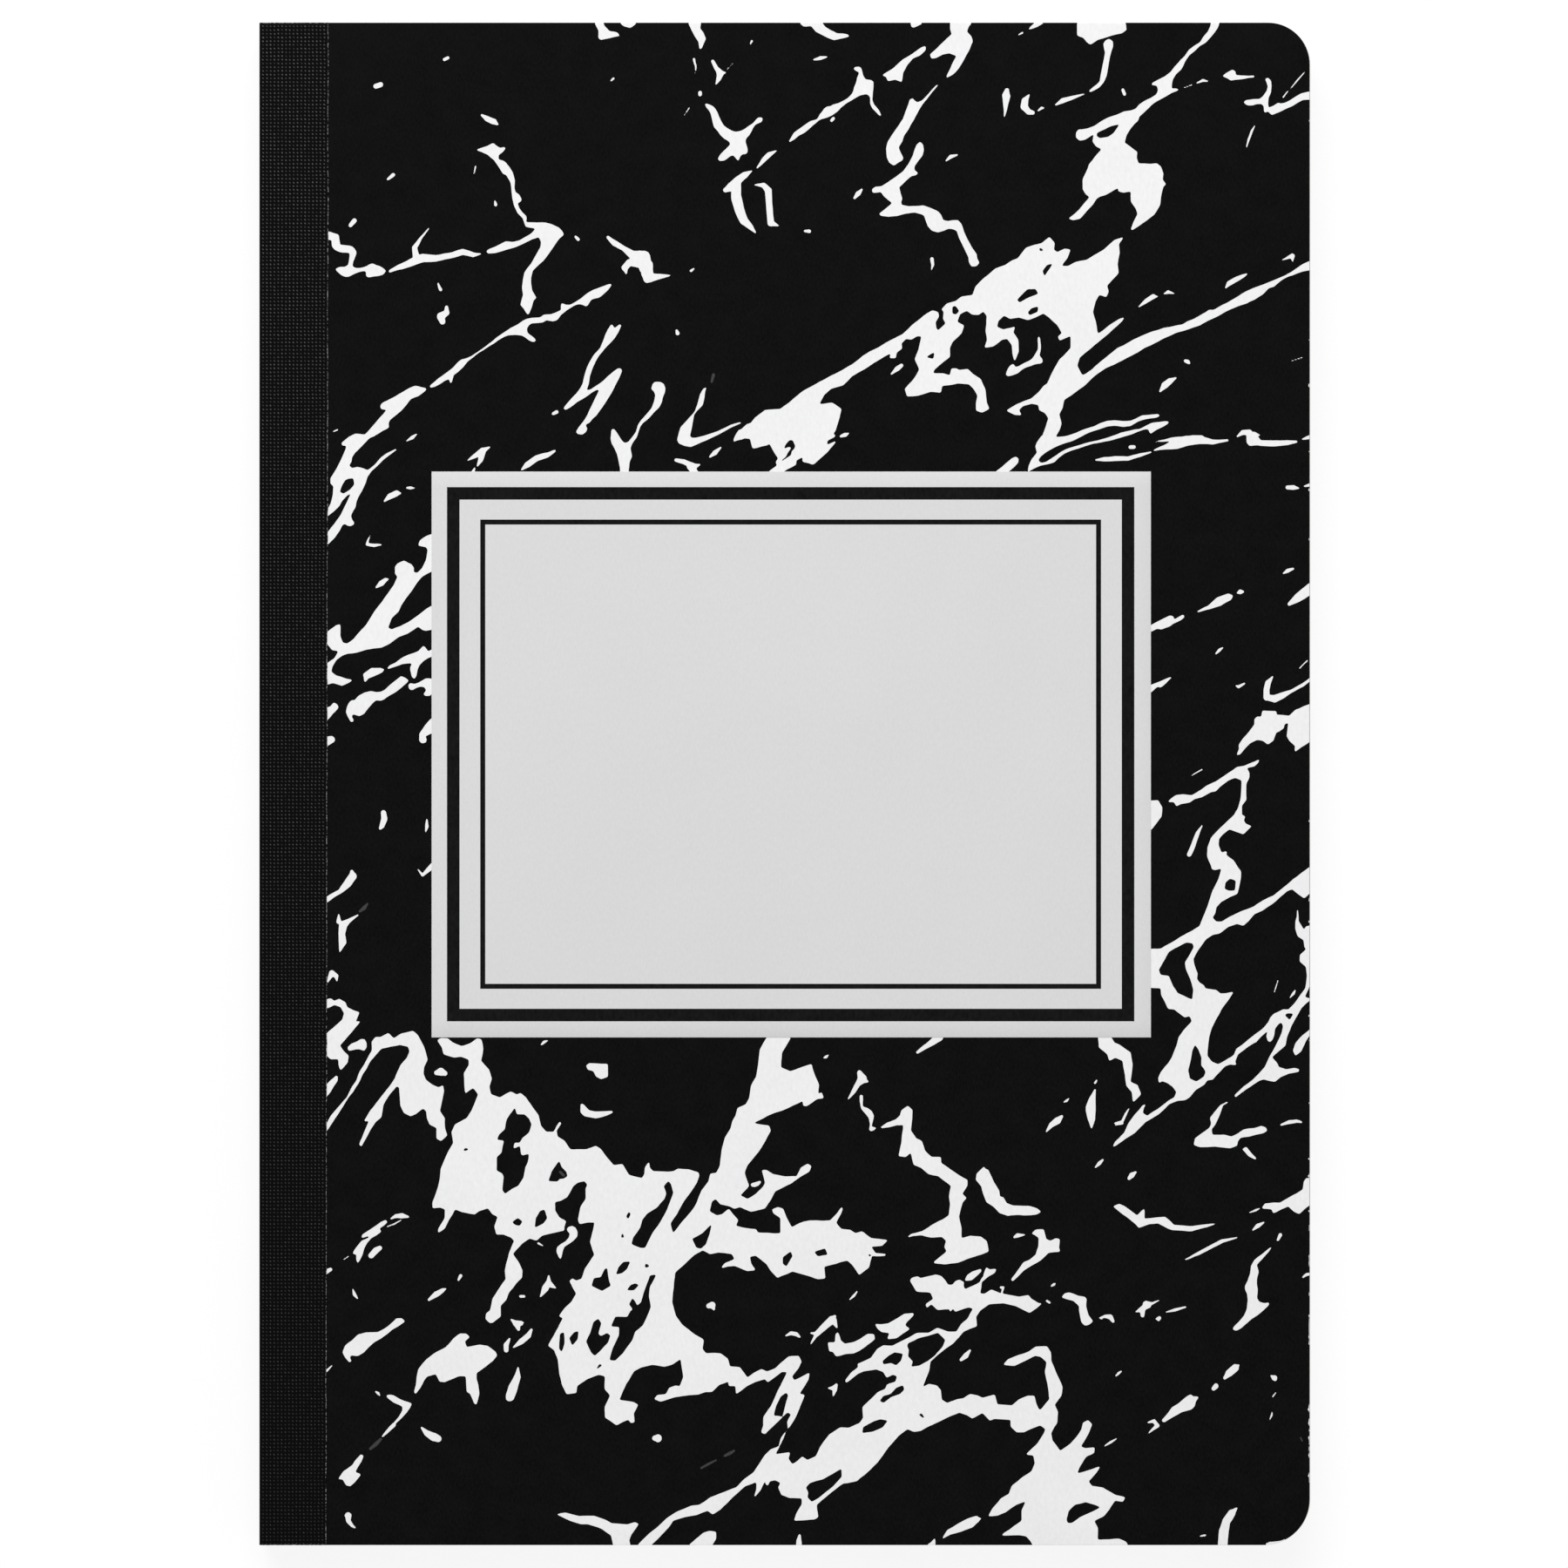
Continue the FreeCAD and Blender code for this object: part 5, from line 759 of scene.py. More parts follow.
     1627.5, 455, 1634, 448, 1640, 442, 1646, 437.5, 1651, 438.5, 1648, 443, 1643, 450, 1635, 458, 1626,
     462, 1619, 462, 1615, 458, 1612.5, 452, 1610, 446, 1606],
    [666, 1266.5, 669, 1267, 673, 1271, 676, 1274, 683, 1275.5, 692, 1275.5, 703.5, 1274.5, 703.5, 1277,
     697, 1280, 690, 1282.5, 684, 1284, 678, 1283, 670, 1281, 666, 1277],
    [650.5, 1410, 653, 1408, 657, 1407, 661, 1409, 663.5, 1414, 663, 1419, 659, 1424, 653, 1428, 648,
     1431, 646, 1436, 645, 1441, 643.5, 1447, 641, 1443, 638.5, 1437, 639, 1432, 643, 1428, 649, 1425,
     653, 1421, 654, 1416, 651, 1413.5],
    [987, 1256.5, 991, 1256.5, 991, 1263, 990.5, 1270, 996, 1271.5, 1001, 1275, 1003.5, 1281, 1002, 1288,
     1001, 1293, 1004, 1293.5, 1007.5, 1294.5, 1004, 1297, 1000, 1299, 998, 1297, 998.5, 1290, 997, 1284,
     993, 1278.5, 988, 1272.5, 987, 1265],
    [861.5, 1358.5, 866, 1357, 874, 1355, 874, 1357.5, 871, 1361, 866, 1363, 862, 1362],
    [1462, 1429.5, 1456, 1437, 1449, 1445, 1445, 1449, 1443, 1452, 1445, 1460, 1443, 1468, 1443, 1474,
     1444, 1480, 1443, 1490, 1446, 1494, 1452, 1495.5, 1458, 1494, 1457, 1498, 1452, 1503, 1445, 1509,
     1437, 1514, 1431, 1519, 1425, 1524.5, 1419, 1527.5, 1415, 1526, 1416, 1523, 1422, 1517, 1428, 1510,
     1431, 1503, 1432, 1492, 1431, 1485, 1429, 1480, 1429, 1476, 1432, 1470, 1435, 1462, 1436, 1453,
     1440, 1446, 1446, 1441, 1453, 1435, 1458, 1431],
]

TAIL_GAPS = [
    # In the tall mass
    [591, 1271, 593, 1279, 602, 1279, 607, 1284, 610, 1290, 607, 1300, 600, 1305, 597, 1311, 591, 1311,
     589, 1319, 597, 1315, 598, 1326, 607, 1324, 605, 1335, 603, 1340, 601, 1352, 595, 1361, 588, 1364,
     580, 1370, 577, 1366, 578, 1350, 576, 1346, 570, 1343, 570, 1328, 576, 1323, 579, 1309, 571, 1308,
     573, 1302, 580, 1296, 582, 1284],
    [532, 1321, 534, 1317, 538, 1318, 537, 1320],
    [642, 1332, 645, 1340, 650, 1345, 651, 1350, 646, 1353, 642, 1353, 640, 1356, 629, 1356, 633, 1345],
    [595, 1398, 600, 1402, 597, 1407, 592, 1406, 588, 1403],
    [614, 1409, 615, 1398, 620, 1390, 625, 1388, 628, 1398, 624, 1404],
    [713, 1421, 714, 1415, 717, 1420],
    [719, 1396, 722, 1390, 724, 1393, 721, 1399],
    [707, 1463, 710, 1455, 716, 1449, 724, 1448, 720, 1457, 714, 1461],
    [740, 1454, 741, 1450, 746, 1453, 742, 1455],
    [679, 1476, 682, 1467, 690, 1466, 694, 1457, 697, 1455, 699, 1470, 701, 1476, 691, 1482],
    [720, 1481, 724, 1475, 729, 1473, 733, 1475, 728, 1481],
    [722, 1497, 726, 1490, 729, 1494, 731, 1499, 736, 1495, 741, 1479, 746, 1464, 753, 1463, 746, 1477,
     745, 1489, 747, 1500, 743, 1510, 738, 1521, 729, 1529, 726, 1538, 715, 1553, 706, 1562, 700, 1561,
     704, 1547, 711, 1532, 711, 1523, 701, 1522, 706, 1511, 720, 1512, 724, 1504, 727, 1504],
    [643, 1531, 647, 1529, 648, 1542, 645, 1552, 642, 1548],
    [653, 1536, 659, 1529, 664, 1528, 663, 1537, 657, 1544],
    [673, 1540, 678, 1530, 681, 1518, 687, 1514, 690, 1519, 687, 1532, 690, 1534, 697, 1530, 701, 1533,
     698, 1541, 690, 1550, 683, 1556, 679, 1552],
    [683, 1573, 688, 1565, 691, 1567],
    [767, 1356, 770, 1359, 773, 1369, 770, 1377, 766, 1388, 758, 1402, 748, 1417, 740, 1432, 735, 1432,
     725, 1428, 727, 1420, 735, 1409, 737, 1400, 743, 1393, 754, 1386, 763, 1376, 765, 1370, 762, 1362],
    [817, 1405, 814, 1417, 810, 1428, 804, 1433, 799, 1432, 795, 1422, 806, 1416],
    [908, 1436, 910, 1442, 903, 1454, 899, 1451, 899, 1443],
    [935, 1437, 947, 1433, 950, 1440, 939, 1442],
    [996, 1439, 1001, 1441, 998, 1443],
    [1106, 1473, 1111, 1473, 1122, 1464, 1128, 1458, 1129, 1464, 1122, 1473, 1108, 1479],
    # In the mass of the foot
    [1013, 1562, 1020, 1556, 1027, 1552, 1036, 1554, 1034, 1562, 1029, 1567, 1023, 1564, 1014, 1566],
    [1042, 1542, 1053, 1537, 1065, 1534, 1077, 1530, 1085, 1538, 1082, 1546, 1073, 1556, 1066, 1561,
     1055, 1567, 1046, 1569, 1048, 1563, 1042, 1557, 1043, 1549, 1041, 1545],
    [1010, 1608, 1014, 1602, 1022, 1600, 1029, 1593, 1037, 1590, 1038, 1595, 1033, 1600, 1023, 1603,
     1014, 1610],
    [1055, 1624, 1058, 1622, 1062, 1628, 1060, 1628],
    [990, 1645, 991, 1638, 1003, 1631, 1010, 1629, 1019, 1631, 1013, 1638, 1002, 1643],
    [966, 1686, 966, 1695, 956, 1706, 940, 1719, 932, 1724, 927, 1719, 928, 1713, 925, 1707, 930, 1702,
     945, 1698],
    [903, 1598, 905, 1601, 901, 1614, 898, 1626, 893, 1625, 888, 1625, 891, 1613, 896, 1603],
    [1224, 1744, 1226, 1735, 1235, 1727, 1247, 1724, 1256, 1727, 1263, 1730, 1254, 1735, 1240, 1741,
     1230, 1748, 1225, 1748],
]

GREY_FLECKS = [
    [413, 1046, 1.3, 418, 1042, 2.3, 422, 1037, 0.9],
    [425, 1663, 1.5, 431, 1658, 2.2, 437, 1652, 1.6],
    [832, 1671, 1.3, 838, 1668, 1.9, 843, 1665, 1],
    [805, 1685, 1.2, 814, 1680, 1.4, 822, 1676, 0.9],
    [643, 1345, 1.4, 647, 1349, 1.6],
    [817, 438, 1.3, 819, 430, 1.8],
    [1493, 1650, 0.8, 1495, 1654, 0.8],
]

# How many numbers make a place: across, down and half width in a stroke, across and down in an outline
STROKE_PLACE = 3
OUTLINE_PLACE = 2

# The window of the picture that the covers fill, and how far from a shape's edge its distance is kept
WINDOW_LEFT = 294
WINDOW_RIGHT = 1508
WINDOW_TOP = 22
WINDOW_FOOT = 1778
REACH = 6.0

# How far before the end of an axis a place is kept, so that it lies inside the last cell
LAST_PLACE = 1.001

# The waver of a marble edge: the picture pixels from one turn to the next in its slow and its quick part, and
# how much of the quick part is added
SLOW_WAVER = 17
QUICK_WAVER = 7
QUICK_SHARE = 0.5

# The worn fore-edge, in picture pixels: from one chip or scuff to the next, the rim that is always bare, how
# deep scuffs, chips and torn chips go, and the heights of the noise where chips and torn chips begin
CHIP_PITCH = 4
SCUFF_PITCH = 19
BARE_RIM = 0.3
SCUFF_DEPTH = 0.35
CHIP_DEPTH = 0.6
TORN_DEPTH = 4
CHIP_FROM = 0.2
TORN_FROM = 0.8

# The wear rises evenly from nought at the head to two at the tail, less this delay. It is kept between its
# least and one, and it begins this many pixels past the line where the round corners begin
WEAR_DELAY = 0.9
LEAST_WEAR = 0.15
CORNER_START = 2

# The parts of the pattern that the back cover has twice: how far each moves across and down after its turn
UPPER_MOVE = (30, -620)
LOWER_MOVE = (250, -560)
FOOT_MOVE = (60, 330)
FOOT_BLOTS = TAIL_BLOTS[3:14]


def smooth_noise(rng, xs, ys, pitch):
    """Random heights from -1 to 1 on a square lattice, eased between its nodes by 3t squared less 2t
    cubed."""
    u = (xs - xs[0]) / pitch
    v = (ys - ys[0]) / pitch
    lattice = rng.uniform(-1, 1, (int(v[-1]) + 2, int(u[-1]) + 2))
    i, j = v.astype(int), u.astype(int)
    s, t = v - i, u - j
    s, t = s * s * (3 - 2 * s), t * t * (3 - 2 * t)
    low = lattice[i][:, j] * (1 - t) + lattice[i][:, j + 1] * t
    high = lattice[i + 1][:, j] * (1 - t) + lattice[i + 1][:, j + 1] * t
    return low * (1 - s)[:, None] + high * s[:, None]


def near(axis, low, high):
    """The part of an evenly spaced axis from low to high, with the reach added on both sides."""
    first, last = np.searchsorted(axis, (low - REACH, high + REACH))
    return slice(first, last)


def stroke_distance(x, y, a, b):
    """Distance from a tapering stroke: the way to the line from a to b, less the half width there. Each end
    is a place across, a place down and a half width."""
    run_x, run_y = b[0] - a[0], b[1] - a[1]
    along = ((x - a[0]) * run_x + (y - a[1]) * run_y) / max(run_x**2 + run_y**2, TINY)
    along = np.clip(along, 0, 1)
    half_width = a[2] + along * (b[2] - a[2])
    return np.hypot(x - a[0] - along * run_x, y - a[1] - along * run_y) - half_width


def draw_strokes(field, xs, ys, stroke):
    """Lowers the field to the distance from each piece of a stroke, which is a run of ends as above."""
    points = np.reshape(stroke, (-1, STROKE_PLACE))
    for a, b in zip(points, points[1:]):
        part = (near(ys, *sorted((a[1], b[1]))), near(xs, *sorted((a[0], b[0]))))
        away = stroke_distance(xs[part[1]][None], ys[part[0]][:, None], a, b)
        field[part] = np.minimum(field[part], away)


def draw_blot(field, xs, ys, outline):
    """Lowers the field to the signed distance from a closed outline: a place in a row is inside where the
    outline has crossed the row an odd number of times before it."""
    loop = np.concatenate([outline, outline[:1]])
    edge = np.full(field.shape, REACH)
    draw_strokes(edge, xs, ys, np.column_stack([loop, np.zeros(len(loop))]))
    turns = np.zeros((len(ys), len(xs) + 1), int)
    for a, b in zip(loop, loop[1:]):
        rows = np.nonzero((ys > a[1]) != (ys > b[1]))[0]
        if len(rows):
            crossing = a[0] + (ys[rows] - a[1]) * (b[0] - a[0]) / (b[1] - a[1])
            turns[rows, np.searchsorted(xs, crossing)] += 1
    inside = np.cumsum(turns, axis=1)[:, :-1] % 2 == 1
    np.minimum(field, np.where(inside, -edge, edge), out=field)


def draw_blots(shape, xs, ys, outlines):
    """The signed distance from a set of closed outlines, with their corners softened."""
    field = np.full(shape, REACH)
    for places in outlines:
        outline = np.reshape(places, (-1, OUTLINE_PLACE))
        (left, top), (right, foot) = outline.min(0), outline.max(0)
        part = (near(ys, top, foot), near(xs, left, right))
        draw_blot(field[part], xs[part[1]], ys[part[0]], outline)
    field[1:-1] = (field[:-2] + 2 * field[1:-1] + field[2:]) / 4
    field[:, 1:-1] = (field[:, :-2] + 2 * field[:, 1:-1] + field[:, 2:]) / 4
    return field


def look_up(field, xs, ys, x, y):
    """The field at free places, mixed from the four grid values round each."""
    cell = xs[1] - xs[0]
    u = np.clip((x - xs[0]) / cell, 0, len(xs) - LAST_PLACE)
    v = np.clip((y - ys[0]) / cell, 0, len(ys) - LAST_PLACE)
    i, j = v.astype(int), u.astype(int)
    s, t = v - i, u - j
    low = field[i, j] * (1 - t) + field[i, j + 1] * t
    high = field[i + 1, j] * (1 - t) + field[i + 1, j + 1] * t
    return low * (1 - s) + high * s


def waver_noise(rng, xs, ys):
    """A slow waver with a share of a quick one on it."""
    slow = smooth_noise(rng, xs, ys, SLOW_WAVER)
    return slow + QUICK_SHARE * smooth_noise(rng, xs, ys, QUICK_WAVER)


def wavering(field, xs, ys, seed, amount):
    """Gives straight edges a hand's waver: each place reads the field a little to one side."""
    rng = np.random.default_rng(seed)
    aside_x, aside_y = waver_noise(rng, xs, ys), waver_noise(rng, xs, ys)
    return look_up(field, xs, ys, xs[None] + amount * aside_x, ys[:, None] + amount * aside_y)


def edge_lines(field, xs, ys):
    """Where the field is zero, as points and lines: each grid cell that the edge crosses gives a line between
    the places where it leaves through the cell's sides, worked out for all cells at once."""
    across = (field[:, :-1] < 0) != (field[:, 1:] < 0)
    down = (field[:-1] < 0) != (field[1:] < 0)
    across_id = np.where(across, np.cumsum(across).reshape(across.shape) - 1, -1)
    down_id = np.where(down, np.cumsum(down).reshape(down.shape) - 1 + across.sum(), -1)
    r, c = np.nonzero(across)
    share = field[r, c] / (field[r, c] - field[r, c + 1])
    points = [np.stack([xs[c] + share * (xs[c + 1] - xs[c]), ys[r]], 1)]
    r, c = np.nonzero(down)
    share = field[r, c] / (field[r, c] - field[r + 1, c])
    points.append(np.stack([xs[c], ys[r] + share * (ys[r + 1] - ys[r])], 1))
    sides = np.stack([across_id[:-1], down_id[:, 1:], across_id[1:], down_id[:, :-1]], -1).reshape(-1, 4)
    crossings = (sides >= 0).sum(1)
    plain = np.sort(sides[crossings == 2], axis=1)[:, 2:]
    middle = (field[:-1, :-1] + field[1:, :-1] + field[:-1, 1:] + field[1:, 1:]).reshape(-1)
    corner = field[:-1, :-1].reshape(-1)
    saddle = crossings == 4
    alike = ((middle < 0) == (corner < 0))[saddle]
    top, right, foot, left = sides[saddle].T
    first = np.stack([top, np.where(alike, right, left)], 1)
    second = np.stack([foot, np.where(alike, left, right)], 1)
    return np.concatenate(points), np.concatenate([plain, first, second])


def front_marble():
    """The strokes, blots and gaps of the front cover, as the picture shows them."""
    veins = HEAD_LEFT_VEINS + HEAD_MIDDLE_VEINS + HEAD_RIGHT_VEINS
    veins = veins + LEFT_SIDE_VEINS + RIGHT_SIDE_VEINS + TAIL_VEINS
    blots = HEAD_LEFT_BLOTS + HEAD_MIDDLE_BLOTS + HEAD_RIGHT_BLOTS
    blots = blots + LEFT_SIDE_BLOTS + RIGHT_SIDE_BLOTS + TAIL_BLOTS
    gaps = HEAD_MIDDLE_GAPS + HEAD_RIGHT_GAPS + LEFT_SIDE_GAPS + RIGHT_SIDE_GAPS + TAIL_GAPS
    return veins, blots, gaps


def turned_round(shapes, numbers, move=(0, 0)):
    """The same shapes turned half round about the cover's middle, then moved across and down. Numbers is how
    many of them make a place."""
    turned = []
    for shape in shapes:
        places = np.array(shape, float).reshape(-1, numbers)
        places[:, 0] = WINDOW_LEFT + WINDOW_RIGHT + move[0] - places[:, 0]
        places[:, 1] = WINDOW_TOP + WINDOW_FOOT + move[1] - places[:, 1]
        turned.append(places)
    return turned


def back_marble():
    """The back cover's pattern: the front's turned half round, with parts of it laid again where the label
    would be."""
    veins, blots, gaps = front_marble()
    veins = turned_round(veins, STROKE_PLACE)
    veins += turned_round(HEAD_LEFT_VEINS, STROKE_PLACE, UPPER_MOVE)
    veins += turned_round(HEAD_RIGHT_VEINS, STROKE_PLACE, LOWER_MOVE)
    blots = turned_round(blots, OUTLINE_PLACE)
    blots += turned_round(HEAD_LEFT_BLOTS, OUTLINE_PLACE, UPPER_MOVE)
    blots += turned_round(HEAD_RIGHT_BLOTS, OUTLINE_PLACE, LOWER_MOVE)
    blots += turned_round(FOOT_BLOTS, OUTLINE_PLACE, FOOT_MOVE)
    gaps = turned_round(gaps, OUTLINE_PLACE)
    gaps += turned_round(HEAD_RIGHT_GAPS, OUTLINE_PLACE, LOWER_MOVE)
    return veins, blots, gaps


def fore_edge_wear(xs, ys, seed, wear):
    """How far each place is from the ragged line where the ink has chipped off the cover's outer edge: the
    way to the rounded outline, less a chipping depth that changes along the edge and grows towards the
    tail."""
    rng = np.random.default_rng(seed)
    right = PICTURE_MIDDLE[0] + FORE_EDGE_X / PIXEL - READING_SHIFT[0]
    head = PICTURE_MIDDLE[1] - HALF_HEIGHT / PIXEL - READING_SHIFT[1]
    tail = PICTURE_MIDDLE[1] + HALF_HEIGHT / PIXEL - READING_SHIFT[1]
    x, y = xs[None], ys[:, None]
    radius = np.where(y < PICTURE_MIDDLE[1], HEAD_RADIUS, TAIL_RADIUS) / PIXEL
    over_x = np.maximum(x - right + radius, 0)
    over_y = np.maximum(np.maximum(head + radius - y, y - tail + radius), 0)
    depth = radius - np.hypot(over_x, over_y)
    chips = smooth_noise(rng, np.arange(2.0), ys, CHIP_PITCH)[:, :1]
    scuffs = smooth_noise(rng, np.arange(2.0), ys, SCUFF_PITCH)[:, :1]
    worn = np.clip(2 * (y - head) / (tail - head) - WEAR_DELAY, LEAST_WEAR, 1)
    ragged = SCUFF_DEPTH + SCUFF_DEPTH * scuffs + CHIP_DEPTH * np.maximum(chips - CHIP_FROM, 0)
    ragged = worn * ragged + TORN_DEPTH * np.maximum(chips - TORN_FROM, 0)
    return np.where(over_x > CORNER_START, depth - (BARE_RIM + wear * ragged), REACH)


def marble_fields(shapes, options, seed):
    """The signed distances of the white ground and of the grey flecks, on one grid over the whole cover. The
    black ink creeps over the white's edge by the same way everywhere."""
    xs = np.arange(WINDOW_LEFT, WINDOW_RIGHT, options.cell)
    ys = np.arange(WINDOW_TOP, WINDOW_FOOT, options.cell)
    size = (len(ys), len(xs))
    veins, blots, gaps = shapes
    white = draw_blots(size, xs, ys, blots)
    for vein in veins:
        draw_strokes(white, xs, ys, vein)
    black = draw_blots(size, xs, ys, gaps)
    white = wavering(np.maximum(white, -black), xs, ys, seed, options.waver) + options.creep
    white = np.minimum(white, fore_edge_wear(xs, ys, seed + 1, options.wear))
    grey = np.full(size, REACH)
    for fleck in GREY_FLECKS:
        draw_strokes(grey, xs, ys, fleck)
    return xs, ys, white, grey


# The numbers of a board's materials, and of a leaf's, in slot order
BLACK, WHITE, GREY, CORE, LINING = range(5)
PLAIN, RULE_BLUE, RULE_RED = range(3)

# How many places a quarter circle has: a cover's corner, a leaf's corner, a leaf's fold, the tape's shoulder
COVER_CORNER_PLACES = 19
LEAF_CORNER_PLACES = 9
FOLD_PLACES = 7
SHOULDER_PLACES = 9
SHARP_ANGLE = math.radians(35)

# How near a place on an outline is to the side that it belongs to, and how near two places are that are one,
# in millimetres
SIDE_GAP = 0.02 * MM
SAME_PLACE = 1e-5

# A thin sheet's rim from its upper face down: at each level, the share of the full step out to its edge,
# across and up, and how much of the roll the first level drops
BOARD_RIM = ((0, 0), (0.4, 0.9), (1, 1), (1, 1), (0.6, 0.6))
BOARD_DROP = 0.2
LABEL_RIM = ((0, 0), (0.7, 0.7), (1, 1), (1, 1))
LABEL_DROP = 0.3

# The least length of a triangle's normal before it is made one long, and the upward share of a level one
NO_AREA = 1e-15
LEVEL = 0.5

# A board on its bake image: how high its face is, where its underside starts, where the strips of its edges
# start and how far apart they are, how much they are stretched, and the clear rim round it all
ATLAS_HEIGHT = 0.69
ATLAS_UNDERSIDE = 0.5
ATLAS_STRIPS = 0.74
ATLAS_STRIP_PITCH = 0.05
ATLAS_STRETCH = 8
ATLAS_RIM = 0.01

# The label's cells count from its edge in: these two are the lines of its frames
THICK_RING = 1
THIN_RING = 3

# The tape's rows: on the spine, over the bend at the hinge and on the cover. The spine's rows stop this far
# below the hinge line, and the bend's rows start this far below it and end this far above it. The cut edge's
# strip begins at this share of the way to it
SPINE_ROWS = 8
SPINE_STOP = 0.2 * MM
BEND_ROWS = 12
BEND_START = 0.15 * MM
BEND_END = 0.5 * MM
FLANGE_ROWS = 16
CUT_STRIP = 0.991

# The tape's frayed edge: the seed of each half, the millimetres from one turn to the next of its fine and
# its slow part, and how much of the slow part is added
FRONT_FRAY_SEED = 41
BACK_FRAY_SEED = 43
FINE_FRAY = 0.9
SLOW_FRAY = 9.0
SLOW_SHARE = 0.6

# How much of its thickness the cloth is pressed down by at its cut edge, and at the head and tail
PRESSED_EDGE = 0.35
PRESSED_ENDS = 0.3

# The radius of a sheet's fold as a share of its height over the middle, and the least that it may be
FOLD_SHARE = 0.5
LEAST_FOLD = 0.002 * MM


def put_mesh(name, points, triangles, slots, materials, atlas=None):
    """A new object from whole arrays: points, triangles and each triangle's material number. The atlas, if it
    is given, is a place on the bake image for every corner of every triangle."""
    mesh = bpy.data.meshes.new(name)
    corners = np.ascontiguousarray(triangles, dtype=np.int32)
    mesh.vertices.add(len(points))
    mesh.vertices.foreach_set("co", np.asarray(points, np.float32).ravel())
    mesh.loops.add(corners.size)
    mesh.loops.foreach_set("vertex_index", corners.ravel())
    mesh.polygons.add(len(corners))
    mesh.polygons.foreach_set("loop_start", np.arange(0, corners.size, 3, dtype=np.int32))
    mesh.polygons.foreach_set("material_index", np.asarray(slots, np.int32))
    for material in materials:
        mesh.materials.append(material)
    mesh.update(calc_edges=True)
    if atlas is not None:
        layer = mesh.uv_layers.new(name="OFBake")
        layer.data.foreach_set("uv", np.asarray(atlas, np.float32).ravel())
    mesh.set_sharp_from_angle(angle=SHARP_ANGLE)
    made = bpy.data.objects.new(name, mesh)
    bpy.context.scene.collection.objects.link(made)
    return made


def halves(quads):
    """Each quad cut into two triangles along its first diagonal."""
    return np.concatenate([quads[:, [0, 1, 2]], quads[:, [0, 2, 3]]])


def grid_quads(rows, columns, wrap_rows=False):
    """The quads of a grid of numbered points, with the last row joined to the first where it wraps."""
    i, j = np.meshgrid(np.arange(rows if wrap_rows else rows - 1), np.arange(columns - 1), indexing="ij")
    following = (i + 1) % rows
    quads = [i * columns + j, following * columns + j, following * columns + j + 1, i * columns + j + 1]
    return np.stack(quads, -1).reshape(-1, 4)


def outline_of_cover(low_x, high_x, half_height, inset):
    """The cover's outline, counter-clockwise: straight sides, square corners at the spine and a quarter
    circle of the head's or tail's radius at each fore-edge corner."""
    turn = np.linspace(0, math.pi / 2, COVER_CORNER_PLACES)
    corners = []
    for radius, side in ((TAIL_RADIUS, -1), (HEAD_RADIUS, 1)):
        angle = turn - math.pi / 2 if side < 0 else turn
        bend = radius - inset
        x = high_x - radius + bend * np.cos(angle)
        y = side * (half_height - radius) + bend * np.sin(angle)
        corners.append(np.stack([x, y], 1))
    spine = low_x + inset
    ends = half_height - inset
    return np.concatenate([[[spine, -ends]], *corners, [[spine, ends]]])


def outward(points, low_x, high_x, half_height, inset, radii):
    """For places on an outline drawn in by the inset, the full step out to the true edge: square to a
    straight side, along the radius at a round corner and along both sides at a square one."""
    x, y = points[:, 0], points[:, 1]
    step = np.zeros((len(points), 2))
    step[x < low_x + inset + SIDE_GAP, 0] = -inset
    step[x > high_x - inset - SIDE_GAP, 0] = inset
    step[y > half_height - inset - SIDE_GAP, 1] = inset
    step[y < -half_height + inset + SIDE_GAP, 1] = -inset
    for radius, side in zip(radii, (1, -1)):
        middle = np.array([high_x - radius, side * (half_height - radius)])
        away = points - middle
        bent = (away[:, 0] > 0) & (side * away[:, 1] > 0) & (radius > inset)
        far = np.maximum(np.hypot(*away.T), TINY)
        step[bent] = (away / far[:, None] * inset)[bent]
    return step


def fill(points, lines):
    """Triangles that fill a flat net of points and lines, all turned counter-clockwise."""
    flat = [Vector(place) for place in (points / MM).tolist()]
    found = delaunay_2d_cdt(flat, lines.tolist(), [], 0, SAME_PLACE, False)
    corners = np.array(found[0])[:, :2] * MM
    triangles = np.array(found[2])
    a, b, c = (corners[triangles[:, k]] for k in range(3))
    area = (b[:, 0] - a[:, 0]) * (c[:, 1] - a[:, 1]) - (b[:, 1] - a[:, 1]) * (c[:, 0] - a[:, 0])
    triangles[area < 0] = triangles[area < 0][:, ::-1]
    return corners, triangles


def rim_of(triangles):
    """The directed edges that only one triangle has, and that triangle's number."""
    edges = np.concatenate([triangles[:, [0, 1]], triangles[:, [1, 2]], triangles[:, [2, 0]]])
    owner = np.tile(np.arange(len(triangles)), 3)
    _, first, count = np.unique(np.sort(edges, axis=1), axis=0, return_index=True, return_counts=True)
    alone = first[count == 1]
    return edges[alone], owner[alone]


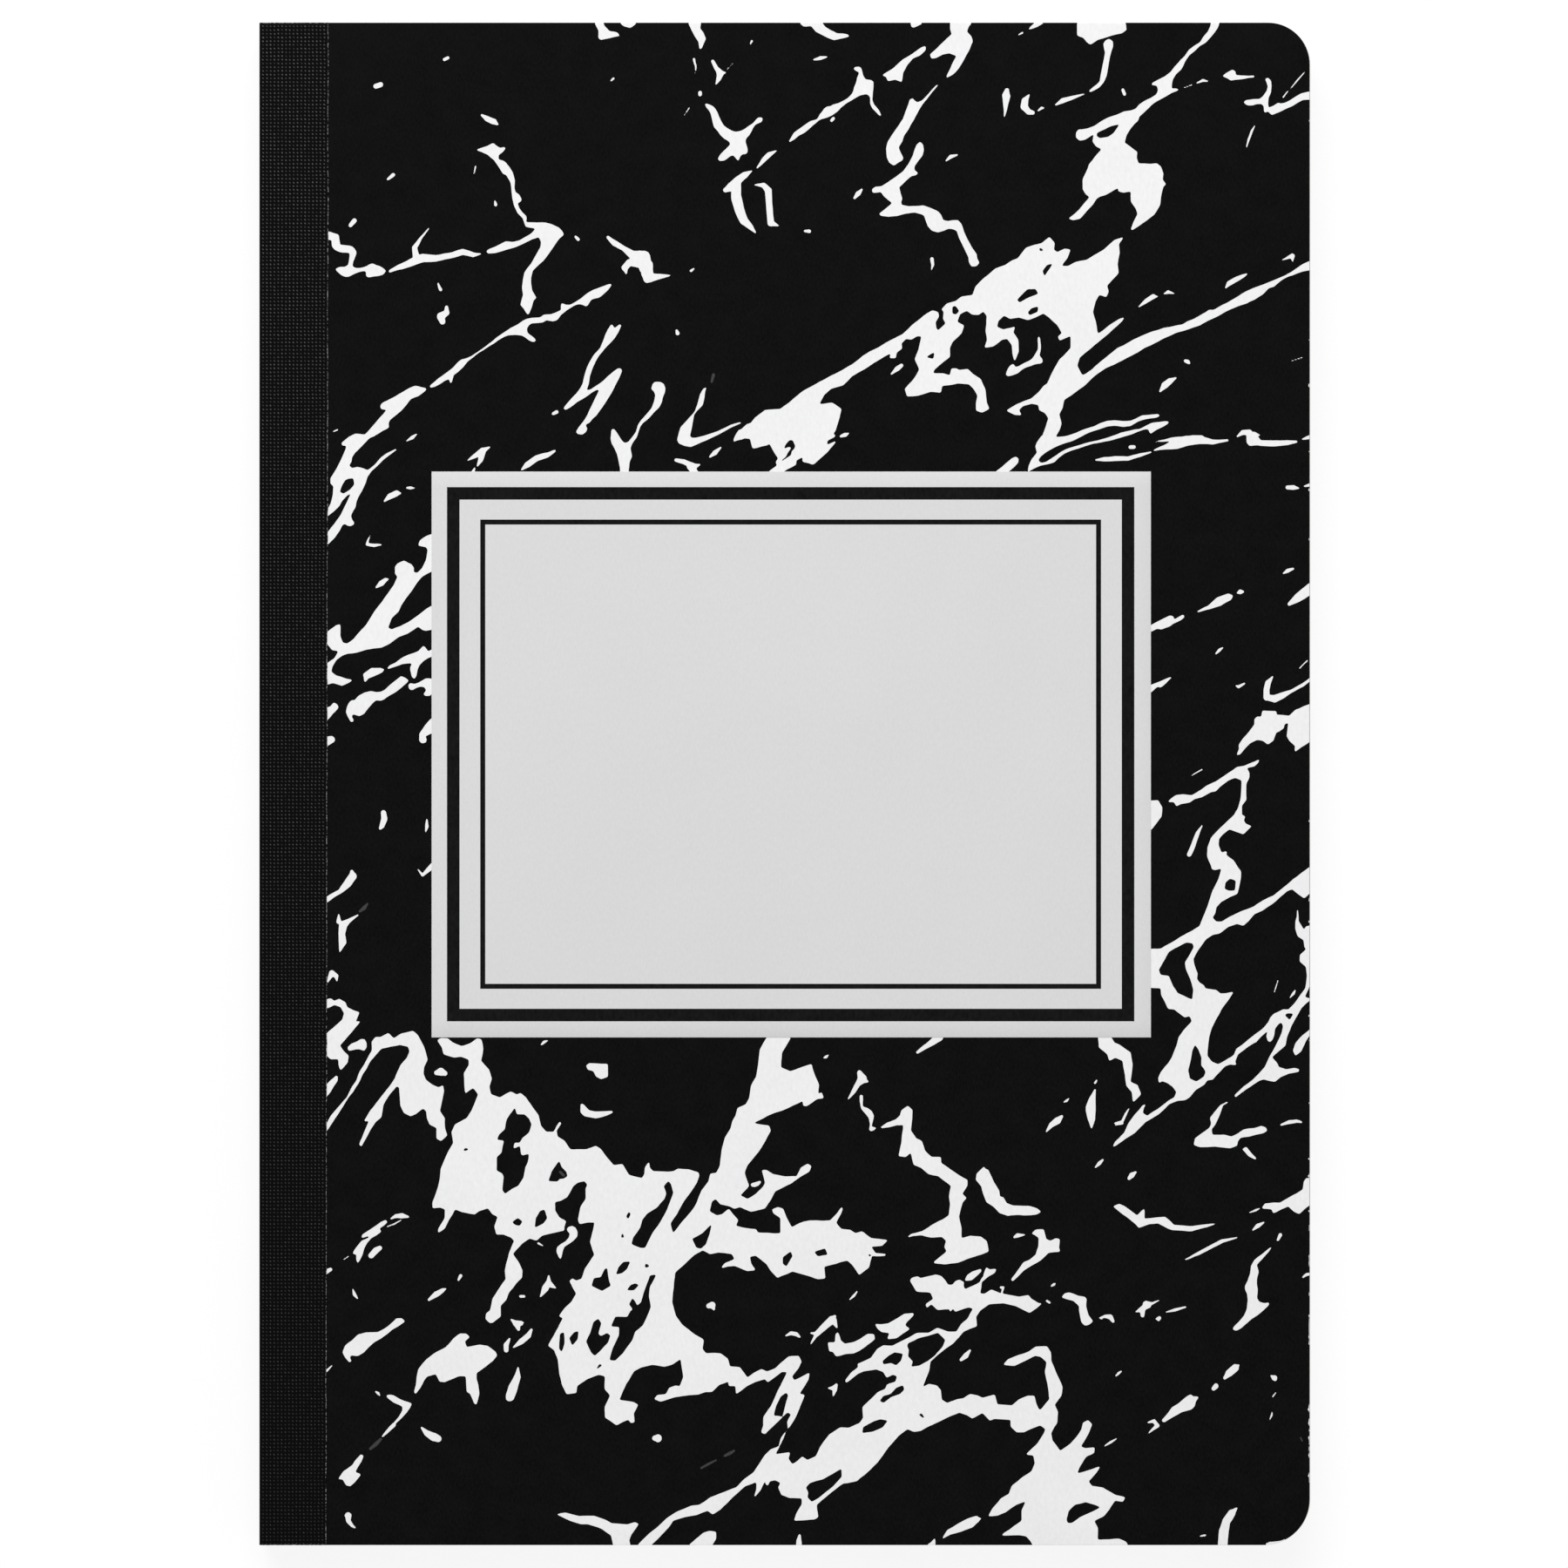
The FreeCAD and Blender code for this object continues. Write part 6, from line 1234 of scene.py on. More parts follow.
def slab_from_face(points, triangles, slots, step, rolls, edge_slot, under_slot):
    """A closed sheet from its flat upper face. The rim goes down through the given levels: each is a share of
    the outward step, across and up, and a height. The underside is a fan round its middle."""
    rim, owner = rim_of(triangles)
    rim_points = np.unique(rim)
    place = np.zeros(len(points), int)
    place[rim_points] = np.arange(len(rim_points))
    solid = [np.column_stack([points, np.full(len(points), rolls[0][1])])]
    faces, marks = [triangles], [slots]
    steps = step(points[rim_points])
    upper = rim
    start = len(points)
    for number, (share, height) in enumerate(rolls[1:]):
        ring = points[rim_points] + steps * np.array(share)
        solid.append(np.column_stack([ring, np.full(len(ring), height)]))
        lower = start + place[rim]
        faces.append(halves(np.stack([upper[:, 0], lower[:, 0], lower[:, 1], upper[:, 1]], 1)))
        marks.append(np.tile(slots[owner], 2) if number == 0 else np.full(2 * len(rim), edge_slot))
        upper = lower
        start += len(ring)
    middle = (ring.min(0) + ring.max(0)) / 2
    solid.append([[*middle, rolls[-1][1]]])
    faces.append(np.column_stack([upper[:, 1], upper[:, 0], np.full(len(rim), start)]))
    marks.append(np.full(len(rim), under_slot))
    return np.concatenate(solid), np.concatenate(faces), np.concatenate(marks)


def inside_loop(wanted, places, lines):
    """Whether each wanted point is inside the loop that the lines make, by its crossings to the right."""
    a, b = places[lines[:, 0]], places[lines[:, 1]]
    x, y = wanted[:, 0][:, None], wanted[:, 1][:, None]
    spans = (a[:, 1] > y) != (b[:, 1] > y)
    rise = np.where(spans, b[:, 1] - a[:, 1], 1)
    crossing = a[:, 0] + (y - a[:, 1]) * (b[:, 0] - a[:, 0]) / rise
    return (spans & (crossing > x)).sum(1) % 2 == 1


def board_atlas(points, triangles):
    """Places on the bake image for a board's corners: its face and underside lie side by side, and its four
    edges lie in strips above them, stretched in height so that they get some of the image."""
    low, high = points.min(0), points.max(0)
    scale = ATLAS_HEIGHT / (high[1] - low[1])
    corners = points[triangles]
    normal = np.cross(corners[:, 1] - corners[:, 0], corners[:, 2] - corners[:, 0])
    normal /= np.maximum(np.linalg.norm(normal, axis=1), NO_AREA)[:, None]
    flat = (corners - low) * scale
    side = np.where(np.abs(normal[:, 0]) > np.abs(normal[:, 1]), 0, 2)
    side += np.where(np.where(side == 0, normal[:, 0], normal[:, 1]) > 0, 0, 1)
    wall_u = np.where(side[:, None] < 2, flat[..., 1], flat[..., 0])
    wall_v = ATLAS_STRIPS + ATLAS_STRIP_PITCH * side[:, None] + ATLAS_STRETCH * flat[..., 2]
    panel = np.where(normal[:, 2] > 0, 0.0, ATLAS_UNDERSIDE)
    level = np.abs(normal[:, 2]) > LEVEL
    u = np.where(level[:, None], flat[..., 0] + panel[:, None], wall_u)
    v = np.where(level[:, None], flat[..., 1], wall_v)
    return np.stack([u, v], -1) * (1 - 2 * ATLAS_RIM) + ATLAS_RIM


def to_cover(places):
    """From picture pixels to metres on the cover."""
    x = (places[:, 0] + READING_SHIFT[0] - PICTURE_MIDDLE[0]) * PIXEL
    y = (PICTURE_MIDDLE[1] - places[:, 1] - READING_SHIFT[1]) * PIXEL
    return np.stack([x, y], 1)


def to_picture(places):
    """From metres on the cover to picture pixels."""
    x = places[:, 0] / PIXEL - READING_SHIFT[0] + PICTURE_MIDDLE[0]
    y = PICTURE_MIDDLE[1] - places[:, 1] / PIXEL - READING_SHIFT[1]
    return x, y


def printed_face(outline, fields):
    """The cover's face between its outline and the lines where black meets white, and each triangle's ink:
    black, white or grey by the fields at its middle."""
    xs, ys, white, grey = fields
    around = np.arange(len(outline))
    points, lines = [outline], [np.stack([around, np.roll(around, -1)], 1)]
    for field in (white, grey):
        places, joined = edge_lines(field, xs, ys)
        lines.append(joined + sum(len(p) for p in points))
        points.append(to_cover(places))
    points, triangles = fill(np.concatenate(points), np.concatenate(lines))
    triangles = triangles[inside_loop(points[triangles].mean(1), outline, lines[0])]
    x, y = to_picture(points[triangles].mean(1))
    is_white = look_up(white, xs, ys, x, y) < 0
    is_grey = look_up(grey, xs, ys, x, y) < 0
    slots = np.where(is_grey, GREY, np.where(is_white, WHITE, BLACK))
    used, triangles = np.unique(triangles, return_inverse=True)
    return points[used], triangles.reshape(-1, 3), slots


def cover_mesh(name, node, shapes, options, materials, face_down):
    """A board with its printed paper. The face is filled between the outline and the lines where black meets
    white, so each colour is a field of the mesh. The rim rolls over by a fraction of a millimetre."""
    low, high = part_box(node)
    thickness = high.z - low.z
    roll = options.board_roll
    outline = outline_of_cover(low.x, high.x, high.y, roll)
    points, triangles, slots = printed_face(outline, marble_fields(shapes, options, options.seed + face_down))
    levels = (thickness, thickness - BOARD_DROP * roll, thickness - roll, roll, 0)

    def step(places):
        return outward(places, low.x, high.x, high.y, roll, (HEAD_RADIUS, TAIL_RADIUS))

    rolls = list(zip(BOARD_RIM, levels))
    solid, faces, marks = slab_from_face(points, triangles, slots, step, rolls, CORE, LINING)
    atlas = board_atlas(solid, faces)
    solid[:, 2] += low.z
    if face_down:
        solid[:, 2] = low.z + high.z - solid[:, 2]
        faces = faces[:, ::-1]
        atlas = atlas[:, ::-1]
    return put_mesh(name, solid, faces, marks, materials, atlas)


def frame_cuts(low, high, lip, bands, shift):
    """The grid's lines in one direction: the label's pressed edges, and the two sides of each frame's
    line."""
    inner = np.array(bands)
    return np.concatenate([[low + lip], low + inner + shift, high - inner[::-1] + shift, [high - lip]])


def label_mesh(options, materials):
    """The pasted label: a thin sheet cut by the lines of its two printed frames. A cell of the grid is ink
    where it lies in a frame."""
    low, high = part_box("label")
    width, height = high.x - low.x, high.y - low.y
    sheet, lip = high.z - low.z, options.lip
    cuts = []
    for axis, half in ((0, width / 2), (1, height / 2)):
        thick, thin = options.thick_inset[axis], options.thin_inset[axis]
        bands = (thick, thick + options.thick_line, thin, thin + options.thin_line)
        cuts.append(frame_cuts(-half, half, lip, bands, options.print_shift[axis]))
    across, up = np.meshgrid(*cuts, indexing="ij")
    points = np.stack([across.ravel(), up.ravel()], 1)
    cells = len(cuts[0]) - 1
    ring = np.minimum(np.arange(cells), np.arange(cells)[::-1])
    ring = np.minimum(ring[:, None], ring[None]).ravel()
    slots = np.tile(((ring == THICK_RING) | (ring == THIN_RING)).astype(int), 2)
    triangles = halves(grid_quads(cells + 1, cells + 1))

    def step(places):
        return outward(places, -width / 2, width / 2, height / 2, lip, (0, 0))

    rolls = list(zip(LABEL_RIM, (sheet, sheet - LABEL_DROP * lip, sheet - lip, 0)))
    solid, faces, marks = slab_from_face(points, triangles, slots, step, rolls, 0, 0)
    solid += np.array([(low.x + high.x) / 2, (low.y + high.y) / 2, low.z])
    return put_mesh("label_sheet", solid, faces, marks, materials)


def tape_section(options, ys, edge, inner):
    """One line of the tape's section: up the spine, a quarter circle over the shoulder and across to the cut
    edge. The inner line is the same, drawn in by the cloth's thickness."""
    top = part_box("front_tape_flange")[1].z
    shoulder = options.shoulder
    up = np.concatenate([
        np.linspace(BLOCK_MIDDLE_Z, FRONT_HINGE_Z - SPINE_STOP, SPINE_ROWS),
        np.linspace(FRONT_HINGE_Z - BEND_START, FRONT_HINGE_Z + BEND_END, BEND_ROWS),
    ])
    turn = np.linspace(math.pi, math.pi / 2, SHOULDER_PLACES)[1:]
    share = np.concatenate([np.linspace(0, 1, FLANGE_ROWS)[1:-1], [CUT_STRIP, 1.0]])
    radius = shoulder - inner
    centre_x, centre_z = HINGE_X + shoulder, top - shoulder
    level = np.ones(len(ys))
    flat_x = centre_x + share[:, None] * (edge[None] - centre_x)
    x = np.concatenate([
        np.full((len(up), len(ys)), HINGE_X + inner),
        (centre_x + radius * np.cos(turn))[:, None] * level,
        flat_x,
    ])
    z = np.concatenate([
        up[:, None] * level,
        (centre_z + radius * np.sin(turn))[:, None] * level,
        np.full(flat_x.shape, top - inner),
    ])
    return x, z


def frayed_edge(ys, half_height, fray, seed):
    """Where the tape's cut edge lies along Y: a slow slant, and a stray that is noise of two sizes."""
    rng = np.random.default_rng(seed)
    slant = np.interp(ys, [-half_height, 0, half_height], TAPE_EDGE)
    stray = smooth_noise(rng, np.arange(2.0), ys / MM, FINE_FRAY)[:, 0]
    stray += SLOW_SHARE * smooth_noise(rng, np.arange(2.0), ys / MM, SLOW_FRAY)[:, 0]
    return slant + fray * stray


def tape_mesh(name, front, options, materials):
    """Half of the canvas tape. Its section is two lines a cloth's thickness apart, carried along Y to the cut
    edge's slant and fray. The back half is the front one upside down."""
    half_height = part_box("spine_tape")[1].y
    ends = half_height - options.end_strip
    ys = np.concatenate([[-half_height], np.linspace(-ends, ends, options.rows), [half_height]])
    edge = frayed_edge(ys, half_height, options.fray, FRONT_FRAY_SEED if front else BACK_FRAY_SEED)
    outer_x, outer_z = tape_section(options, ys, edge, 0)
    inner_x, inner_z = tape_section(options, ys, edge, options.cloth)
    outer_z[-1] -= PRESSED_EDGE * options.cloth
    outer_z[len(outer_z) // 2:, [0, -1]] -= PRESSED_ENDS * options.cloth
    x = np.concatenate([outer_x, inner_x[::-1]])
    z = np.concatenate([outer_z, inner_z[::-1]])
    loop, along = x.shape
    points = np.stack([x, np.repeat(ys[None], loop, 0), z], -1).reshape(-1, 3)
    sides = grid_quads(loop, along, wrap_rows=True)
    i = np.arange(len(outer_x) - 1)
    cap = np.stack([i, loop - 1 - i, loop - 2 - i, i + 1], 1) * along
    quads = np.concatenate([sides, cap, cap[:, ::-1] + along - 1])
    row, column = np.divmod(np.arange(len(sides)), along - 1)
    cut = (row >= len(outer_x) - 2) & (row <= len(outer_x))
    cut |= (column == 0) | (column == along - 2)
    slots = np.concatenate([cut.astype(int), np.ones(2 * len(cap), int)])
    run = np.concatenate([[0], np.cumsum(np.hypot(np.diff(outer_x[:, 0]), np.diff(outer_z[:, 0])))])
    run = np.concatenate([run, run[::-1]]) * (1 if front else -1)
    if not front:
        points[:, 2] = 2 * BLOCK_MIDDLE_Z - points[:, 2]
        quads = quads[:, ::-1]
    triangles = halves(quads)
    made = put_mesh(name, points, triangles, np.tile(slots, 2), materials)
    weave = np.stack([np.repeat(run, along), points[:, 1]], 1) / MM
    layer = made.data.uv_layers.new(name="Weave")
    layer.data.foreach_set("uv", weave[triangles.ravel()].astype(np.float32).ravel())
    return made


def sheet_section(number, options, margin_cuts, trim):
    """The sections of folded sheets, one row each: in along the front leaf, round the fold and out along the
    back leaf, with a second line inside the first that gives the leaf its thickness."""
    low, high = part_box("page_block")
    pitch = (high.z - low.z) / 2 / options.sheets
    rise = (number + 0.5) * pitch
    fold_x = low.x + pitch / 2 + (options.sheets - 1 - number) * pitch
    bend = np.maximum(FOLD_SHARE * rise, FOLD_SHARE * pitch)
    turn = np.linspace(0, math.pi / 2, FOLD_PLACES)[None]
    corner_x = high.x - TAIL_RADIUS * (1 - np.cos(np.linspace(0, math.pi / 2, LEAF_CORNER_PLACES)))
    flat_x = np.concatenate([corner_x, margin_cuts])[None] - trim
    lines = []
    for out in (options.leaf / 2, -options.leaf / 2):
        radius = np.maximum(bend + out, LEAST_FOLD)
        x = np.concatenate([flat_x, fold_x + bend - radius * np.sin(turn)], 1)
        z = np.concatenate([rise + out + 0 * flat_x, rise - bend + radius * np.cos(turn)], 1)
        lines.append((np.concatenate([x, x[:, ::-1]], 1), np.concatenate([z, -z[:, ::-1]], 1)))
    x = np.concatenate([lines[0][0], lines[1][0][:, ::-1]], 1)
    z = np.concatenate([lines[0][1], lines[1][1][:, ::-1]], 1)
    return x, z + BLOCK_MIDDLE_Z, flat_x.shape[1]


def draw_in(x, high_x, radius):
    """How far a round corner draws the head or tail in at x: the radius less the height of its circle
    there."""
    over = np.clip(x - (high_x - radius), 0, radius)
    return radius - np.sqrt(np.maximum(radius**2 - over**2, 0))


def folded_sheets(name, numbers, cuts_y, margin_cuts, options, materials):
    """Sheets of writing paper folded once and laid in each other. Their sections are carried along Y between
    the head and tail, which draw in at the round corners. The grid's inner columns are the edges of the ruled
    lines, and two of its rows are the edges of the margin line. The sheets' edges stand a little in and
    out."""
    low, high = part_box("page_block")
    number = np.asarray(numbers)[:, None]
    rng = np.random.default_rng(options.seed + len(number))
    trim = rng.uniform(0, options.trim, (3, len(number), 1))
    x, z, flat = sheet_section(number, options, margin_cuts, trim[0])
    head = high.y - trim[1] - draw_in(x, high.x, HEAD_RADIUS)
    tail = low.y + trim[2] + draw_in(x, high.x, TAIL_RADIUS)
    inner = np.zeros((*x.shape, 1)) + np.asarray(cuts_y)
    y = np.concatenate([tail[..., None], inner, head[..., None]], -1)
    size, loop, along = y.shape
    level = np.ones(along)
    grid = np.stack([x[..., None] * level, y, z[..., None] * level], -1).reshape(-1, 3)
    sides = grid_quads(loop, along, wrap_rows=True)[:, ::-1]
    section = loop // 2
    i = np.arange(section - 1)
    cap = np.stack([i, i + 1, loop - 2 - i, loop - 1 - i], 1) * along
    quads = np.concatenate([sides, cap, cap[:, ::-1] + along - 1])
    row, column = np.divmod(np.arange(len(sides)), along - 1)
    row = np.where(row < section, row, loop - 2 - row)
    row = np.minimum(row, section - 2 - row)
    ruled = (column % 2 == 1) & (row >= 0) & (row < flat)
    marks = np.where(row == flat - 2, RULE_RED, np.where(ruled, RULE_BLUE, PLAIN))
    marks = np.concatenate([marks, np.full(2 * len(cap), PLAIN)])
    every = (np.arange(size) * loop * along)[:, None, None] + quads[None]
    triangles = halves(every.reshape(-1, 4))
    return put_mesh(name, grid, triangles, np.tile(np.tile(marks, size), 2), materials)


# The paper's fibres lie these two ways, by their turn about Z in radians, and are drawn out along Y
FIBRE_TURNS = (0.5, -0.9)
FIBRE_SCALE = (1, 0.5, 1)
FIBRE_SHARE = 0.75
FIBRE_ROUGHNESS = 0.6
FIBRE_RELIEF = 0.04 * MM

# The layers of a stack of leaves or of a board's pulp: thin along Z and wide across
LAYER_SCALE = (9, 9, 3200)

# The part of each noise that is spread over the whole range: the paper's tone, its layers and the tape's fray
TONE_RANGE = (0.3, 0.7)
LAYER_RANGE = (0.35, 0.65)
FRAY_RANGE = (0.47, 0.62)

# The pressed canvas: a cell's middle, a bead's stretch along its two slanting axes, where its height falls
# off, how far a bead strays in millimetres and the noise's middle, the strength of the weakest bead's painted
# highlight, and how strong the painted highlights on the beads at the tail are beside those at the head
CELL_MIDDLE = (0.5, 0.5, 0)
BEAD_AXES = ((3.1, 3.1, 0), (2.1, -2.1, 0))
BEAD_TOP = 0.25
BEAD_FOOT = 0.98
STRAY = (0.22, 0.22, 0)
STRAY_MIDDLE = (0.88, 0.99, 0.5)
WEAKEST_BEAD = 0.35
TAIL_HIGHLIGHT = 0.38
CANVAS_RELIEF = 0.1 * MM

# The cloth's own grain and clouds, and the share of the beads' painted highlight on the tape, and of the
# fray on the cut edge, that its dullest places keep
CLOTH_GRAIN = 3000.0
CLOTH_CLOUDS = 150.0
DULLEST = 0.7

# The cotton's strands: their slant as three turns in radians, and their roughness from valley to ridge
STRAND_TURNS = (0.6, 0.3, 0.5)
STRAND_ROUGHNESS = (0.85, 0.65)
SHEEN_ROUGHNESS = 0.4
STRAND_RELIEF = 0.05 * MM


def add_node(tree, kind, inputs=None, **settings):
    """A node with its settings, and its inputs either set to a value or linked to another node's output."""
    made = tree.nodes.new(kind)
    for setting, value in settings.items():
        setattr(made, setting, value)
    for socket, value in (inputs or {}).items():
        if isinstance(value, bpy.types.NodeSocket):
            tree.links.new(value, made.inputs[socket])
        else:
            made.inputs[socket].default_value = value
    return made


def work_out(tree, operation, *values):
    """One step of arithmetic on numbers or outputs."""
    return add_node(tree, "ShaderNodeMath", dict(enumerate(values)), operation=operation).outputs[0]


def vector_step(tree, operation, *values):
    """One step of arithmetic on vectors."""
    inputs = dict(enumerate(values))
    return add_node(tree, "ShaderNodeVectorMath", inputs, operation=operation).outputs[0]


def spread(tree, value, low, high, to_low=0.0, to_high=1.0, smooth=False):
    """The value carried from one range to another, held at its ends."""
    inputs = {"Value": value, "From Min": low, "From Max": high, "To Min": to_low, "To Max": to_high}
    kind = "SMOOTHSTEP" if smooth else "LINEAR"
    return add_node(tree, "ShaderNodeMapRange", inputs, interpolation_type=kind).outputs[0]


def noise(tree, vector, scale, detail, **others):
    """Soft noise at the given places."""
    inputs = {"Vector": vector, "Scale": scale, "Detail": detail, **others}
    return add_node(tree, "ShaderNodeTexNoise", inputs)


def blend_colours(tree, share, first, second):
    """A colour between two others."""
    inputs = {0: share, 6: (*first, 1), 7: (*second, 1)}
    return add_node(tree, "ShaderNodeMix", inputs, data_type="RGBA").outputs[2]


def relief(tree, shader, height, strength, depth):
    """Gives the shader's normal the relief of a height from 0 to 1, which stands for the depth in metres."""
    bump = add_node(tree, "ShaderNodeBump", {"Height": height, "Strength": strength, "Distance": depth})
    tree.links.new(bump.outputs[0], shader.inputs["Normal"])


def new_group(name, numbers, outputs):
    """An empty node group with a Vector input, number inputs and their values, and number outputs."""
    group = bpy.data.node_groups.new(name, "ShaderNodeTree")
    group.interface.new_socket("Vector", in_out="INPUT", socket_type="NodeSocketVector")
    for label, value in numbers.items():
        socket = group.interface.new_socket(label, in_out="INPUT", socket_type="NodeSocketFloat")
        socket.default_value = value
    for label in outputs:
        group.interface.new_socket(label, in_out="OUTPUT", socket_type="NodeSocketFloat")
    return group, group.nodes.new("NodeGroupInput"), group.nodes.new("NodeGroupOutput")


def paper_fibre_group():
    """Paper's own grain: short fibres that lie two ways, and soft clouds where the pulp is thicker. Tone runs
    from 0 to 1 about its middle, and Height is the surface's relief."""
    name = "Paper Fibre"
    if name in bpy.data.node_groups:
        return bpy.data.node_groups[name]
    group, given, out = new_group(name, {"Grain": 2200.0, "Clouds": 90.0}, ("Tone", "Height"))
    vector, grain, clouds = given.outputs[:3]
    fibres = []
    for turn in FIBRE_TURNS:
        lay = {"Vector": vector, "Rotation": (0, 0, turn), "Scale": FIBRE_SCALE}
        place = add_node(group, "ShaderNodeMapping", lay).outputs[0]
        fibres.append(noise(group, place, grain, detail=2.0, Roughness=FIBRE_ROUGHNESS).outputs[0])
    lie = work_out(group, "MULTIPLY", work_out(group, "ADD", *fibres), 0.5)
    cloud = noise(group, vector, clouds, detail=3.0).outputs[0]
    fibre_part = work_out(group, "MULTIPLY", lie, FIBRE_SHARE)
    both = work_out(group, "ADD", fibre_part, work_out(group, "MULTIPLY", cloud, 1 - FIBRE_SHARE))
    group.links.new(spread(group, both, *TONE_RANGE), out.inputs[0])
    group.links.new(lie, out.inputs[1])
    return group


def new_surface(name, specular=0.5, sheen=0.0):
    """A material with its shader, and the constants set on the shader's own sockets."""
    material = bpy.data.materials.new(name)
    material.use_nodes = True
    tree = material.node_tree
    shader = tree.nodes["Principled BSDF"]
    shader.inputs["Specular IOR Level"].default_value = specular
    if sheen:
        shader.inputs["Sheen Weight"].default_value = sheen
        shader.inputs["Sheen Roughness"].default_value = SHEEN_ROUGHNESS
    return material, tree, shader


def own_place(tree):
    """The place in the object's own coordinates."""
    return add_node(tree, "ShaderNodeTexCoord").outputs["Object"]


def fibre_of(tree, grain, clouds):
    """The paper fibre group, read in the object's own coordinates."""
    inputs = {"Vector": own_place(tree), "Grain": grain, "Clouds": clouds}
    return add_node(tree, "ShaderNodeGroup", inputs, node_tree=paper_fibre_group()).outputs


def layered(tree, tone, layers):
    """The tone with a share of it changed for one that follows height alone, as in a stack of paper."""
    lay = add_node(tree, "ShaderNodeMapping", {"Vector": own_place(tree), "Scale": LAYER_SCALE}).outputs[0]
    stack = noise(tree, lay, scale=1.0, detail=4.0).outputs[0]
    stack = work_out(tree, "MULTIPLY", spread(tree, stack, *LAYER_RANGE), layers)
    return work_out(tree, "ADD", work_out(tree, "MULTIPLY", tone, 1 - layers), stack)


def printed_paper(
    name, dark, light, roughness, strength, grain=2200.0, clouds=90.0, specular=0.3, layers=0.0
):
    """Paper, or ink that has soaked into it. Its colour and roughness follow the fibre's tone, and its relief
    follows the fibre's height with the given strength. The roughness is its value in the darkest and in the
    lightest places. Layers is the share of the tone that changes with height alone, which shows on the cut
    edges of a stack."""
    material, tree, shader = new_surface(name, specular)
    tone, height = fibre_of(tree, grain, clouds)
    if layers:
        tone = layered(tree, tone, layers)
    tree.links.new(blend_colours(tree, tone, dark, light), shader.inputs["Base Color"])
    tree.links.new(spread(tree, tone, 0, 1, *roughness), shader.inputs["Roughness"])
    relief(tree, shader, height, strength, FIBRE_RELIEF)
    return material


def printed_grey(name, dark, light, roughness, strength, **others):
    """Printed paper without a tint: each of its two tones is one grey for all three channels."""
    return printed_paper(name, (dark,) * 3, (light,) * 3, roughness, strength, **others)


def cover_materials():
    """Black ink, white ground, grey flecks, the board's pulp core and its lining paper, in slot order."""
    return [
        printed_grey(
            "marble_black", 0.0003, 0.0058, roughness=(0.45, 0.65), strength=0.15,
            grain=3000.0, clouds=260.0, specular=0.03,
        ),
        printed_paper(
            "marble_white", (0.83, 0.83, 0.84), (0.93, 0.93, 0.94), roughness=(0.5, 0.65), strength=0.12,
            grain=1900.0,
        ),
        printed_grey("marble_grey", 0.035, 0.055, roughness=(0.5, 0.65), strength=0.12, specular=0.1),
        printed_paper(
            "board_core", (0.27, 0.26, 0.24), (0.52, 0.50, 0.46), roughness=(0.8, 0.95), strength=0.5,
            grain=1500.0, layers=0.4,
        ),
        printed_paper(
            "lining_paper", (0.66, 0.65, 0.60), (0.76, 0.75, 0.70), roughness=(0.75, 0.9), strength=0.2
        ),
    ]


def label_materials():
    """The label's smooth grey-white paper and the black of its frames, in slot order."""
    return [
        printed_grey(
            "label_paper", 0.668, 0.732, roughness=(0.6, 0.75), strength=0.1, grain=2600.0, clouds=40.0
        ),
        printed_grey(
            "label_ink", 0.0005, 0.0105, roughness=(0.5, 0.7), strength=0.1,
            grain=1800.0, clouds=300.0, specular=0.04,
        ),
    ]


def leaf_materials():
    """Writing paper and the blue and red of its ruling, in slot order."""
    return [
        printed_paper(
            "writing_paper", (0.72, 0.72, 0.69), (0.92, 0.92, 0.90), roughness=(0.75, 0.9), strength=0.15,
            layers=0.75,
        ),
        printed_paper(
            "rule_blue", (0.22, 0.42, 0.66), (0.38, 0.56, 0.76), roughness=(0.7, 0.85), strength=0.15
        ),
        printed_paper(
            "rule_red", (0.62, 0.14, 0.18), (0.76, 0.28, 0.30), roughness=(0.7, 0.85), strength=0.15
        ),
    ]


def cotton_material():
    """Waxed cotton thread: pale strands that slant round it, darker between them."""
    material, tree, shader = new_surface("cotton_thread", specular=0.3, sheen=0.2)
    lay = {"Vector": own_place(tree), "Rotation": STRAND_TURNS}
    lean = add_node(tree, "ShaderNodeMapping", lay).outputs[0]
    inputs = {"Vector": lean, "Scale": 900.0, "Distortion": 2.0, "Detail": 2.0}
    strands = add_node(tree, "ShaderNodeTexWave", inputs, bands_direction="Y").outputs["Fac"]
    colour = blend_colours(tree, strands, (0.55, 0.52, 0.45), (0.85, 0.82, 0.74))
    tree.links.new(colour, shader.inputs["Base Color"])
    tree.links.new(spread(tree, strands, 0, 1, *STRAND_ROUGHNESS), shader.inputs["Roughness"])
    relief(tree, shader, strands, strength=0.6, depth=STRAND_RELIEF)
    return material


def bead_height(group, inner):
    """The height of a bead at a place in its cell: 1 in the middle, and falling off smoothly with the length
    of the place's steps along the bead's two slanting axes."""
    steps = []
    for axis in BEAD_AXES:
        dot = add_node(group, "ShaderNodeVectorMath", {0: inner, 1: axis}, operation="DOT_PRODUCT")
        steps.append(work_out(group, "MULTIPLY", dot.outputs["Value"], dot.outputs["Value"]))
    away = work_out(group, "SQRT", work_out(group, "ADD", *steps))
    return spread(group, away, BEAD_TOP, BEAD_FOOT, 1.0, 0.0, smooth=True)


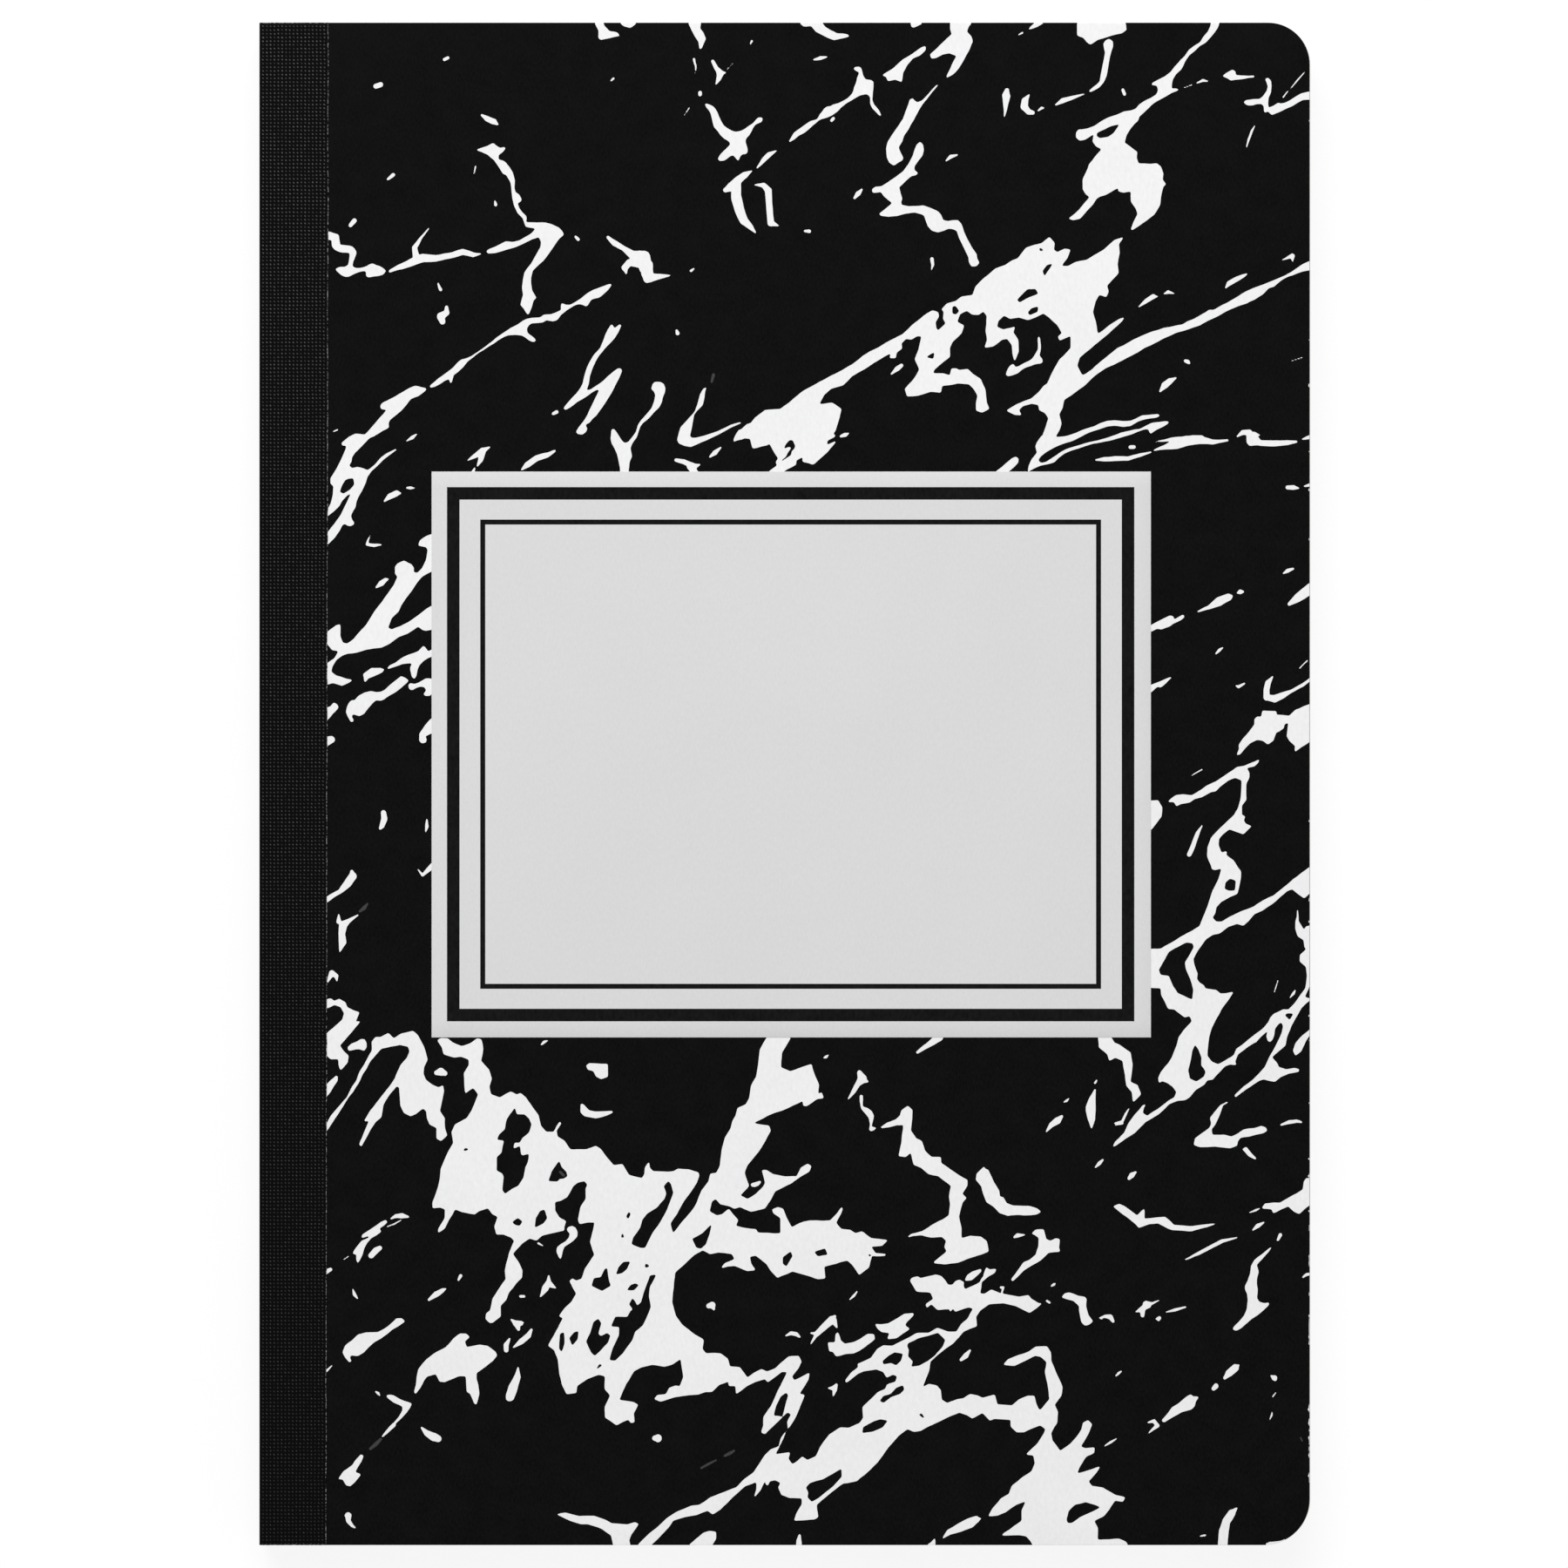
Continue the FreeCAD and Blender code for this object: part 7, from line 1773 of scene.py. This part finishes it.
def canvas_group():
    """The tape's pressed canvas, in millimetres across and along the tape: a square lattice of beads that
    lean to one side, each an ellipse whose height falls off smoothly from its middle. The first output is a
    painted highlight on the bead tops: every bead has its own strength, and the painted highlights grow
    brighter towards the head. The beads stop where the cloth is pulled smooth over the shoulder. Fray is the
    dotted line of threads that a cut leaves."""
    values = {"Pitch": 0.6204, "Smooth From": 5.1, "Smooth To": 5.75, "Half Length": 127.0}
    group, given, out = new_group("Pressed Canvas", values, ("Bead Highlight", "Height", "Fray"))
    vector, pitch, smooth_from, smooth_to, half_length = given.outputs[:5]
    stray = noise(group, vector, scale=1.1, detail=2.0).outputs["Color"]
    stray = vector_step(group, "SUBTRACT", stray, STRAY_MIDDLE)
    place = vector_step(group, "MULTIPLY_ADD", stray, STRAY, vector)
    count = vector_step(group, "DIVIDE", place, pitch)
    cell = vector_step(group, "FLOOR", count)
    inner = vector_step(group, "SUBTRACT", vector_step(group, "FRACTION", count), CELL_MIDDLE)
    bead = bead_height(group, inner)
    chance = add_node(group, "ShaderNodeTexWhiteNoise", {"Vector": cell}).outputs["Value"]
    strength = spread(group, chance, 0, 1, WEAKEST_BEAD, 1.0)
    across, along, _ = add_node(group, "ShaderNodeSeparateXYZ", {0: vector}).outputs
    across = work_out(group, "ABSOLUTE", across)
    before = work_out(group, "LESS_THAN", across, smooth_from)
    after = work_out(group, "GREATER_THAN", across, smooth_to)
    height = work_out(group, "MULTIPLY", bead, work_out(group, "ADD", before, after))
    # The painted highlight grows brighter from the tail to the head, and each bead's highlight has its own
    # strength
    highlight_share = spread(group, work_out(group, "DIVIDE", along, half_length), -1, 1, TAIL_HIGHLIGHT, 1.0)
    highlight_share = work_out(group, "MULTIPLY", highlight_share, strength)
    threads = noise(group, vector, scale=2.2, detail=3.0, Roughness=0.8).outputs[0]
    group.links.new(work_out(group, "MULTIPLY", height, highlight_share), out.inputs[0])
    group.links.new(height, out.inputs[1])
    group.links.new(spread(group, threads, *FRAY_RANGE), out.inputs[2])
    return group


def tape_materials():
    """Black bookbinder's canvas tape, with painted highlights on the tops of its beads, and its cut edge,
    where the pale core of the cloth shows in dots.
    """
    pressed = canvas_group()
    made = []
    # On the tape the light grey is the colour of the beads' painted highlight; on the cut edge it is the pale
    # core
    for name, dark, light, gloss in (
        ("canvas_tape", 0.0014, 0.142, (0.5, 0.36)),
        ("tape_cut_edge", 0.004, 0.50, (0.8, 0.7)),
    ):
        material, tree, shader = new_surface(name, specular=0.03)
        weave = add_node(tree, "ShaderNodeUVMap", uv_map="Weave").outputs[0]
        bead, height, fray = add_node(tree, "ShaderNodeGroup", {"Vector": weave}, node_tree=pressed).outputs
        tone = fibre_of(tree, CLOTH_GRAIN, CLOTH_CLOUDS)[0]
        # On the tape the colour is lightened by the beads' painted highlight; on the cut edge by the fray's
        # pale core
        worn = bead if name == "canvas_tape" else fray
        pale = work_out(tree, "MULTIPLY", worn, spread(tree, tone, 0, 1, DULLEST, 1.0))
        tree.links.new(blend_colours(tree, pale, (dark,) * 3, (light,) * 3), shader.inputs["Base Color"])
        tree.links.new(spread(tree, bead, 0, 1, *gloss), shader.inputs["Roughness"])
        relief(tree, shader, height, strength=0.5, depth=CANVAS_RELIEF)
        made.append(material)
    return made


# The floor: how far it reaches from its middle, its own light, the paint that the camera sees with it, and
# the paint that lights the object
FLOOR_REACH = 4.0
FLOOR_GLOW = 0.85
FLOOR_PAINT = (0.17, 0.17, 0.17, 1)
FLOOR_PALE = (0.7, 0.7, 0.7, 1)
PURE_WHITE = (1, 1, 1, 1)

# The main lamp's size across and along, and its place, from where it shines at the middle of the floor
LAMP_WIDTH = 1.4
LAMP_LENGTH = 0.9
LAMP_PLACE = (-0.25, 1.15, 1.45)

# The camera's film width in millimetres, and how far it sees
FILM_WIDTH = 36
FAR_SIGHT = 20


def set_floor():
    """A wide pale floor. The camera sees it as white with the object's shadow: part of its light is its own,
    and the rest is what falls on it. Rays that light the object see plain pale paint."""
    corners = np.array([[-1, -1, 0], [1, -1, 0], [1, 1, 0], [-1, 1, 0]]) * FLOOR_REACH
    material = bpy.data.materials.new("pale_floor")
    material.use_nodes = True
    tree = material.node_tree
    tree.nodes.clear()
    paint = add_node(tree, "ShaderNodeBsdfDiffuse", {"Color": FLOOR_PAINT}).outputs[0]
    glow = add_node(tree, "ShaderNodeEmission", {"Color": PURE_WHITE, "Strength": FLOOR_GLOW}).outputs[0]
    white = add_node(tree, "ShaderNodeAddShader", {0: paint, 1: glow}).outputs[0]
    pale = add_node(tree, "ShaderNodeBsdfDiffuse", {"Color": FLOOR_PALE}).outputs[0]
    both = add_node(tree, "ShaderNodeMixShader", {0: seen_directly(tree), 1: pale, 2: white}).outputs[0]
    add_node(tree, "ShaderNodeOutputMaterial", {0: both})
    floor = put_mesh("pale_floor", corners, np.array([[0, 1, 2], [0, 2, 3]]), [0, 0], [material])


def seen_directly(tree):
    """One where the ray comes from the camera or by way of a gloss or a glass, else nought."""
    path = add_node(tree, "ShaderNodeLightPath").outputs
    either = work_out(tree, "MAXIMUM", path["Is Camera Ray"], path["Is Glossy Ray"])
    return work_out(tree, "MAXIMUM", either, path["Is Transmission Ray"])


def set_light(options):
    """A wide soft lamp beyond the book's head, and an even light from all round."""
    lamp = bpy.data.lights.new("soft_key", "AREA")
    lamp.shape = "RECTANGLE"
    lamp.size = LAMP_WIDTH
    lamp.size_y = LAMP_LENGTH
    lamp.energy = options.key_power
    made = bpy.data.objects.new("soft_key", lamp)
    made.location = LAMP_PLACE
    made.rotation_euler = (-Vector(LAMP_PLACE)).to_track_quat("-Z", "Y").to_euler()
    bpy.context.scene.collection.objects.link(made)
    world = bpy.data.worlds.new("pale_room")
    world.use_nodes = True
    tree = world.node_tree
    back = tree.nodes["Background"]
    back.inputs["Color"].default_value = PURE_WHITE
    tree.links.new(spread(tree, seen_directly(tree), 0, 1, options.sky, 1.0), back.inputs["Strength"])
    bpy.context.scene.world = world


def set_camera(options):
    """A long lens straight over the book, its head at the top of the picture."""
    camera = bpy.data.cameras.new("long_lens")
    camera.sensor_width = FILM_WIDTH
    camera.lens = options.lens
    camera.clip_end = FAR_SIGHT
    made = bpy.data.objects.new("long_lens", camera)
    made.location = (*options.aim, options.distance)
    bpy.context.scene.collection.objects.link(made)
    bpy.context.scene.camera = made


def length(name, description, value):
    """A length in metres that the panel shows with its unit."""
    return bpy.props.FloatProperty(
        name=name, description=description, default=value, min=0, unit="LENGTH", subtype="DISTANCE",
        precision=5,
    )


def across_and_up(name, description, value):
    """Two lengths in metres, across and up the cover."""
    return bpy.props.FloatVectorProperty(
        name=name, description=description, size=2, default=value, unit="LENGTH", precision=5
    )


def pixels(name, description, value, least=0.0):
    """A length in picture pixels."""
    return bpy.props.FloatProperty(name=name, description=description, default=value, min=least, max=4)


class CoverOptions(bpy.types.PropertyGroup):
    """The marbled boards."""

    board_roll: length("Edge roll", "How far the printed paper rolls over the board's edge", 0.15 * MM)
    cell: pixels("Cell", "Picture pixels in a cell of the marble's grid", 1.1, 0.5)
    waver: pixels("Waver", "How far a marble edge strays, in picture pixels", 0.5)
    wear: pixels("Wear", "Depth of the chips along the fore-edge, in picture pixels", 1.8)
    creep: pixels("Ink creep", "How far the black ink creeps over the white, in picture pixels", 0.2)
    seed: bpy.props.IntProperty(name="Seed", description="Seed of the waver and the chips", default=11)


class LabelOptions(bpy.types.PropertyGroup):
    """The pasted label."""

    lip: length("Lip", "Width of the pressed edge", 0.06 * MM)
    thick_inset: across_and_up("Thick frame", "Its distance from the label's edge", (2.67 * MM, 2.64 * MM))
    thick_line: length("Thick line", "Width of the thick frame's line", 2.1 * MM)
    thin_inset: across_and_up("Thin frame", "Its distance from the label's edge", (8.22 * MM, 8.06 * MM))
    thin_line: length("Thin line", "Width of the thin frame's line", 0.84 * MM)
    print_shift: across_and_up(
        "Print shift", "How far the print is off the label's middle", (-0.10 * MM, 0.05 * MM)
    )


class TapeOptions(bpy.types.PropertyGroup):
    """The canvas spine tape."""

    cloth: length("Cloth", "Thickness of the tape", 0.2 * MM)
    shoulder: length("Shoulder", "Outer radius where the tape turns over the board", 0.5 * MM)
    fray: length("Fray", "How far the cut edge strays", 0.05 * MM)
    end_strip: length("End strip", "Width of the pressed strip at the head and tail", 0.12 * MM)
    rows: bpy.props.IntProperty(name="Rows", description="Rows of mesh along the tape", default=401, min=2)


class LeafOptions(bpy.types.PropertyGroup):
    """The folded writing paper."""

    sheets: bpy.props.IntProperty(name="Sheets", description="Folded sheets in the book", default=50, min=2)
    leaf: length("Leaf", "Thickness of a leaf", 0.075 * MM)
    trim: length("Trim", "How far a sheet may fall short of the next one's edge", 0.10 * MM)
    rule_pitch: length("Rule pitch", "Distance between ruled lines", 8.7 * MM)
    rule_width: length("Rule width", "Width of a ruled line", 0.25 * MM)
    head_margin: length("Head margin", "From the head to the first ruled line", 25.0 * MM)
    tail_margin: length("Tail margin", "Least space under the last ruled line", 12.0 * MM)
    side_margin: length("Side margin", "From the spine to the red line", 32.0 * MM)
    seed: bpy.props.IntProperty(name="Seed", description="Seed of the trim", default=5)


class StageOptions(bpy.types.PropertyGroup):
    """The floor, the light and the camera."""

    distance: length("Camera distance", "Height of the camera over the floor", 1.4642)
    aim: across_and_up("Aim", "The point under the camera", (-0.11 * MM, -0.02 * MM))
    lens: bpy.props.FloatProperty(
        name="Lens", description="Focal length in millimetres", default=200.0, min=20
    )
    key_power: bpy.props.FloatProperty(
        name="Key", description="Power of the main lamp", default=26.0, unit="POWER"
    )
    sky: bpy.props.FloatProperty(name="Sky", description="Strength of the light from all round", default=0.45)


class NotebookOptions(bpy.types.PropertyGroup):
    """All the notebook's options."""

    cover: bpy.props.PointerProperty(type=CoverOptions)
    label: bpy.props.PointerProperty(type=LabelOptions)
    tape: bpy.props.PointerProperty(type=TapeOptions)
    leaf: bpy.props.PointerProperty(type=LeafOptions)
    stage: bpy.props.PointerProperty(type=StageOptions)


class NOTEBOOK_OT_stage(bpy.types.Operator):
    """Set up the floor, the lamp, the light from all round and the camera"""

    bl_idname = "notebook.stage"
    bl_label = "Stage"

    def execute(self, context):
        options = context.scene.notebook.stage
        set_floor()
        set_light(options)
        set_camera(options)
        context.scene.view_settings.view_transform = "Standard"
        return {"FINISHED"}


class NOTEBOOK_OT_covers(bpy.types.Operator):
    """Build the two marbled boards"""

    bl_idname = "notebook.covers"
    bl_label = "Covers"

    def execute(self, context):
        options = context.scene.notebook.cover
        materials = cover_materials()
        boards = (
            ("front_cover_board", "front_cover", "front", front_marble(), False),
            ("back_cover_board", "back_cover", "back", back_marble(), True),
        )
        for name, node, body, shapes, face_down in boards:
            board = cover_mesh(name, node, shapes, options, materials, face_down)
            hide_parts(node)
            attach(board, body)
        return {"FINISHED"}


class NOTEBOOK_OT_label(bpy.types.Operator):
    """Build the label with its thick and thin frames"""

    bl_idname = "notebook.label"
    bl_label = "Label"

    def execute(self, context):
        label = label_mesh(context.scene.notebook.label, label_materials())
        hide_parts("label")
        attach(label, "front")
        return {"FINISHED"}


class NOTEBOOK_OT_tape(bpy.types.Operator):
    """Build the canvas tape over the spine, in a front and a back half"""

    bl_idname = "notebook.tape"
    bl_label = "Tape"

    def execute(self, context):
        options = context.scene.notebook.tape
        materials = tape_materials()
        front = tape_mesh("tape_front", True, options, materials)
        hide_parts("spine_tape", "front_tape_flange")
        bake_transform(front)
        back = tape_mesh("tape_back", False, options, materials)
        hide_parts("spine_tape", "back_tape_flange")
        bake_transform(back)
        return {"FINISHED"}


class NOTEBOOK_OT_leaves(bpy.types.Operator):
    """Build the folded sheets, the outermost one with its ruling"""

    bl_idname = "notebook.leaves"
    bl_label = "Leaves"

    def execute(self, context):
        options = context.scene.notebook.leaf
        materials = leaf_materials()
        low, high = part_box("page_block")
        first_rule = high.y - options.head_margin
        room = first_rule - (low.y + options.tail_margin)
        rules = first_rule - np.arange(int(room / options.rule_pitch) + 1) * options.rule_pitch
        half = options.rule_width / 2
        cuts_y = np.sort(np.concatenate([rules - half, rules + half]))
        red = low.x + options.side_margin
        margin_cuts = (red + half, red - half)
        last = options.sheets - 1
        outer = folded_sheets("outer_sheet", [last], cuts_y, margin_cuts, options, materials)
        inner = folded_sheets("inner_sheets", range(last), [], margin_cuts, options, materials)
        for sheets in (outer, inner):
            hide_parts("page_block")
            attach(sheets, "book_block")
        return {"FINISHED"}


class NOTEBOOK_OT_thread(bpy.types.Operator):
    """Give the binding thread its cotton"""

    bl_idname = "notebook.thread"
    bl_label = "Thread"

    def execute(self, context):
        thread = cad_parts["binding_thread"]
        thread.data.materials.clear()
        thread.data.materials.append(cotton_material())
        return {"FINISHED"}


class NOTEBOOK_PT_panel(bpy.types.Panel):
    """Lists the steps that build the notebook, and their options"""

    bl_idname = "NOTEBOOK_PT_panel"
    bl_label = "Composition Notebook"
    bl_space_type = "VIEW_3D"
    bl_region_type = "UI"
    bl_category = "Notebook"

    def draw(self, context):
        options = context.scene.notebook
        for step in STEPS:
            self.layout.operator(step.bl_idname)
        for group in (options.cover, options.label, options.tape, options.leaf, options.stage):
            box = self.layout.box()
            for key in group.__annotations__:
                box.prop(group, key)


STEPS = (
    NOTEBOOK_OT_stage,
    NOTEBOOK_OT_covers,
    NOTEBOOK_OT_label,
    NOTEBOOK_OT_tape,
    NOTEBOOK_OT_leaves,
    NOTEBOOK_OT_thread,
)
GROUPS = (CoverOptions, LabelOptions, TapeOptions, LeafOptions, StageOptions, NotebookOptions)
CLASSES = GROUPS + STEPS + (NOTEBOOK_PT_panel,)


def register():
    """Adds the classes to Blender, and the options to its scenes."""
    for kind in CLASSES:
        bpy.utils.register_class(kind)
    bpy.types.Scene.notebook = bpy.props.PointerProperty(type=NotebookOptions)


def unregister():
    """Takes the options and the classes away again."""
    del bpy.types.Scene.notebook
    for kind in reversed(CLASSES):
        bpy.utils.unregister_class(kind)


def main():
    """Builds the notebook and its stage."""
    register()
    bpy.ops.notebook.stage()
    bpy.ops.notebook.covers()
    bpy.ops.notebook.label()
    bpy.ops.notebook.tape()
    bpy.ops.notebook.leaves()
    bpy.ops.notebook.thread()


if __name__ == "__main__":
    main()
